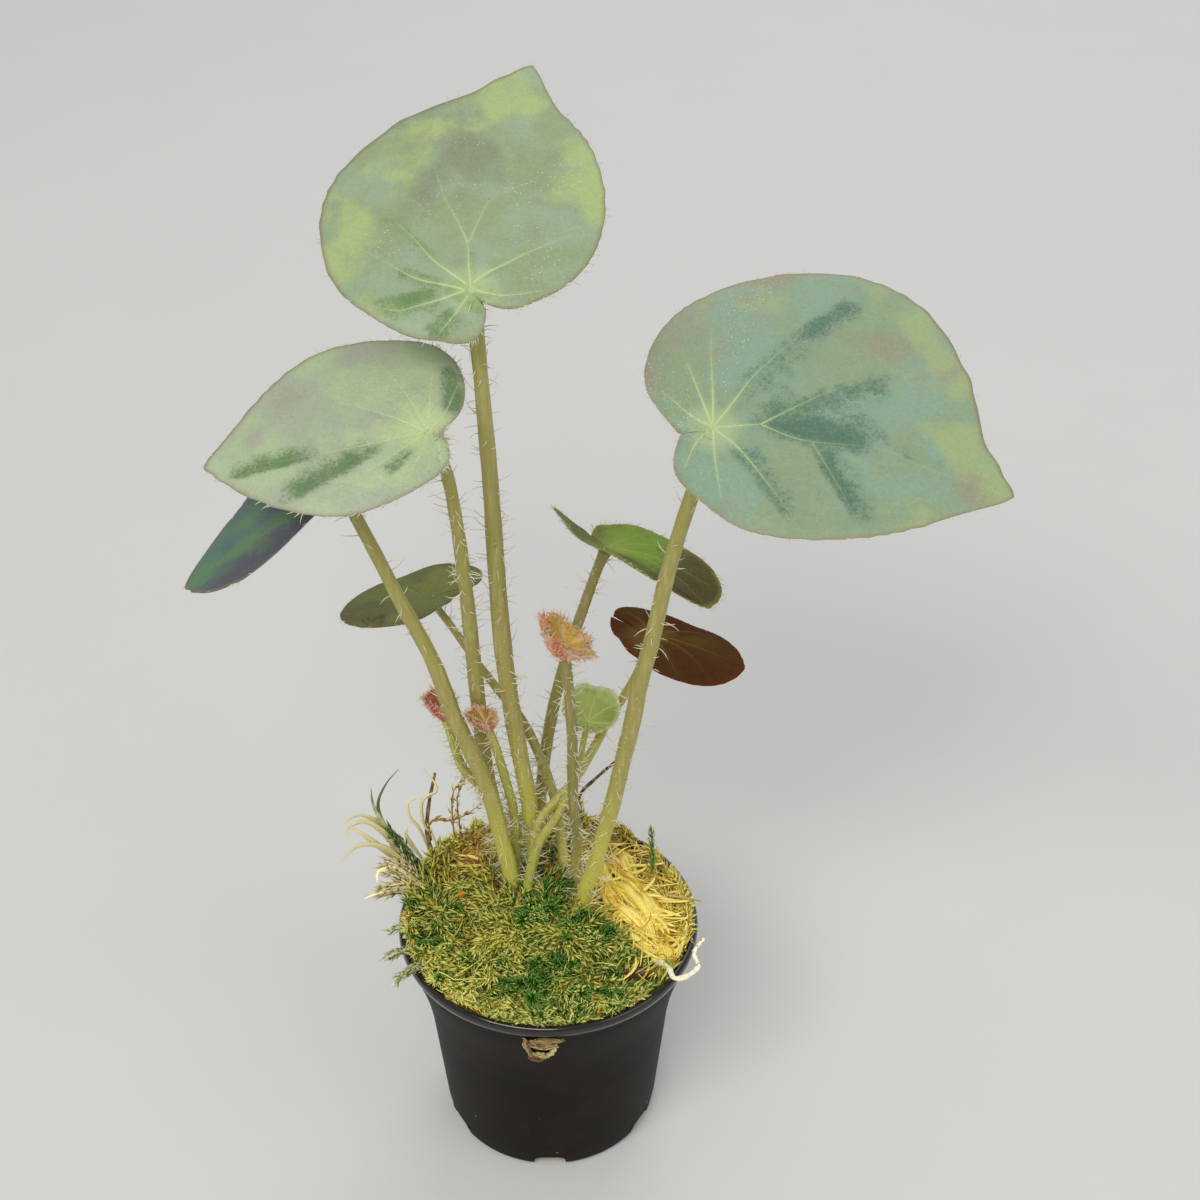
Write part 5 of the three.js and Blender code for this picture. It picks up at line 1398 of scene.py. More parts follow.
@dataclass
class Pot:
    """The thin formed pot: a turned wall with a rolled rim and six drain notches."""

    wall: float = 1.0
    sides: int = 240
    notches: int = 6
    notch_half: float = 5.0
    notch_height: float = 4.5
    notch_depth: float = 4.0
    notch_radius: float = 32.4
    notch_curve: float = 1.6
    finish: PotFinish = field(default_factory=PotFinish)

    def outer(self) -> Array:
        """Returns the outer profile from the base's edge up to the rim's foot, as (r, z).

        Returns:
            The profile, one point a row.
        """
        known = np.array([[30.6, 0], [31.6, 0.25], [32.4, 1.2], [33.2, 6], [36.6, 42], [38.2, 52], [40.4, 60],
                          [42.6, 67], [43.4, 70.6]])
        z = np.concatenate([[0, 0.1, 0.3, 0.7, 1.2, 2.4], [self.notch_height], np.linspace(6, 42, 10)[:-1],
                            np.linspace(42, 70.6, 16)])
        base = np.interp(z, known[:, 1], known[:, 0])
        soft = np.convolve(np.pad(base, 2, mode="edge"), np.ones(5) / 5, mode="valid")
        mix = ease(z, 8, 14)
        return np.stack([base * (1 - mix) + soft * mix, z], axis=-1)

    def bead(self) -> Array:
        """Returns the rolled rim's profile, as (r, z): most of an ellipse of 1.25 by 1.85 at (43.75, 73.15).

        Returns:
            The profile, one point a row.
        """
        turn = np.radians(np.linspace(-62, 178, 22))
        roll = np.stack([43.75 + 1.25 * np.cos(turn), 73.15 + 1.85 * np.sin(turn)], axis=-1)
        return np.vstack([[[43.9, 71.1]], roll])

    def build(self) -> bpy.types.Object:
        """Turns the closed profile about Z and opens it at the notches.

        Columns inside a notch miss their quads between the notch's top on the wall and its
        depth in the floor, and walls join the outer skin to the inner one round the opening.

        Returns:
            The piece.
        """
        wall = self.outer()
        inner = wall[4:][::-1] - [self.wall, 0]
        depth = wall[0, 0] + 0.4 - self.notch_depth
        floor = [[0.01, 0], [depth * 0.5, 0], [depth, 0]]
        level = self.wall + 0.2
        inner_floor = [[depth, level], [depth * 0.5, level], [0.01, level]]
        profile = np.vstack([floor, wall, self.bead(), inner, inner_floor])
        rows, columns = len(profile), self.sides
        low_end, high_end = len(floor) - 1, rows - len(floor)
        turn = np.arange(columns) * 2 * np.pi / columns
        period = columns // self.notches
        half = int(round(self.notch_half / self.notch_radius / (2 * np.pi / columns)))
        place = (np.arange(columns) + columns // 4 + period // 2) % period - period // 2
        r = np.repeat(profile[:, :1], columns, axis=1)
        z = np.repeat(profile[:, 1:], columns, axis=1)
        points = np.stack([r * np.cos(turn), r * np.sin(turn), z], axis=-1)
        foot = len(floor) + int(np.argmin(np.abs(wall[:, 1] - self.notch_height)))
        back = high_end - len(inner) + int(np.argmin(np.abs(inner[:, 1] - self.notch_height)))
        curve = np.clip((np.abs(place) / half) ** 4, 0, 1) * self.notch_curve
        open_column = np.abs(place) <= half
        points[foot, open_column, 2] -= curve[open_column]
        points[back, open_column, 2] -= curve[open_column]
        quads = ring_faces(rows, columns).reshape(rows - 1, columns, 4)
        gap = (place >= -half) & (place < half)
        keep = np.ones((rows - 1, columns), bool)
        keep[low_end:foot, gap] = False
        keep[back:high_end, gap] = False
        faces = [quads[keep]]
        columns_in = np.nonzero(gap)[0]
        nxt = (columns_in + 1) % columns
        for low, high in ((back, foot), (low_end, high_end)):
            faces.append(np.stack([low * columns + columns_in, low * columns + nxt,
                                   high * columns + nxt, high * columns + columns_in], axis=-1)[:, ::-1])
        out_rows = np.arange(low_end, foot + 1)
        in_rows = np.linspace(high_end, back, len(out_rows)).round().astype(int)
        for edge, flip in ((place == -half, True), (place == half, False)):
            for column in np.nonzero(edge)[0]:
                strip = np.stack([out_rows[:-1] * columns + column, in_rows[:-1] * columns + column,
                                  in_rows[1:] * columns + column, out_rows[1:] * columns + column], axis=-1)
                faces.append(strip[:, ::-1] if flip else strip)
        rim = np.repeat(ease(profile[:, 1], 70.5, 71.5)[:, None], columns, axis=1)
        shape = Shape()
        body = points.reshape(-1, 3)
        poles = np.array([[0, 0, 0], [0, 0, level]], float)
        shape.add(np.vstack([body, poles]), [*faces, *closed_faces(rows, columns)[1:]],
                  rim=np.append(rim.ravel(), [0, 0]))
        return shape.piece("pot_shell", self.finish.look(), ["pot"])


# Moss


@dataclass
class Ground:
    """The moss bed's top: the CAD mound with the CAD cushions on it."""

    edge: float = 71.5
    rise: float = 6.0
    spread: float = 20.0
    centre: tuple[float, float] = (-1, 10)
    ripple: float = 0.7
    green: Sequence[tuple[float, ...]] = (
        (-32, 2, 8, 8, 3), (-27, -10, 9, 8, 3), (-17, -21, 9, 9, 3), (-14, -8, 9, 8, 2.5), (-3, -30, 9, 8, 3),
        (-2, -17, 9, 9, 3), (-1, -6, 7, 7, 2.5), (11, -27, 9, 8, 3), (10, -14, 8, 8, 2.5))
    gold: Sequence[tuple[float, ...]] = ((22, 9, 7, 9, 3.5), (28, -2, 8, 9, 4), (22, 21, 7, 8, 3), (29, -12, 7, 6, 3))
    brown: Sequence[tuple[float, ...]] = ((-24, 22, 8, 8, 3), (-16, 34, 8, 5, 3), (0, 37, 10, 4, 3), (13, 35, 8, 5, 3))

    def bare(self, x: Array, y: Array) -> Array:
        """Returns edge + rise * exp(-d^2 / 2 spread^2) + ripple * (sin cos + sin), as the CAD bed.

        Args:
            x: How far to the right the places are.
            y: How far back they are.

        Returns:
            Heights.
        """
        away = (x - self.centre[0]) ** 2 + (y - self.centre[1]) ** 2
        ripple = np.sin(0.37 * x + 0.9) * np.cos(0.31 * y) + np.sin(0.23 * (x - y) + 2.1)
        return self.edge + self.rise * np.exp(-away / (2 * self.spread**2)) + self.ripple * ripple

    def lift(self, x: Array, y: Array, cushions: Sequence[tuple[float, ...]]) -> Array:
        """Returns the height of cushions over the bed: rise * sqrt(1 - (dx/a)^2 - (dy/b)^2).

        Args:
            x: How far to the right the places are.
            y: How far back they are.
            cushions: The cushions, each (x, y, a, b, rise).

        Returns:
            Heights over the bed.
        """
        best = np.zeros(np.shape(x))
        for cx, cy, a, b, rise in cushions:
            inside = 1 - ((x - cx) / a) ** 2 - ((y - cy) / b) ** 2
            best = np.maximum(best, rise * np.sqrt(np.clip(inside, 0, 1)))
        return best

    def shade(self, x: Array, y: Array) -> Array:
        """Returns how dark green the moss is, from 0 to 1: soft spots in front, on the left and in the middle.

        Args:
            x: How far to the right the places are.
            y: How far back they are.

        Returns:
            Values from about 0 to 1.
        """
        spots = ((7, -27, 13, 9, 0.6), (-30, -9, 8, 12, 0.7), (-3, -4, 6, 7, 0.3), (14, -11, 6, 6, 0.5),
                 (-12, -33, 6, 4, -0.3))
        return sum(k * np.exp(-(((x - cx) / a) ** 2) - ((y - cy) / b) ** 2) for cx, cy, a, b, k in spots)

    def sunk(self, x: Array, y: Array) -> Array:
        """Returns how far other strands keep down: 5 under the bark, and up to 3.5 under the golden clump."""
        golden = ease(x, 9, 12) * ease(y + 5 + 0.57 * (x - 9), -1.5, 1.5) * (1 - ease(y, 24, 28))
        return np.where((np.abs(x - 22) < 11) & (np.abs(y + 24) < 5), 5.0, 3.5 * golden)

    def top(self, x: Array, y: Array) -> Array:
        """Returns the bed with all its cushions."""
        return self.bare(x, y) + self.lift(x, y, [*self.green, *self.gold, *self.brown])


GROUND = Ground()


@dataclass(frozen=True)
class Leafing:
    """How leaflets stand on a strand: size is length, half width and half thickness.

    spread is a leaflet's angle from the stem at the foot and at the tip, in degrees, stem is
    half the stem's thickness, and span is the part of the strand that has leaflets.
    """

    leaves: int
    size: tuple[float, float, float]
    spread: tuple[float, float]
    stem: float = 0.35
    span: tuple[float, float] = (0.1, 1.0)


SPHAGNUM = (4.0, 0.46, 0.17)
CLAW_LEAF = (3.6, 0.5, 0.15)
BED_LEAFING = Leafing(leaves=26, size=SPHAGNUM, spread=(20, 38))
EDGE_LEAFING = Leafing(leaves=22, size=SPHAGNUM, spread=(22, 42))
GREEN_LEAFING = Leafing(leaves=25, size=SPHAGNUM, spread=(22, 44), stem=0.32)
STAR_LEAFING = Leafing(leaves=34, size=(3.5, 0.42, 0.14), spread=(42, 60), stem=0.24, span=(0.2, 1.0))
GOLD_LEAFING = Leafing(leaves=22, size=SPHAGNUM, spread=(20, 42))
LITTER_LEAFING = Leafing(leaves=18, size=SPHAGNUM, spread=(22, 42))
BACK_LEAFING = Leafing(leaves=20, size=(3.0, 0.5, 0.15), spread=(20, 34), stem=0.4)
CLAW_LEAFING = Leafing(leaves=26, size=CLAW_LEAF, spread=(14, 30))
HOOK_LEAFING = Leafing(leaves=16, size=CLAW_LEAF, spread=(14, 32), stem=0.3)
TUFT_LEAFING = Leafing(leaves=22, size=(2.4, 0.4, 0.14), spread=(24, 44))
RIM_LEAFING = Leafing(leaves=18, size=(2.8, 0.42, 0.14), spread=(16, 34), stem=0.4)
CURL_LEAFING = Leafing(leaves=60, size=(1.7, 0.3, 0.12), spread=(16, 36), stem=0.4)
SHOOT_LEAFING = Leafing(leaves=40, size=(2.2, 0.45, 0.18), spread=(46, 25), stem=0.6, span=(0.3, 1.0))


@dataclass
class Moss:
    """Everything that grows or lies on the bed."""

    rng: np.random.Generator = field(default_factory=lambda: np.random.default_rng(SEED + 300))
    bed_radius: float = 41.2
    reach: float = 41.7
    rim_top: float = 75.4
    outside: float = 43.0
    wall: Sequence[tuple[float, float]] = ((52, 37.2), (60, 39.4), (67, 41.6), (70.6, 42.4))
    skin: Sequence[tuple[float, float]] = ((52, 38.2), (60, 40.4), (67, 42.6), (70.6, 43.4), (71.2, 45), (75, 45))
    bed_rings: int = 46
    bed_spokes: int = 144
    bed_sink: float = 0.9
    gold_reach: float = 39.8
    bed_strands: int = 190
    edge_strands: int = 160
    bed_threads: int = 110
    bed_ribbons: int = 150
    green_strands: int = 310
    star_crowding: float = 1.4
    gold_copies: int = 7
    gold_ribbons: int = 130
    gold_threads: int = 110
    gold_tufts: int = 100
    litter_threads: int = 420
    litter_ribbons: int = 150
    litter_tufts: int = 110
    litter_fan: int = 60
    claw_tufts: int = 70
    hook_tufts: int = 12
    scrap_copies: int = 7

    def scatter(self, count: int, inside: Callable[[Array, Array], Array]) -> Array:
        """Picks random places on the bed.

        Args:
            count: How many places.
            inside: Says which of many places count.

        Returns:
            Places as rows of (x, y).
        """
        found = np.zeros((0, 2))
        while len(found) < count:
            tries = self.rng.uniform(-self.bed_radius, self.bed_radius, (count * 4, 2))
            good = (np.hypot(*tries.T) < self.bed_radius) & inside(tries[:, 0], tries[:, 1])
            found = np.vstack([found, tries[good]])
        return found[:count]

    def sprawl(self, places: Array, length: tuple[float, float], lift: tuple[float, float], steps: int = 7,
               sink: float = 0.8, wander: float = 0.8, heading: Array | None = None, under: float = 1.0) -> Array:
        """Lays strands that start in the bed, rise a little and curve along it.

        The heading turns by wander over the strand, and height is root + L * lift * (t - t^2 / 2),
        never under the bed, except under bark and gold, and no point goes past the pot's wall.

        Args:
            places: Where they start.
            length: Shortest and longest.
            lift: Least and most rise as a share of the length.
            steps: Points in a strand.
            sink: How deep they start.
            wander: How much the heading turns, as a normal spread in radians.
            heading: Where each points, in radians, or None for any way.
            under: Whether they keep down under the bark and the golden clump, 1 or 0.

        Returns:
            Paths as (strand, step, 3).
        """
        count = len(places)
        t = np.linspace(0, 1, steps)[None, :]
        reach = self.rng.uniform(*length, count)[:, None]
        start = self.rng.uniform(0, 2 * np.pi, count) if heading is None else heading
        heading = start[:, None] + self.rng.normal(0, wander, count)[:, None] * t
        x = places[:, :1] + np.cumsum(np.cos(heading), axis=1) * reach / steps
        y = places[:, 1:] + np.cumsum(np.sin(heading), axis=1) * reach / steps
        pull = np.minimum(1.0, self.reach / np.maximum(np.hypot(x, y), 1e-6))
        x, y = x * pull, y * pull
        rise = self.rng.uniform(*lift, count)[:, None]
        start = GROUND.top(places[:, 0], places[:, 1])[:, None] - sink
        z = np.maximum(start + reach * rise * (t - 0.5 * t**2), GROUND.top(x, y) - 0.2 - sink * (1 - t))
        z = z - under * GROUND.sunk(x, y)
        pull = np.minimum(1.0, (self.room(z) - 0.6) / np.maximum(np.hypot(x, y), 1e-6))
        return np.stack([x * pull, y * pull, z], axis=-1)

    def room(self, z: Array) -> Array:
        """Returns the radius inside the pot's wall at heights."""
        return np.interp(z, *np.transpose(self.wall))

    def leafy(self, shape: Shape, paths: Array, kind: Leafing, tone: Array) -> None:
        """Adds leafy strands: a stem and leaflets that wind round it.

        A leaflet's direction is cos(s) * tangent + sin(s) * outward, where the spread s goes
        from the strand's foot to its tip. One that would pass the pot's wall is cut short.

        Args:
            shape: The shape to add to.
            paths: The stems' lines.
            kind: How the leaflets stand on them.
            tone: A number from 0 to 1 for each strand's colour.
        """
        count, steps, _ = paths.shape
        leaves = kind.leaves
        taper = kind.stem * np.linspace(1.0, 0.45, steps)
        tubes(shape, paths, taper, taper, 3, tone=tone[:, None], tip=0.2)
        tangent, normal, binormal = frames_along(paths)
        at = np.linspace(*kind.span, leaves)[None, :] * (steps - 1) + self.rng.uniform(-0.15, 0.15, (count, leaves))
        at = np.clip(at, 0, steps - 1.001)
        low = at.astype(int)
        part = (at - low)[..., None]
        rows = np.arange(count)[:, None]

        def between(values: Array) -> Array:
            """Returns values part of the way between two steps."""
            return values[rows, low] * (1 - part) + values[rows, low + 1] * part

        turn = (np.arange(leaves) * GOLDEN_TURN)[None, :] + self.rng.uniform(0, 6.28, (count, 1))
        out = np.cos(turn)[..., None] * between(normal) + np.sin(turn)[..., None] * between(binormal)
        swing = self.rng.normal(0, 9, (count, leaves))
        angle = np.radians(np.linspace(*kind.spread, leaves)[None, :] + swing)[..., None]
        ahead = unit(np.cos(angle) * between(tangent) + np.sin(angle) * out)
        across = np.cross(ahead, out)
        length = kind.size[0] * self.rng.uniform(0.75, 1.2, count * leaves)
        width = kind.size[1] * self.rng.uniform(0.7, 1.3, count * leaves)
        root = (between(paths) + out * kind.stem * 0.4).reshape(-1, 3)
        ahead = ahead.reshape(-1, 3)
        tip = root + length[:, None] * ahead
        near, far, room = np.hypot(*root[:, :2].T), np.hypot(*tip[:, :2].T), self.room(tip[:, 2]) - 0.2
        through = (near < self.outside) & (far > room) & (tip[:, 2] < self.rim_top)
        kept = np.clip((room - near) / np.maximum(far - near, 1e-6), 0.05, 1)
        length = np.where(through, length * kept, length)
        tones = np.clip(np.repeat(tone, leaves) + self.rng.normal(0, 0.12, count * leaves), 0, 1)
        leaflets(shape, root, ahead, across.reshape(-1, 3), length, width, kind.size[2], 0.12, tone=tones)

    def ribbons(self, shape: Shape, paths: Array, half: Array, tone: Array, tip: float = 0.4) -> None:
        """Adds smooth flat strands that swell in the middle: half * (0.3 + sin(pi t)^0.7).

        Args:
            shape: The shape to add to.
            paths: The strands' lines.
            half: Each strand's half width.
            tone: A number from 0 to 1 for each strand's colour.
            tip: The mark tip at the root; it rises by 0.4 along the strand, so the finish paints the strand lighter
                towards its end.
        """
        t = np.linspace(0, 1, paths.shape[1])
        swell = (0.3 + np.sin(np.pi * t) ** 0.7)[None, :] * half[:, None]
        tubes(shape, paths, np.minimum(0.45, 0.5 * swell), swell, 6, tone=tone[:, None], tip=tip + 0.4 * t[None])

    def bed(self) -> bpy.types.Object:
        """Makes the fill: a fine rippled top, sides down the pot, and pale sphagnum strands on it.

        Returns:
            The piece.
        """
        rings, spokes = self.bed_rings, self.bed_spokes
        turn = np.arange(spokes) * 2 * np.pi / spokes
        radius = np.linspace(self.bed_radius, 1.0, rings)[:, None]
        x, y = radius * np.cos(turn), radius * np.sin(turn)
        bumps = 0.5 * np.sin(1.9 * x + np.sin(1.3 * y)) * np.sin(2.1 * y + np.sin(1.1 * x))
        z = GROUND.top(x, y) - self.bed_sink + bumps
        levels = np.array([[30.6, 1.8], [31.6, 6], [34.6, 40], [36.2, 50], [38.6, 60], [40.6, 68]])
        side_x, side_y = levels[:, :1] * np.cos(turn), levels[:, :1] * np.sin(turn)
        side_z = np.repeat(levels[:, 1:], spokes, axis=1)
        grid = np.stack([np.vstack([side_x, x]), np.vstack([side_y, y]), np.vstack([side_z, z])], axis=-1)
        centre = np.array([[0, 0, 1.8], [0, 0, float(GROUND.top(0.0, 0.0)) - self.bed_sink]])
        shape = Shape()
        # The underlay's depth mark darkens it with painted shade for the gaps between strands.
        shape.add(np.vstack([grid.reshape(-1, 3), centre]), closed_faces(len(grid), spokes), depth=0.6, tone=0.4)
        places = self.scatter(self.bed_strands, lambda px, py: (GROUND.sunk(px, py) < 1) & (py > -20) & (py < 13))
        self.leafy(shape, self.sprawl(places, (12, 24), (0.15, 0.8)), BED_LEAFING,
                   self.rng.uniform(0, 0.8, self.bed_strands))
        count = self.edge_strands
        edge = self.rng.uniform(0.7, 5.75, count)
        places = np.stack([np.cos(edge), np.sin(edge)], axis=-1) * self.rng.uniform(36, 41, count)[:, None]
        paths = self.sprawl(places, (8, 15), (0.35, 0.95), heading=edge + self.rng.normal(1.4, 1.0, count))
        self.leafy(shape, paths, EDGE_LEAFING, self.rng.uniform(0, 0.9, count))
        count = self.bed_threads
        places = self.scatter(count, lambda px, py: py < 14)
        thin = np.linspace(1, 0.35, 12)[None, :] * self.rng.uniform(0.16, 0.36, count)[:, None]
        tubes(shape, self.sprawl(places, (10, 26), (0.3, 0.75), steps=12, wander=1.3), thin, thin, 5,
              tone=self.rng.uniform(0, 0.3, count)[:, None], tip=0.8)
        count = self.bed_ribbons
        places = self.scatter(count, lambda px, py: ((np.abs(px - 4) < 13) & (np.abs(py - 1) < 9)) | (py < -27))
        self.ribbons(shape, self.sprawl(places, (5, 12), (0.25, 0.8), steps=9, wander=0.9),
                     self.rng.uniform(0.35, 0.9, count), self.rng.choice([0.1, 1.0], count), 0.5)
        look = MossFinish("packed moss", linear(78, 74, 16), linear(206, 198, 50), linear(150, 166, 40),
                          linear(212, 174, 54), linear(252, 246, 146), 0.28).look()
        return shape.piece("moss_fill", look, ["moss_bed"])

    def green(self) -> bpy.types.Object:
        """Makes the living moss: pale sphagnum heads, and dark star-like shoots in clumps.

        Returns:
            The piece.
        """
        shape = Shape()
        count = self.green_strands
        places = self.scatter(count, lambda px, py: (GROUND.lift(px, py, GROUND.green) > 0.3) | (py < -26))
        shade = np.clip(0.25 + GROUND.shade(*places.T) + self.rng.normal(0, 0.15, count), 0, 1)
        self.leafy(shape, self.sprawl(places, (9, 19), (0.25, 1.0), sink=1.0), GREEN_LEAFING, shade)
        clumps = np.array([(-1.5, 10.8, 2, 7), (-1, 1.5, 2.2, 12), (-4.2, -3.7, 3, 12), (-26.4, -15.6, 3.6, 14),
                           (-32, -12, 2.6, 10), (-28, -21, 3, 8), (12, -13.6, 3, 12), (15.2, -8, 3.5, 12),
                           (-6, -27, 4, 18), (7.7, -27, 4.5, 20), (19, -17, 2.5, 12), (24.8, -20.5, 2.2, 7),
                           (2.4, -34.5, 4.5, 18), (-13, -27.6, 3, 7), (-1.6, -38, 3, 9), (9, -37, 3, 9),
                           (4, -19, 4, 9), (-36, -2, 3, 8), (20, -31, 2.5, 6)], float)
        rows = np.repeat(clumps, (self.star_crowding * clumps[:, 3]).astype(int), axis=0)
        spots = rows[:, :2] + self.rng.normal(0, 0.55, (len(rows), 2)) * rows[:, 2:3]
        far = np.hypot(*spots.T)
        spots = spots * np.minimum(1, (self.bed_radius - 1.5) / np.maximum(far, 1e-6))[:, None]
        paths = self.sprawl(spots, (4, 9), (0.8, 1.7), steps=6, sink=0.2, wander=0.5)
        self.leafy(shape, paths, STAR_LEAFING, self.rng.uniform(0.8, 1.0, len(rows)))
        look = MossFinish("living moss", linear(44, 56, 12), linear(204, 200, 50), linear(142, 164, 38),
                          linear(72, 128, 26), linear(246, 242, 150), 0.26).look()
        return shape.piece("moss_green_shoots", look, ["green_moss"])

    def gold(self) -> bpy.types.Object:
        """Makes the golden clump: smooth flat wet strands that run together at the rim, and pale tufts.

        Returns:
            The piece.
        """
        main = [[(10, 37), (12.4, 28), (14.6, 18), (18, 8)], [(17, 16), (19, 5), (22, -1), (29, -9)],
                [(19, 22.5), (27.6, 6.3), (33.2, -8.9), (35.7, -17.4)],
                [(22.3, 24), (30.5, 4.2), (35.6, -8.4), (37.5, -16)],
                [(12.5, 1.6), (21.5, -1.4), (28.9, -5.5), (34.9, -13.4)], [(13.4, -2.6), (21.4, -8), (30.1, -14.6)],
                [(24, 27.5), (25.6, 15.4), (29, 2)], [(25.6, 15), (31.6, -1.8), (35.6, -10.5)],
                [(33.5, -8.9), (36.2, -17), (37.5, -19.5)], [(36, -19), (38.6, -13), (40.4, -8), (40.2, 0)],
                [(14, 12), (20, 10), (26, 3), (32, -7)], [(15, 24), (20, 17), (27, 9), (33, -3)],
                [(9, -6), (15, -9), (22, -12), (28, -17)], [(11, -2), (17, -6), (24, -9), (31, -16)],
                [(30, 14), (35, 6), (39, -2)]]
        steps = 18
        wave = np.linspace(0, 5, steps)
        shape = Shape()
        lines = []
        for line in main:
            path = smooth_path([(x, y, 0) for x, y in line], steps)
            for _ in range(self.gold_copies):
                moved = path + self.rng.normal(0, 1.2, 3) * [1, 1, 0]
                sway = self.rng.normal(0, 0.7, 2)
                moved[:, :2] += sway * np.sin(wave + self.rng.uniform(0, 6))[:, None]
                far = np.hypot(moved[:, 0], moved[:, 1])
                moved[:, :2] *= np.minimum(1, self.gold_reach / far)[:, None]
                hump = np.sin(np.pi * np.linspace(0.04, 0.9, steps)) * self.rng.uniform(1.2, 3.6)
                moved[:, 2] = GROUND.top(moved[:, 0], moved[:, 1]) - 0.6 + hump
                lines.append(moved)
        count = len(lines)
        self.ribbons(shape, np.stack(lines), self.rng.uniform(0.4, 1.3, count), self.rng.uniform(0, 0.95, count))
        count = self.gold_ribbons
        places = self.scatter(count, lambda px, py: (GROUND.sunk(px, py) > 2) & (px < 33) & (py > -17) & (py < 22))
        aim = np.arctan2(-19 - places[:, 1], 38 - places[:, 0]) + self.rng.normal(0, 0.45, count)
        paths = self.sprawl(places, (10, 22), (0.15, 0.4), steps=14, sink=0.7, wander=1.1, heading=aim, under=0)
        self.ribbons(shape, paths, self.rng.uniform(0.22, 0.6, count), self.rng.uniform(0, 1, count))
        fine = self.scatter(self.gold_threads, lambda px, py: GROUND.lift(px, py, GROUND.gold) > 0.1)
        lines = self.sprawl(fine, (8, 16), (0.2, 0.7), steps=9, sink=0.4, wander=1.0, under=0)
        thin = np.linspace(1, 0.3, 9) * 0.2
        tubes(shape, lines, thin, thin, 4, tone=0.2, tip=0.9)
        tufts = self.scatter(self.gold_tufts, lambda px, py: (px > 35 - 0.1 * py) & (py > -14) & (py < 26))
        self.leafy(shape, self.sprawl(tufts, (7, 13), (0.3, 0.9), under=0), GOLD_LEAFING,
                   self.rng.uniform(0, 0.1, self.gold_tufts))
        look = MossFinish("golden moss", linear(132, 96, 14), linear(238, 214, 84), linear(230, 194, 52),
                          linear(200, 156, 36), linear(252, 240, 140), 0.25).look()
        return shape.piece("moss_gold_strands", look, ["yellow_fibres"])

    def brown(self) -> bpy.types.Object:
        """Makes the litter at the back: tangled fibres, flat tan strands and dead sphagnum.

        Returns:
            The piece.
        """
        shape = Shape()

        def behind(px: Array, py: Array) -> Array:
            """Says which places lie behind the stalks and off the gold."""
            return (py > 12) & (GROUND.lift(px, py, GROUND.gold) < 0.1)

        count = self.litter_threads
        places = self.scatter(count, behind)
        paths = self.sprawl(places, (7, 18), (0.1, 0.9), steps=8, wander=1.0)
        thin = np.linspace(1, 0.35, 8)[None, :] * self.rng.uniform(0.15, 0.38, count)[:, None]
        tubes(shape, paths, thin, thin, 4, tone=self.rng.uniform(0, 1, count)[:, None], tip=0.4)
        count = self.litter_ribbons
        places = self.scatter(count, behind)
        self.ribbons(shape, self.sprawl(places, (8, 18), (0.1, 0.5), steps=10, wander=0.6),
                     self.rng.uniform(0.3, 0.75, count), self.rng.uniform(0, 0.5, count), 0.6)
        tufts = self.scatter(self.litter_tufts, behind)
        self.leafy(shape, self.sprawl(tufts, (6, 12), (0.2, 0.8)), LITTER_LEAFING,
                   self.rng.uniform(0, 0.6, self.litter_tufts))
        count = self.litter_fan
        foot = np.repeat([[-16.5, 21.0]], count, axis=0) + self.rng.normal(0, 1.2, (count, 2))
        fan = self.sprawl(foot, (8, 15), (0.3, 0.9), steps=8, wander=0.3, heading=self.rng.normal(3.9, 0.8, count))
        tubes(shape, fan, 0.13, 0.13, 4, tone=1.0, tip=0.7)
        self.leafy(shape, self.tips(BACK_TUFT, 12), BACK_LEAFING, np.full(len(BACK_TUFT), 0.4))
        look = MossFinish("brown litter", linear(60, 42, 18), linear(206, 170, 66), linear(180, 142, 54),
                          linear(140, 96, 42), linear(240, 214, 120), 0.5).look()
        return shape.piece("moss_brown_fibres", look, ["brown_fibres"])

    def tips(self, lines: Sequence[Sequence[Sequence[float]]], steps: int) -> Array:
        """Returns smooth paths through given points, one for each line."""
        return np.stack([smooth_path(line, steps) for line in lines])

    def claws(self) -> bpy.types.Object:
        """Makes the tufts over the left rim: smooth curved hooks over leafy bases.

        Returns:
            The piece.
        """
        steps = 30
        t = np.linspace(0, 1, steps)
        shape = Shape()
        hook = (0.35 + 0.75 * np.exp(-(((t - 0.6) / 0.32) ** 2))) * (1 - t**4) + 0.1
        greens = self.tips(CLAW_HOOKS, steps)
        tones = np.array([0.9, 0.8, 0.35, 0.5, 0.15, 0.1])
        tubes(shape, greens, 0.6 * hook[None], hook[None], 10, tone=tones[:, None], tip=0.15 + 0.6 * t[None])
        backs = self.tips(BACK_HOOKS, steps)
        tubes(shape, backs, 0.5 * hook[None], 0.8 * hook[None], 10, tone=0.1, tip=0.5 + 0.4 * t[None])
        for line, leafy_tenths, tone in zip(greens, (5, 5, 4, 4, 4, 3), tones):
            body = line[: steps * leafy_tenths // 10]
            twist = np.repeat(even_steps(body, 9)[None], 4, axis=0) + self.rng.normal(0, 0.9, (4, 1, 3))
            self.leafy(shape, twist, CLAW_LEAFING, np.full(4, tone))
        white = self.tips(WHITE_HOOKS, steps)
        tubes(shape, white, 0.7 * hook[None], 1.4 * hook[None], 10, tone=0.0, pale=1.0, tip=0.7 + 0.3 * t[None])
        count = self.hook_tufts * len(white)
        tuft = np.repeat(white, self.hook_tufts, axis=0) + self.rng.normal(0, 1.1, (count, 1, 3))
        curls = tuft[:, : steps * 7 // 10: 2]
        self.leafy(shape, curls, HOOK_LEAFING, np.zeros(count))
        tubes(shape, curls + [0, 0, 0.4], 0.25, np.linspace(0.7, 0.3, curls.shape[1]), 5, tone=0.0, pale=0.9, tip=0.6)
        places = self.rng.normal(0, 1, (self.claw_tufts, 2)) * [2.0, 4.5] + [-37.0, 11.0]
        self.leafy(shape, self.sprawl(places, (6, 11), (0.5, 1.2)), TUFT_LEAFING,
                   self.rng.uniform(0.3, 0.9, self.claw_tufts))
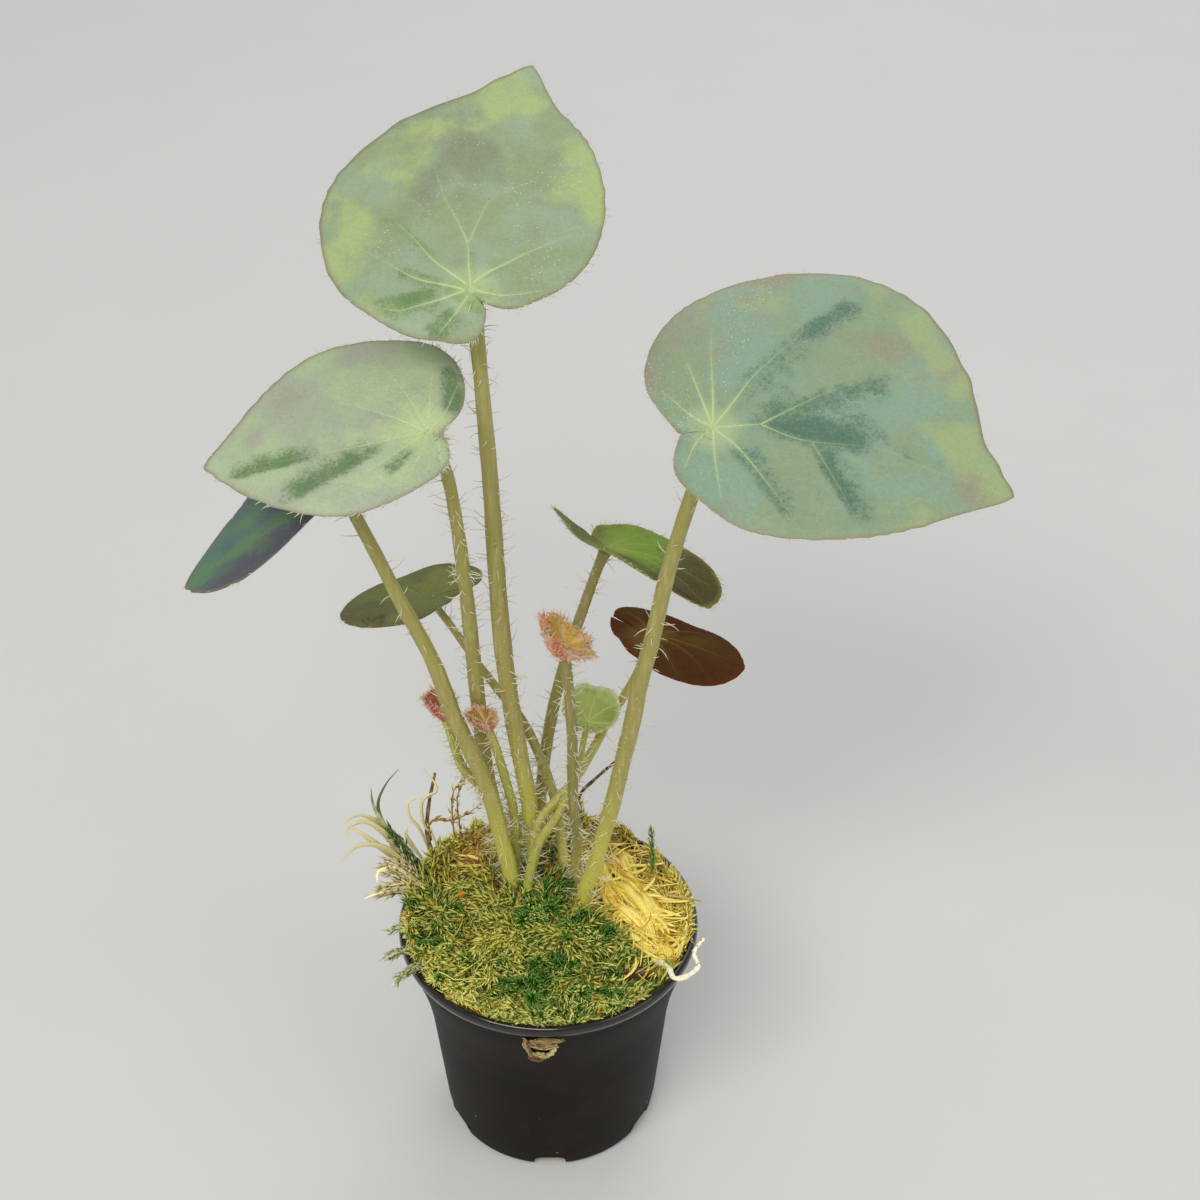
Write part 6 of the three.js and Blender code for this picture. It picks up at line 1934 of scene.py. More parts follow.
        look = MossFinish("dry claw moss", linear(50, 54, 24), linear(178, 172, 100), linear(126, 138, 68),
                          linear(70, 104, 42), linear(238, 226, 180), 0.35).look()
        return shape.piece("moss_claws", look, ["claw_moss"])

    def strands(self) -> None:
        """Makes the single strands over the rim, the white curl, the shoot and the scrap."""
        rims = [[[-35, -13, 71], [-38, -14.5, 75.6], [-41, -15.6, 77.2], [-45, -17.5, 77], [-48, -19, 76]],
                [[-33, -18, 71], [-35.5, -20, 75.4], [-38.5, -22.5, 77.2], [-42, -25, 76.6], [-45, -28, 74.6]],
                [[-37, -5, 71], [-39, -5.5, 75.6], [-42, -6, 77.4], [-45.5, -7, 77], [-48.5, -7, 75.8]]]
        dry = MossFinish("dry rim strand", linear(90, 88, 50), linear(178, 182, 114), linear(148, 162, 92),
                         linear(118, 146, 78), linear(222, 216, 174), 0.4).look()
        steps = 20
        t = np.linspace(0, 1, steps)
        width = 0.8 * (1 - 0.85 * t**2)
        for k, line in enumerate(rims):
            shape = Shape()
            path = smooth_path(line, steps)[None]
            tubes(shape, path, width[None], 0.6 * width[None], 8, tone=0.3 * k, tip=t[None])
            bunch = np.repeat(path[:, :17:2], 4, axis=0) + self.rng.normal(0, 0.5, (4, 1, 3))
            self.leafy(shape, bunch, RIM_LEAFING, self.rng.uniform(0, 0.9, 4))
            shape.piece(f"rim_strand_piece_{k + 1}", dry, [f"rim_strand_{k + 1}"])
        shape = Shape()
        steps = 60
        curl = smooth_path([[31, -18, 71], [33, -20, 76.4], [35.4, -24, 78], [37, -27.4, 77.6],
                            [40, -27, 77.6], [44, -23, 77.8], [43, -18, 78.2], [46, -13, 79]], steps)
        t = np.linspace(0, 1, steps)
        width = 0.85 * (1 - 0.5 * t**3) * (1 + 0.14 * np.sin(40 * t) + 0.1 * np.sin(97 * t))
        tubes(shape, curl[None], width[None], 0.9 * width[None], 10, tone=0.0, tip=0.5 + 0.5 * t[None])
        self.leafy(shape, curl[None, ::3], CURL_LEAFING, np.zeros(1))
        white = MossFinish("white curled strand", linear(150, 140, 110), linear(230, 218, 180), linear(216, 204, 158),
                           linear(196, 188, 140), linear(246, 238, 210), 0.5).look()
        shape.piece("white_curl", white, ["curl_strand"])
        shape = Shape()
        stem = smooth_path([[31, 15, 73], [31.4, 16, 83], [31, 18, 93]], 14)[None]
        self.leafy(shape, stem, SHOOT_LEAFING, np.full(1, 0.9))
        green = MossFinish("upright shoot", linear(60, 70, 26), linear(150, 168, 70), linear(126, 158, 62),
                           linear(112, 148, 56), linear(190, 206, 116), 0.4).look()
        shape.piece("upright_shoot", green, ["moss_shoot"])
        self.scrap()

    def scrap(self) -> bpy.types.Object:
        """Makes the dried scrap under the rim: a ragged four-sided ring of matted fibres and a strip above.

        Returns:
            The piece.
        """
        loops = [[(-5.6, 69.6), (-5.4, 66.5), (-4.6, 62.2), (-4, 59.2)], [(-4.4, 59.6), (-1.4, 58.6), (0.2, 60.6)],
                 [(0, 60.4), (1.8, 64), (2.6, 67)], [(-4.8, 68), (-1, 66.4), (2.8, 67.2)],
                 [(-4, 61.8), (-1.6, 61), (0.4, 61.6)], [(-3.6, 70), (0.6, 69.8), (5.4, 69.9)]]
        # The tip mark of each loop: how much of the pale tips colour and painted light it gets.
        tips = (0.5, 0.1, 0.8, 0.5, 0.7, 0.3)
        steps = 12
        shape = Shape()
        for line, tip in zip(loops, tips):
            base = smooth_path([(x, 0, z) for x, z in line], steps)
            for _ in range(self.scrap_copies):
                path = base + self.rng.normal(0, 0.4, (1, 3)) + self.rng.normal(0, 0.3, (steps, 3))
                wall = np.interp(path[:, 2], *np.transpose(self.skin))
                path[:, 1] = -np.sqrt((wall + self.rng.uniform(0.4, 1.7)) ** 2 - path[:, 0] ** 2)
                width = self.rng.uniform(0.25, 0.5) * np.sin(np.pi * np.linspace(0.1, 0.92, steps))
                tubes(shape, path[None], width[None], width[None], 6, tone=self.rng.uniform(0, 1), tip=tip)
        look = MossFinish("dried scrap", linear(60, 46, 24), linear(164, 142, 82), linear(142, 116, 66),
                          linear(122, 92, 54), linear(210, 194, 134), 0.8).look()
        return shape.piece("dried_scrap", look, ["moss_scrap"])


CLAW_HOOKS = [
    [(-37, 13, 76), (-42.5, 14, 86), (-47, 14.5, 93), (-51.2, 19, 102.5), (-48.8, 23, 107.7), (-45, 26, 111)],
    [(-37, 14, 76), (-43, 15, 86), (-49, 15.5, 97), (-52.5, 18.5, 103.5), (-53.3, 22, 107)],
    [(-37, 12, 76), (-43, 12.5, 86), (-50, 14.5, 96.5), (-55.5, 16, 99), (-60.5, 14, 97), (-58.5, 11, 94.8)],
    [(-37, 15, 76), (-43, 16.5, 87), (-50, 17, 96.5), (-56.4, 18, 99.7), (-62, 19, 95.6)],
    [(-37, 11, 76), (-43, 11, 86), (-50, 11, 93.4), (-57, 11, 93.6), (-62.3, 9, 89)],
    [(-38, 12, 77), (-46, 12, 87), (-53, 12, 95), (-61.8, 14, 101)]]
WHITE_HOOKS = [[(-37, 9, 76), (-42, 8, 82.5), (-47, 7, 88), (-50.8, 5, 88.5), (-51, 3, 86)],
               [(-36, 8, 76), (-42, 7, 80.6), (-48, 4, 83), (-55, 0, 82.4)]]
BACK_HOOKS = [
    [(-34, 22, 76), (-35.8, 24, 86), (-38.2, 25, 89), (-38.5, 27, 98), (-34.2, 29, 100), (-38.7, 30, 109)],
    [(-36, 22, 76), (-39.9, 24, 89), (-42.6, 25, 92.6), (-43.1, 27, 96.5), (-40.7, 28, 97.7), (-35.5, 28, 98)],
    [(-37, 20, 76), (-42.8, 22, 85), (-43.8, 22, 88.8), (-43.1, 23, 90.7), (-41.6, 23, 91.2)]]
BACK_TUFT = [
    [(-27, 26, 76), (-28, 27, 91.6), (-28.2, 29, 98), (-25.3, 30, 104.4), (-26.3, 31, 109)],
    [(-29, 26, 76), (-29.8, 27, 93), (-29.3, 28, 100), (-26.5, 30, 103.6), (-23.4, 31, 107)],
    [(-36.4, 24, 84), (-36.4, 24, 92), (-30.5, 26, 90.5), (-26, 28, 90.7), (-22, 30, 92.7)]]


@dataclass
class Litter:
    """Bark, straws, twig, papery scales, loose hair-thin straws and seeds."""

    rng: np.random.Generator = field(default_factory=lambda: np.random.default_rng(SEED + 400))

    def rod(self, name: str, points: Sequence[Sequence[float]], radius: float, look: bpy.types.Material,
            nodes: Sequence[str]) -> bpy.types.Object:
        """Makes one dry rod along a curve, a little uneven and tapered.

        Args:
            name: The piece's name.
            points: The curve's points.
            radius: Half thickness at the foot.
            look: Its material.
            nodes: The CAD nodes that it stands for.

        Returns:
            The piece.
        """
        steps = 40
        path = smooth_path(points, steps)[None]
        t = np.linspace(0, 1, steps)
        width = radius * (1 - 0.45 * t) * (1 + 0.1 * np.sin(31 * t) + 0.05 * np.sin(77 * t))
        shape = Shape()
        tubes(shape, path, width[None], 0.8 * width[None], 12)
        return shape.piece(name, look, nodes)

    def bark(self) -> bpy.types.Object:
        """Makes the bark strip: a bent plank whose upper face has long ridges.

        Returns:
            The piece.
        """
        x0, y0, length, width, thick = 22.0, -23.0, 17.0, 3.0, 2.0
        rows, sides = 60, 28
        t = np.linspace(-0.5, 0.5, rows)
        turn = np.arange(sides) * 2 * np.pi / sides
        box = 0.5 * np.stack([np.sign(np.cos(turn)) * np.abs(np.cos(turn)) ** 0.4 * width,
                              np.sign(np.sin(turn)) * np.abs(np.sin(turn)) ** 0.4 * thick], axis=-1)
        ends = (1 - 0.5 * np.abs(2 * t) ** 6)[:, None]
        y = box[None, :, 0] * ends * (1 + 0.12 * np.sin(9 * t)[:, None])
        ridge = 0.14 * np.sin(9 * box[None, :, 0] + 3 * np.sin(7 * t)[:, None]) * (box[None, :, 1] > 0)
        z = box[None, :, 1] * ends + ridge + 0.4 * np.sin(5 * t)[:, None]
        x = np.broadcast_to((t * length)[:, None], y.shape)
        c, s = math.cos(0.1), math.sin(0.1)
        top = float(GROUND.bare(x0, y0)) + 1.6
        grid = np.stack([x0 + c * x - s * y, y0 + s * x + c * y, top + z], axis=-1)
        body = grid.reshape(-1, 3)
        poles = np.vstack([body[:sides].mean(0), body[-sides:].mean(0)])
        shape = Shape()
        shape.add(np.vstack([body, poles]), closed_faces(rows, sides))
        look = BarkFinish("dark bark", linear(66, 44, 28), linear(146, 108, 70), (0.15, 1, 1)).look()
        return shape.piece("bark_piece", look, ["bark_strip"])

    def scales(self) -> None:
        """Makes the papery scales: thin pointed husks that clasp the stalks' feet."""
        look = BarkFinish("papery scale", linear(150, 92, 36), linear(222, 158, 84), (1, 1, 0.15), 0.5).look()
        for k, (x, y) in enumerate([(3.2, 6.6), (0.2, 15.6), (-1.0, 21.5)]):
            foot = float(GROUND.bare(x, y)) - 1.2
            rows, across = 24, 15
            t = np.linspace(0, 1, rows)[:, None]
            a = np.linspace(-1, 1, across)[None, :]
            half = 1.5 * np.sin(np.pi * (0.25 + 0.73 * t)) ** 0.8
            cup = 1.1 * a**2 * (1 - 0.5 * t)
            shape = Shape()
            skins = []
            for offset in (0.12, -0.12):
                px = half * a
                py = cup + 0.5 * t + offset
                c, s = math.cos(k), math.sin(k)
                skins.append(np.stack([x + c * px - s * py, y + s * px + c * py, foot + 9 * t + 0 * a], axis=-1))
            grid = np.concatenate([skins[0], skins[1][:, ::-1]], axis=1)
            ring = ring_faces(rows, 2 * across)[:, ::-1]
            body = grid.reshape(-1, 3)
            j = np.arange(across - 1)
            last = (rows - 1) * 2 * across
            cap = np.stack([j, j + 1, 2 * across - 2 - j, 2 * across - 1 - j], axis=-1)
            shape.add(body, [ring, cap, (cap + last)[:, ::-1]])
            shape.piece(f"husk_{k + 1}", look, [f"stalk_scale_{k + 1}"])

    def loose(self) -> bpy.types.Object:
        """Makes thin pale straws that lie on the moss.

        Returns:
            The piece.
        """
        straws = [
            [(-19, -14, 79), (-10, -3, 81), (-4, 6, 80)], [(-17, -12, 78.5), (-9, -5, 80), (-6, 2, 80.5)],
            [(-3, -34, 77), (-1, -30, 79), (-5, -26, 78)], [(-22, -30, 76.5), (-20, -24, 78), (-19, -20, 78)],
            [(36, 6, 78), (41, 4, 79), (46, 2, 79.5)], [(-34, -2, 78), (-28, 2, 79), (-20, 4, 79)],
            [(-12, 16, 79), (-20, 10, 79.5), (-26, 8, 79)], [(12, 30, 78), (18, 24, 82), (20, 14, 82)],
            [(26, 24, 79), (30, 16, 81), (34, 8, 79)]]
        steps = 16
        shape = Shape()
        paths = np.stack([smooth_path(line, steps) for line in straws])
        width = np.linspace(1, 0.4, steps)[None] * self.rng.uniform(0.22, 0.4, len(straws))[:, None]
        tubes(shape, paths, width, width, 8, tone=self.rng.uniform(0, 1, len(straws))[:, None], tip=0.6)
        look = MossFinish("pale straw", linear(120, 98, 52), linear(204, 184, 112), linear(180, 156, 90),
                          linear(150, 122, 66), linear(230, 216, 164), 0.5).look()
        return shape.piece("loose_straws", look, [])

    def seeds(self) -> bpy.types.Object:
        """Makes two small orange seeds that lie on the moss.

        Returns:
            The piece.
        """
        shape = Shape()
        t = np.linspace(-1, 1, 11)
        swell = np.sqrt(1.02 - t**2)
        for x, y in ((-26.0, 4.0), (19.0, -15.0)):
            top = float(GROUND.top(x, y)) + 4.0
            path = np.array([x, y, top]) + t[:, None] * [1.1, 0.4, 0.1]
            tubes(shape, path[None], swell, 0.8 * swell, 10)
        look = BarkFinish("orange seed", linear(206, 128, 14), linear(226, 162, 34), rough=0.4).look()
        return shape.piece("orange_seeds", look, [])

    def build(self) -> None:
        """Makes all of it."""
        straw = BarkFinish("brown straw", linear(92, 66, 36), linear(164, 132, 80), (1, 1, 0.1)).look()
        twig = BarkFinish("grey twig", linear(78, 62, 50), linear(142, 122, 102), (1, 1, 0.15)).look()
        self.bark()
        straw_line = [(-33, 20, 72), (-37.5, 24, 86), (-36.9, 28, 95), (-34.8, 32, 104.3)]
        self.rod("brown_straw", straw_line, 0.8, straw, ["dry_straw"])
        self.rod("grey_twig", [(7, 36, 74), (9.5, 34, 94), (14, 33, 101), (21, 33, 109)], 0.9, twig, ["dry_stalk"])
        self.scales()
        self.loose()
        self.seeds()


# The plant's own sizes

# Each blade's glint bars place small white painted highlights.
BLADES = [
    Blade("leaf_top", Hue.TOP, (-15.5, 5, 281.7), (-2.2, 70.4, 316.5), 62, 0, (221, 135),
          (75, 62.5, 59, 51.5, 38.5, 25.5, 17.5, 15, 12, 7), (75, 63, 56, 46, 35.5, 25, 17.5, 11, 5, 4),
          38, 5, (4, 3), 3, 18, 0.8, 7, 1.5,
          veins=[[(0.9, 0.5), (7.1, 2.3), (13, 3.7)], [(13, 3.7), (19.3, 7.6), (24.8, 11.6), (31.5, 15.1), (45, 22)],
                 [(13, 3.7), (21.4, 2.5), (27.4, 1), (32.3, -4.1), (36.3, -8.7), (50, -16)],
                 [(1.9, 1.5), (5.5, 9.1), (8.3, 12.8), (12.4, 17), (24, 31)],
                 [(0.4, 1.7), (-4.1, 7.1), (-7, 12.7), (-8.7, 16.5), (-7.5, 26)],
                 [(0.4, 1.7), (0.7, 13.1), (4.3, 21.5), (10, 33)],
                 [(2.6, 0.4), (5.3, -2.1), (8.5, -6.2), (14.4, -12.7), (23, -24)],
                 [(0.8, -0.5), (-0.3, -8.2), (3, -18)], [(-1.2, 0.8), (-7.6, 2.7), (-13, 5.4)]],
          patches=[(13, 3, 1, 0.6, 2.2, 0.5), (4, 7, 20, 26, 3.4, 0.5), (0, 8, -6, -5, 5, 1),
                   (-1, 5, -8, 24, 5, 0.85), (-5, 2, -14, 10, 5, 0.8), (2, 0.4, 9, -8, 2, 0.5),
                   (12, 17, 22, 29, 3, 0.4), (0, 4, 4, 22, 3.5, 0.6)],
          limes=[(50, 16, 30, 30, 7, 0.6), (20, 36, 2, 34, 6, 0.7), (62, 2, 68, 0, 8, 0.9), (44, -18, 30, -27, 6, 0.8),
                 (-8, 20, -6, 28, 5, 0.5)],
          greys=[(40, 10, 52, 22, 8, 0.8), (26, 22, 34, 12, 5, 0.5), (40, -8, 30, -14, 5, 0.4)],
          dew=[(14, -12, 4, -18, 5, 0.8), (30, 8, 22, 14, 5, 0.6), (8, 20, 14, 26, 4, 0.7), (30, -6, 40, -16, 4, 0.8),
               (20, -10, 8, -26, 3, 0.7), (44, 6, 46, 20, 2.5, 0.5)],
          rings=50, spokes=120, seed=1),
    Blade("leaf_left", Hue.LEFT, (-26.4, -10, 250.7), (-82.3, -14.8, 245.5), 64, -6, (148, 208),
          (56.5, 50, 42, 32, 22, 16, 12, 9, 6, 4), (56.5, 50, 45, 40.5, 33.5, 24, 12, 4.5, 3.5, 4),
          28, 4, (3, 4), 2, 10, 0.7, 6, 1.5,
          veins=[[(0.4, -1.1), (12.2, 1.2), (24.7, 2), (37.2, 2.4), (53, 0.6)],
                 [(0.4, -1.1), (8.1, -5.3), (19, -11.4), (36, -19)],
                 [(0.4, -1.1), (4.1, -10.3), (9.8, -21.6), (17, -33)],
                 [(0.3, -1.6), (-0.9, -9.5), (-2, -19.5), (-1.3, -28)],
                 [(-0.2, -1.5), (-4.3, -5.6), (-8, -14)], [(1.2, -0.6), (7.5, 4.2), (15.2, 8.7), (30, 15.5)],
                 [(0.5, 0.1), (2.8, 6.2), (7, 13.5)], [(-0.5, 0.2), (-2.2, 5.3), (-2.1, 11)]],
          patches=[(39, 15, 10, 2.4, 4, 1), (52, 5, 26, 2.2, 3.4, 1), (-5.4, -22, -5.4, -2, 5, 0.95),
                   (12, 12, 2.6, 3, 3.4, 0.7)],
          limes=[(8, -4, 2, 2, 7, 0.8), (0, 6, 16, 12, 4, 0.4), (26, -6, 14, -4, 5, 0.4)],
          greys=[(44, -10, 34, -18, 5, 0.5), (10, -30, 22, -26, 5, 0.5)],
          dew=[(8, -14, 16, -16, 5, 1.0), (4, -8, 10, -10, 4, 0.8)],
          rings=44, spokes=105, spines=150, seed=2),
    Blade("leaf_right", Hue.RIGHT, (42.8, -15, 254.9), (115.4, -27.9, 246.1), 64, 4, (204, 152),
          (74.5, 66.5, 68, 69.5, 56.5, 40, 28, 17, 10, 8), (74.5, 61, 50, 40, 30.5, 23.5, 18.5, 14, 10, 8),
          45, 5, (4, 3), 2, 20, 1.0, 7, 1.5,
          veins=[[(0, 0.9), (-6.1, 2.5), (-14, 8)], [(0, 0.9), (-1.4, 7.9), (-4.6, 23), (-6.6, 38)],
                 [(0, 0.9), (-4.8, 8.6), (-13, 24)], [(0, 0.9), (6.4, 2.1), (11.1, 3.3)],
                 [(11.1, 3.3), (19.6, 11.5), (27.3, 18.4), (42.3, 29.4), (58, 37)],
                 [(11.1, 3.3), (21.2, 1.4), (40.7, 3.7), (53.4, 1.5), (71, -0.4)],
                 [(0, 0.9), (3.9, 9.1), (6.4, 15.9), (13.2, 28.2), (20.4, 40.1), (28.2, 51)],
                 [(0, 0.9), (6.1, -3.6), (14.9, -11.8), (22.3, -19.6), (26, -24)],
                 [(24.2, 1.3), (31.3, -7.6), (39, -18)],
                 [(0, 0.9), (2.2, -9), (5.9, -20)], [(-1, -0.2), (-3.3, -5.7), (-4.5, -13)],
                 [(42.3, 29.4), (48, 22), (60, 16)]],
          patches=[(6, 3.4, 43, 3, 8, 1), (43, 29, 10, 4.5, 6, 0.7), (29, 52, 13, 29, 4.5, 0.85),
                   (20, 40, 1, 6, 8, 0.5), (2, -1.4, 26, -24, 4.5, 0.65), (22, 3.5, 41, -20, 4.5, 0.9),
                   (30, 6.5, 44, 5.5, 4, 0.6), (42, 4, 60, 1.6, 3, 0.35), (-2, 8, 4, 0, 5, 0.4)],
          limes=[(58, 30, 44, 52, 8, 0.7), (60, 10, 74, 0, 8, 0.8), (60, -14, 34, -25, 6, 0.6),
                 (14, 58, -10, 44, 6, 0.4), (-2, 30, 6, 40, 5, 0.4)],
          greys=[(2, 50, 14, 60, 8, 0.6), (30, 36, 52, 34, 7, 0.6), (-18, 20, -10, 36, 7, 0.5),
                 (66, -2, 72, -6, 6, 0.6)],
          dew=[(-10, 2, -16, 14, 5, 0.7), (0, 12, 2, 40, 2.5, 0.9), (0, 40, 6, 52, 4, 0.7)],
          rings=50, spokes=120, spines=130, spine_length=1.6, fuzz=1500, seed=3),
    Blade("leaf_low_left", Hue.TEAL, (-52.8, 4, 227.7), (-89.1, -24.3, 216.3), 76, -60, (126, 230),
          (47.5, 46, 38, 14.5, 11, 10.5, 10.5, 9.5, 9, 9), (47.5, 35, 25, 22, 21, 19, 15.5, 12, 10, 9),
          22, 3, (1, 1), 0, 10, 0.5, 6, 1.2,
          veins=[[(-0.5, -1.4), (16.7, 2.4), (26, 2.2), (35.6, 1.3), (46, 0.4)], [(12.5, 2.3), (17, -0.6), (21.3, -8)],
                 [(23.7, 2.5), (27.9, -3.5), (30.9, -9)], [(16.7, 2.4), (19.4, 8.2)], [(28.2, 2.2), (33, 10)],
                 [(-0.5, -1.4), (4, -12), (8, -20)], [(-0.5, -1.4), (-8, -8), (-12, -12)],
                 [(-0.5, -1.4), (4, 8), (8, 12)]],
          patches=[(38, 8, 14, 10, 5, 0.6)], limes=[(44, 0.6, 10, 1.4, 2.6, 1), (36, -6, 20, -8, 5, 0.5)],
          greys=[(42, 12, 18, 12, 8, 1)],
          rings=32, spokes=76, spines=90, spine_length=1.5, fuzz=300, slot="leaf_teal", seed=4),
    Blade("leaf_back_left", Hue.BACK, (-34, 30, 173), (-57.2, 17.9, 175), 100, 0, (163, 193),
          (26, 27, 25.5, 19.5, 14, 10.5, 8.5, 8, 9, 12), (26, 23.5, 20, 16, 15, 17.5, 22, 23, 18, 13),
          17, 1, (1, 1), 0, 10, 0.4, 5, 1.2,
          veins=[[(-0.6, 0), (12.1, 2.7), (24.2, -0.8)], [(-0.6, 0), (3.9, -9.6), (12, -12)],
                 [(-0.6, 0), (-7.4, -7), (-12, -15)], [(-0.6, 0), (-12.4, -3.9)], [(-0.6, 0), (8.3, 8.1), (17.2, 13)]],
          patches=[(14, 8, 24, 6, 4, 0.7)], limes=[(-2, -4, -12, -8, 7, 0.9)],
          rings=26, spokes=66, spines=60, spine_length=1.2, fuzz=200, slot="leaf_green", seed=5),
    Blade("leaf_folded", Hue.YOUNG, (17.7, 25, 192.8), (47.3, 5.5, 187.8), 76, 113, (176, 179),
          (34, 34.5, 30, 21, 15, 11.5, 9.5, 8.5, 7, 6), (34, 31, 25, 20, 17, 15.5, 15, 15, 17, 9),
          16, 3, (1, 0), -4.5, 16, 0.3, 5, 0.6,
          veins=[[(-0.4, 0.9), (8.9, 2.7), (22.4, 2.7), (32.9, -0.2)], [(-0.4, 0.9), (4.2, 10.1)],
                 [(-0.4, 0.9), (8.6, 8.4), (20.2, 14)], [(2.9, 1.9), (14, 5.2), (30.4, 7)],
                 [(-0.4, 0.9), (8, -8), (18, -14)],
                 [(-0.4, 0.9), (-2, -10), (-4, -14)]],
          patches=[(34, -40, 37, 40, 16, 1.3)],
          limes=[(2, 4, 10, 6, 7, 1.0), (2, -8, 14, -10, 6, 0.9)], greys=[(4, 16, 20, 18, 4, 0.9)],
          fold=(18, 27), rings=30, spokes=75, spines=170, spine_length=1.9, fuzz=120, slot="leaf_green", seed=6),
    Blade("leaf_bronze", Hue.BRONZE, (30, 33, 156.5), (56.7, 15, 159), 98, 0, (169, 187),
          (32, 28, 23, 18, 14, 12.5, 14.5, 18, 18, 15), (32, 33, 31, 23, 14, 10.5, 9.5, 10.5, 12.5, 15),
          17, 1, (1, 1), 0, 10, 0.4, 5, 1.2,
          veins=[[(-1, 1.6), (12.9, 1.2), (29.4, 0.5)], [(-1, 1.6), (15.9, -3.6), (28.5, -12)],
                 [(-1, 1.6), (12.6, -9), (22, -18)], [(-1, 1.6), (8.7, 8), (18, 11)],
                 [(-1, 1.6), (-7.3, 5.8), (-14, 8)],
                 [(-1, 1.6), (0.7, -6.4), (3, -13)]],
          patches=[(20, -16, 28, -10, 5, 0.7)], limes=[(4, 4, 16, 4, 4, 0.7)],
          rings=28, spokes=70, spines=40, spine_length=0.9, fuzz=0, margin=6, slot="leaf_bronze", seed=7),
    Blade("leaf_tiny", Hue.TINY, (12, 17, 136.6), (14.6, 22.7, 146.1), 30, 5, (178, 178),
          (11, 11.5, 12, 11, 10, 7, 5, 4, 3, 2.5), (11, 11.5, 12, 11, 9, 6.5, 4.5, 3.5, 3, 2.5),
          10, -2.5, (0, 0), 0, 5, 0.9, 11, 0.3,
          veins=[[(0, 0), (10, 0)], [(0, 0), (6, 5), (8, 9)], [(0, 0), (6, -5), (8, -9)],
                 [(0, 0), (1, 6)], [(0, 0), (1, -6)]],
          limes=[(9, -4, 9, 4, 4, 1.0)], dew=[(10, -5, 10, 5, 3, 0.5)],
          fold=(18, 18), rings=26, spokes=60, spines=70, spine_length=1.6, fuzz=80, twig_gap=3.5,
          slot="leaf_green", seed=8),
]

GREEN_STALK = StalkFinish("stalk yellow green", foot=linear(222, 218, 96), top=linear(164, 156, 82),
                          flush=linear(180, 158, 96), flushed=0.15)
PEACH_STALK = StalkFinish("stalk olive", foot=linear(200, 190, 104), top=linear(146, 138, 76),
                          flush=linear(184, 146, 92), flushed=0.25)
LIME_STALK = StalkFinish("stalk lime", foot=linear(206, 206, 96), top=linear(178, 174, 80),
                         flush=linear(190, 164, 88), flushed=0.12)

LEAF_STALKS = [
    Stalk("leafstalk_top", [(-5.6, 17.2), (-5.2, 17.2, 90), (-5.6, 16, 106), (-7.6, 14.8, 123.7), (-10.1, 13.1, 147.9),
                            (-11.7, 11.6, 170.4), (-12.5, 9.8, 196.7), (-13.1, 8.1, 225.1), (-14, 6.7, 248),
                            (-14.8, 5.6, 267)], (2.5, 2.6, 1.8), GREEN_STALK, 322, blade=BLADES[0], seed=1),
    Stalk("leafstalk_left", [(-14, 22.5), (-15.2, 21.6, 92), (-18, 19.2, 115), (-19.3, 14.7, 144.8), (-19.9, 9, 170.6),
                             (-20.4, 0.3, 200.1), (-21.5, -4.9, 222.8), (-22.8, -7.7, 236.6)],
          (2.2, 2.2, 1.5), GREEN_STALK, 255, blade=BLADES[1], seed=2),
    Stalk("leafstalk_right", [(9, 3.6), (11.2, 3, 83.5), (13.4, 2.6, 91), (16.1, 1.6, 104.7), (19.4, 0.4, 121.3),
                              (22, -0.8, 137.4), (24.6, -2.4, 153.2), (26.6, -4, 168.5), (29.4, -5.8, 183.4),
                              (32.6, -8.3, 204.8), (36.2, -11.1, 223.8), (39.6, -13.2, 239)],
          (2.4, 2.4, 1.8), GREEN_STALK, 195, blade=BLADES[2], seed=3, foot_hairs=9),
    Stalk("leafstalk_low_left", [(-9.6, 9), (-11.4, 8.4, 85), (-13.6, 8, 98.4), (-16.8, 7.5, 117.7), (-21.2, 7, 133),
                                 (-25.9, 6.5, 148.1), (-30.8, 5.8, 167.8), (-38.5, 5, 188.8), (-44.9, 4.4, 207.1),
                                 (-49.4, 4.2, 219)],
          (2.5, 2.4, 1.6), GREEN_STALK, 90, blade=BLADES[3], seed=4, foot_hairs=3),
    Stalk("leafstalk_back_left", [(5, 15.8), (4.2, 17.6, 84), (2.3, 20, 101.6), (-1.5, 22, 116.4), (-7.6, 24, 132),
                                  (-14.2, 25.8, 141.5), (-20.2, 27.4, 150.5), (-27, 29, 162)],
          (1.6, 1.45, 1.0), GREEN_STALK, 112, blade=BLADES[4], seed=5),
    Stalk("leafstalk_folded", [(-2.6, 27), (-2.9, 27, 90), (-2.2, 27, 104), (-0.3, 27, 121), (3.8, 26.6, 144.5),
                               (10.8, 26, 171), (15.2, 25.4, 186)],
          (1.9, 1.8, 1.4), PEACH_STALK, 180, blade=BLADES[5], seed=6),
    Stalk("leafstalk_bronze", [(-4.6, 10.6), (-5, 10.8, 86), (-2.4, 12.6, 102), (2.7, 15.5, 108), (7.2, 18.5, 112),
                               (12.8, 22, 120.7), (17.6, 26, 129), (22, 29, 135.5), (26.2, 31.5, 143)],
          (1.5, 1.5, 1.1), LIME_STALK, 82, blade=BLADES[6], seed=7),
    Stalk("leafstalk_tiny", [(-5.6, 4.4), (-6, 5, 84), (-2.2, 7.5, 99), (2.4, 10, 105.5), (6, 13.2, 111.5),
                             (9.2, 15, 119), (10.4, 16.2, 128)],
          (1.5, 1.4, 0.8), LIME_STALK, 97, blade=BLADES[7], seed=8),
]

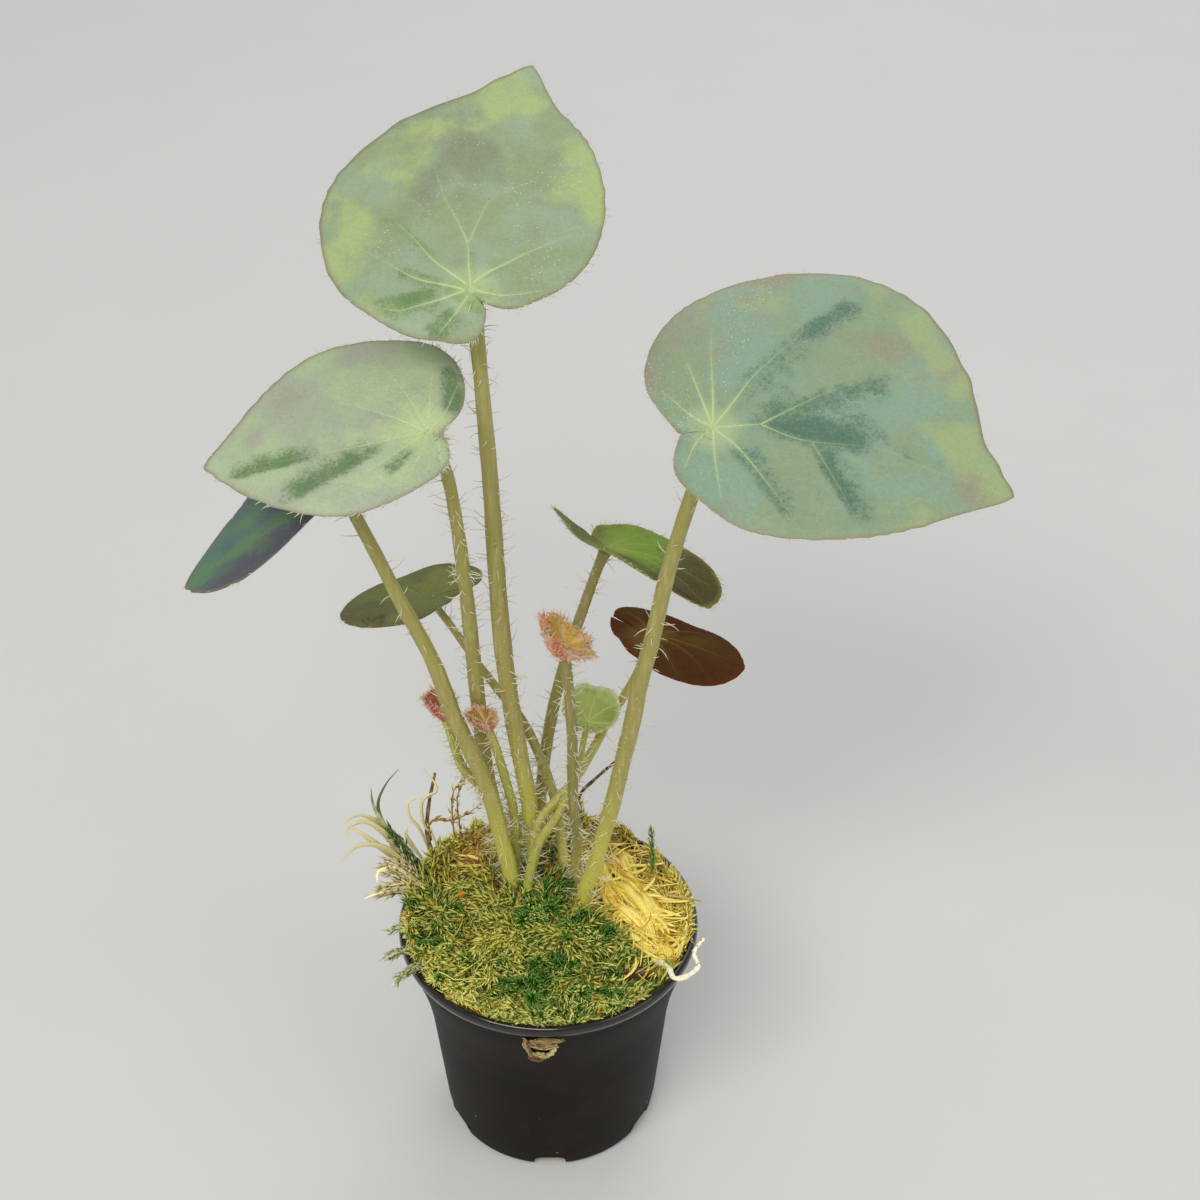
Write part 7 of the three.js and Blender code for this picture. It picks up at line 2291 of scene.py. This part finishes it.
SPROUT_STALKS = [
    Stalk("sproutstalk_red", [(8.6, 9.6), (8.4, 9, 86), (8.4, 8.5, 102), (7.6, 8, 118), (7.5, 7, 142), (6.1, 6, 168.4)],
          (1.8, 1.6, 1.5), PEACH_STALK, 247, seed=9),
    Stalk("sproutstalk_orange", [(-9.6, 13.8), (-9.8, 13.4, 88), (-10.2, 13, 106), (-12.2, 12, 119), (-14.2, 10.4, 131),
                                 (-16.2, 9.4, 140)],
          (1.5, 1.4, 1.3), LIME_STALK, 195, seed=10),
    Stalk("sproutstalk_pink", [(-13.6, 16), (-13.8, 15.6, 88), (-14.2, 14.8, 101), (-17.6, 13, 113), (-24.4, 12.4, 123),
                               (-27.4, 12.2, 135.7), (-28.6, 11.8, 142)],
          (1.5, 1.4, 1.3), LIME_STALK, 285, (2.0, 5.0), seed=11, foot_hairs=1),
]

SPROUTS = [
    Sprout("bud_red", SPROUT_STALKS[0], 10.5, 7.3, (0.05, -0.25, 0.97),
           SproutFinish("bud skin red", low=linear(206, 76, 26), high=linear(216, 112, 56),
                        inside=linear(216, 176, 66)), 900, 1, 0.75),
    Sprout("bud_orange", SPROUT_STALKS[1], 8, 4.0, (-0.25, -0.3, 0.9),
           SproutFinish("bud skin orange", low=linear(196, 84, 28), high=linear(190, 100, 44),
                        inside=linear(176, 136, 60)), 460, 2, 0.2),
    Sprout("bud_pink", SPROUT_STALKS[2], 9, 4.2, (-0.2, -0.1, 0.97),
           SproutFinish("bud skin pink", low=linear(192, 54, 50), high=linear(190, 84, 66),
                        inside=linear(176, 100, 66)), 500, 3, 0.1),
]


# Studio


@dataclass
class Studio:
    """Pale floor, soft lights and the photograph's camera. Lengths are in metres."""

    floor_half: float = 3.0
    floor_gap: float = 0.0002
    lit_point: tuple[float, float, float] = (0.0, 0.0, 0.16)
    lens: float = 60.0
    sensor: float = 36.0
    camera_place: tuple[float, float, float] = (0.0155, -0.432, 0.504)
    camera_pitch: float = 35.8
    sky: float = 0.42

    def floor(self) -> None:
        """Lays one square under the pot as stage."""
        corners = [(self.floor_half * x, self.floor_half * y, -self.floor_gap)
                   for x, y in ((-1, -1), (1, -1), (1, 1), (-1, 1))]
        mesh = bpy.data.meshes.new("floor")
        mesh.from_pydata(corners, [], [(0, 1, 2, 3)])
        made = bpy.data.objects.new("floor", mesh)
        mesh.materials.append(FloorFinish().look())
        bpy.context.scene.collection.objects.link(made)

    def lamp(self, name: str, place: tuple[float, float, float], size: float, power: float, tint: Colour,
             wide: float = 1.0) -> None:
        """Hangs a soft light that looks at the plant's middle; it is size high and wide times as long.

        Args:
            name: The light's name.
            place: Where it hangs.
            size: Its height.
            power: Its power in watts.
            tint: Its colour.
            wide: Its width over its height.
        """
        data = bpy.data.lights.new(name, "AREA")
        data.shape = "RECTANGLE"
        data.size = size * wide
        data.size_y = size
        data.energy = power
        data.color = tint
        made = bpy.data.objects.new(name, data)
        made.location = place
        aim = np.array(self.lit_point) - np.array(place)
        made.rotation_mode = "QUATERNION"
        made.rotation_quaternion = Vector(aim).to_track_quat("-Z", "Y")
        bpy.context.scene.collection.objects.link(made)

    def lights(self) -> None:
        """Sets a soft key from above and in front on the left, a fill, a back light and the sky."""
        self.lamp("key", (-0.68, -1.67, 2.16), 0.8, 38, (1.0, 0.98, 0.95), 2.4)
        self.lamp("fill", (1.6, -1.0, 1.2), 1.4, 6, (0.95, 0.98, 1.0))
        self.lamp("back", (0.4, 1.5, 1.4), 1.2, 7, (1.0, 1.0, 1.0))
        world = bpy.data.worlds.new("studio")
        world.use_nodes = True
        shade = world.node_tree.nodes["Background"]
        shade.inputs[0].default_value = (0.94, 0.95, 0.96, 1)
        shade.inputs[1].default_value = self.sky
        bpy.context.scene.world = world
        bpy.context.scene.view_settings.view_transform = "Standard"

    def camera(self) -> None:
        """Sets the camera: the photograph's place, pitch and lens."""
        data = bpy.data.cameras.new("view")
        data.lens = self.lens
        data.sensor_width = self.sensor
        data.clip_start = 0.01
        made = bpy.data.objects.new("view", data)
        made.location = self.camera_place
        made.rotation_euler = (math.radians(90 - self.camera_pitch), 0, 0)
        bpy.context.scene.collection.objects.link(made)
        bpy.context.scene.camera = made

    def build(self) -> None:
        """Makes the camera, the floor and the lights."""
        self.camera()
        self.floor()
        self.lights()


def main() -> None:
    """Builds every piece in order."""
    logging.basicConfig(level=logging.INFO, format="%(message)s")
    Studio().build()
    Pot().build()
    moss = Moss()
    moss.bed()
    moss.green()
    moss.gold()
    moss.brown()
    moss.claws()
    moss.strands()
    Litter().build()
    skins = {hue: finish.look() for hue, finish in BLADE_FINISHES.items()}
    for blade in BLADES:
        shape = Shape()
        blade.build(shape)
        shape.piece(blade.name, skins[blade.hue], [blade.name.replace("leaf", "blade", 1)])
    for stalk in [*LEAF_STALKS, *SPROUT_STALKS]:
        stalk.build()
    for sprout in SPROUTS:
        sprout.build()
    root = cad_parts["rootstock"]
    root.data.materials.clear()
    root.data.materials.append(BarkFinish("root skin", linear(84, 60, 34), linear(150, 118, 70)).look())
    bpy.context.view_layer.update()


if __name__ == "__main__":
    main()
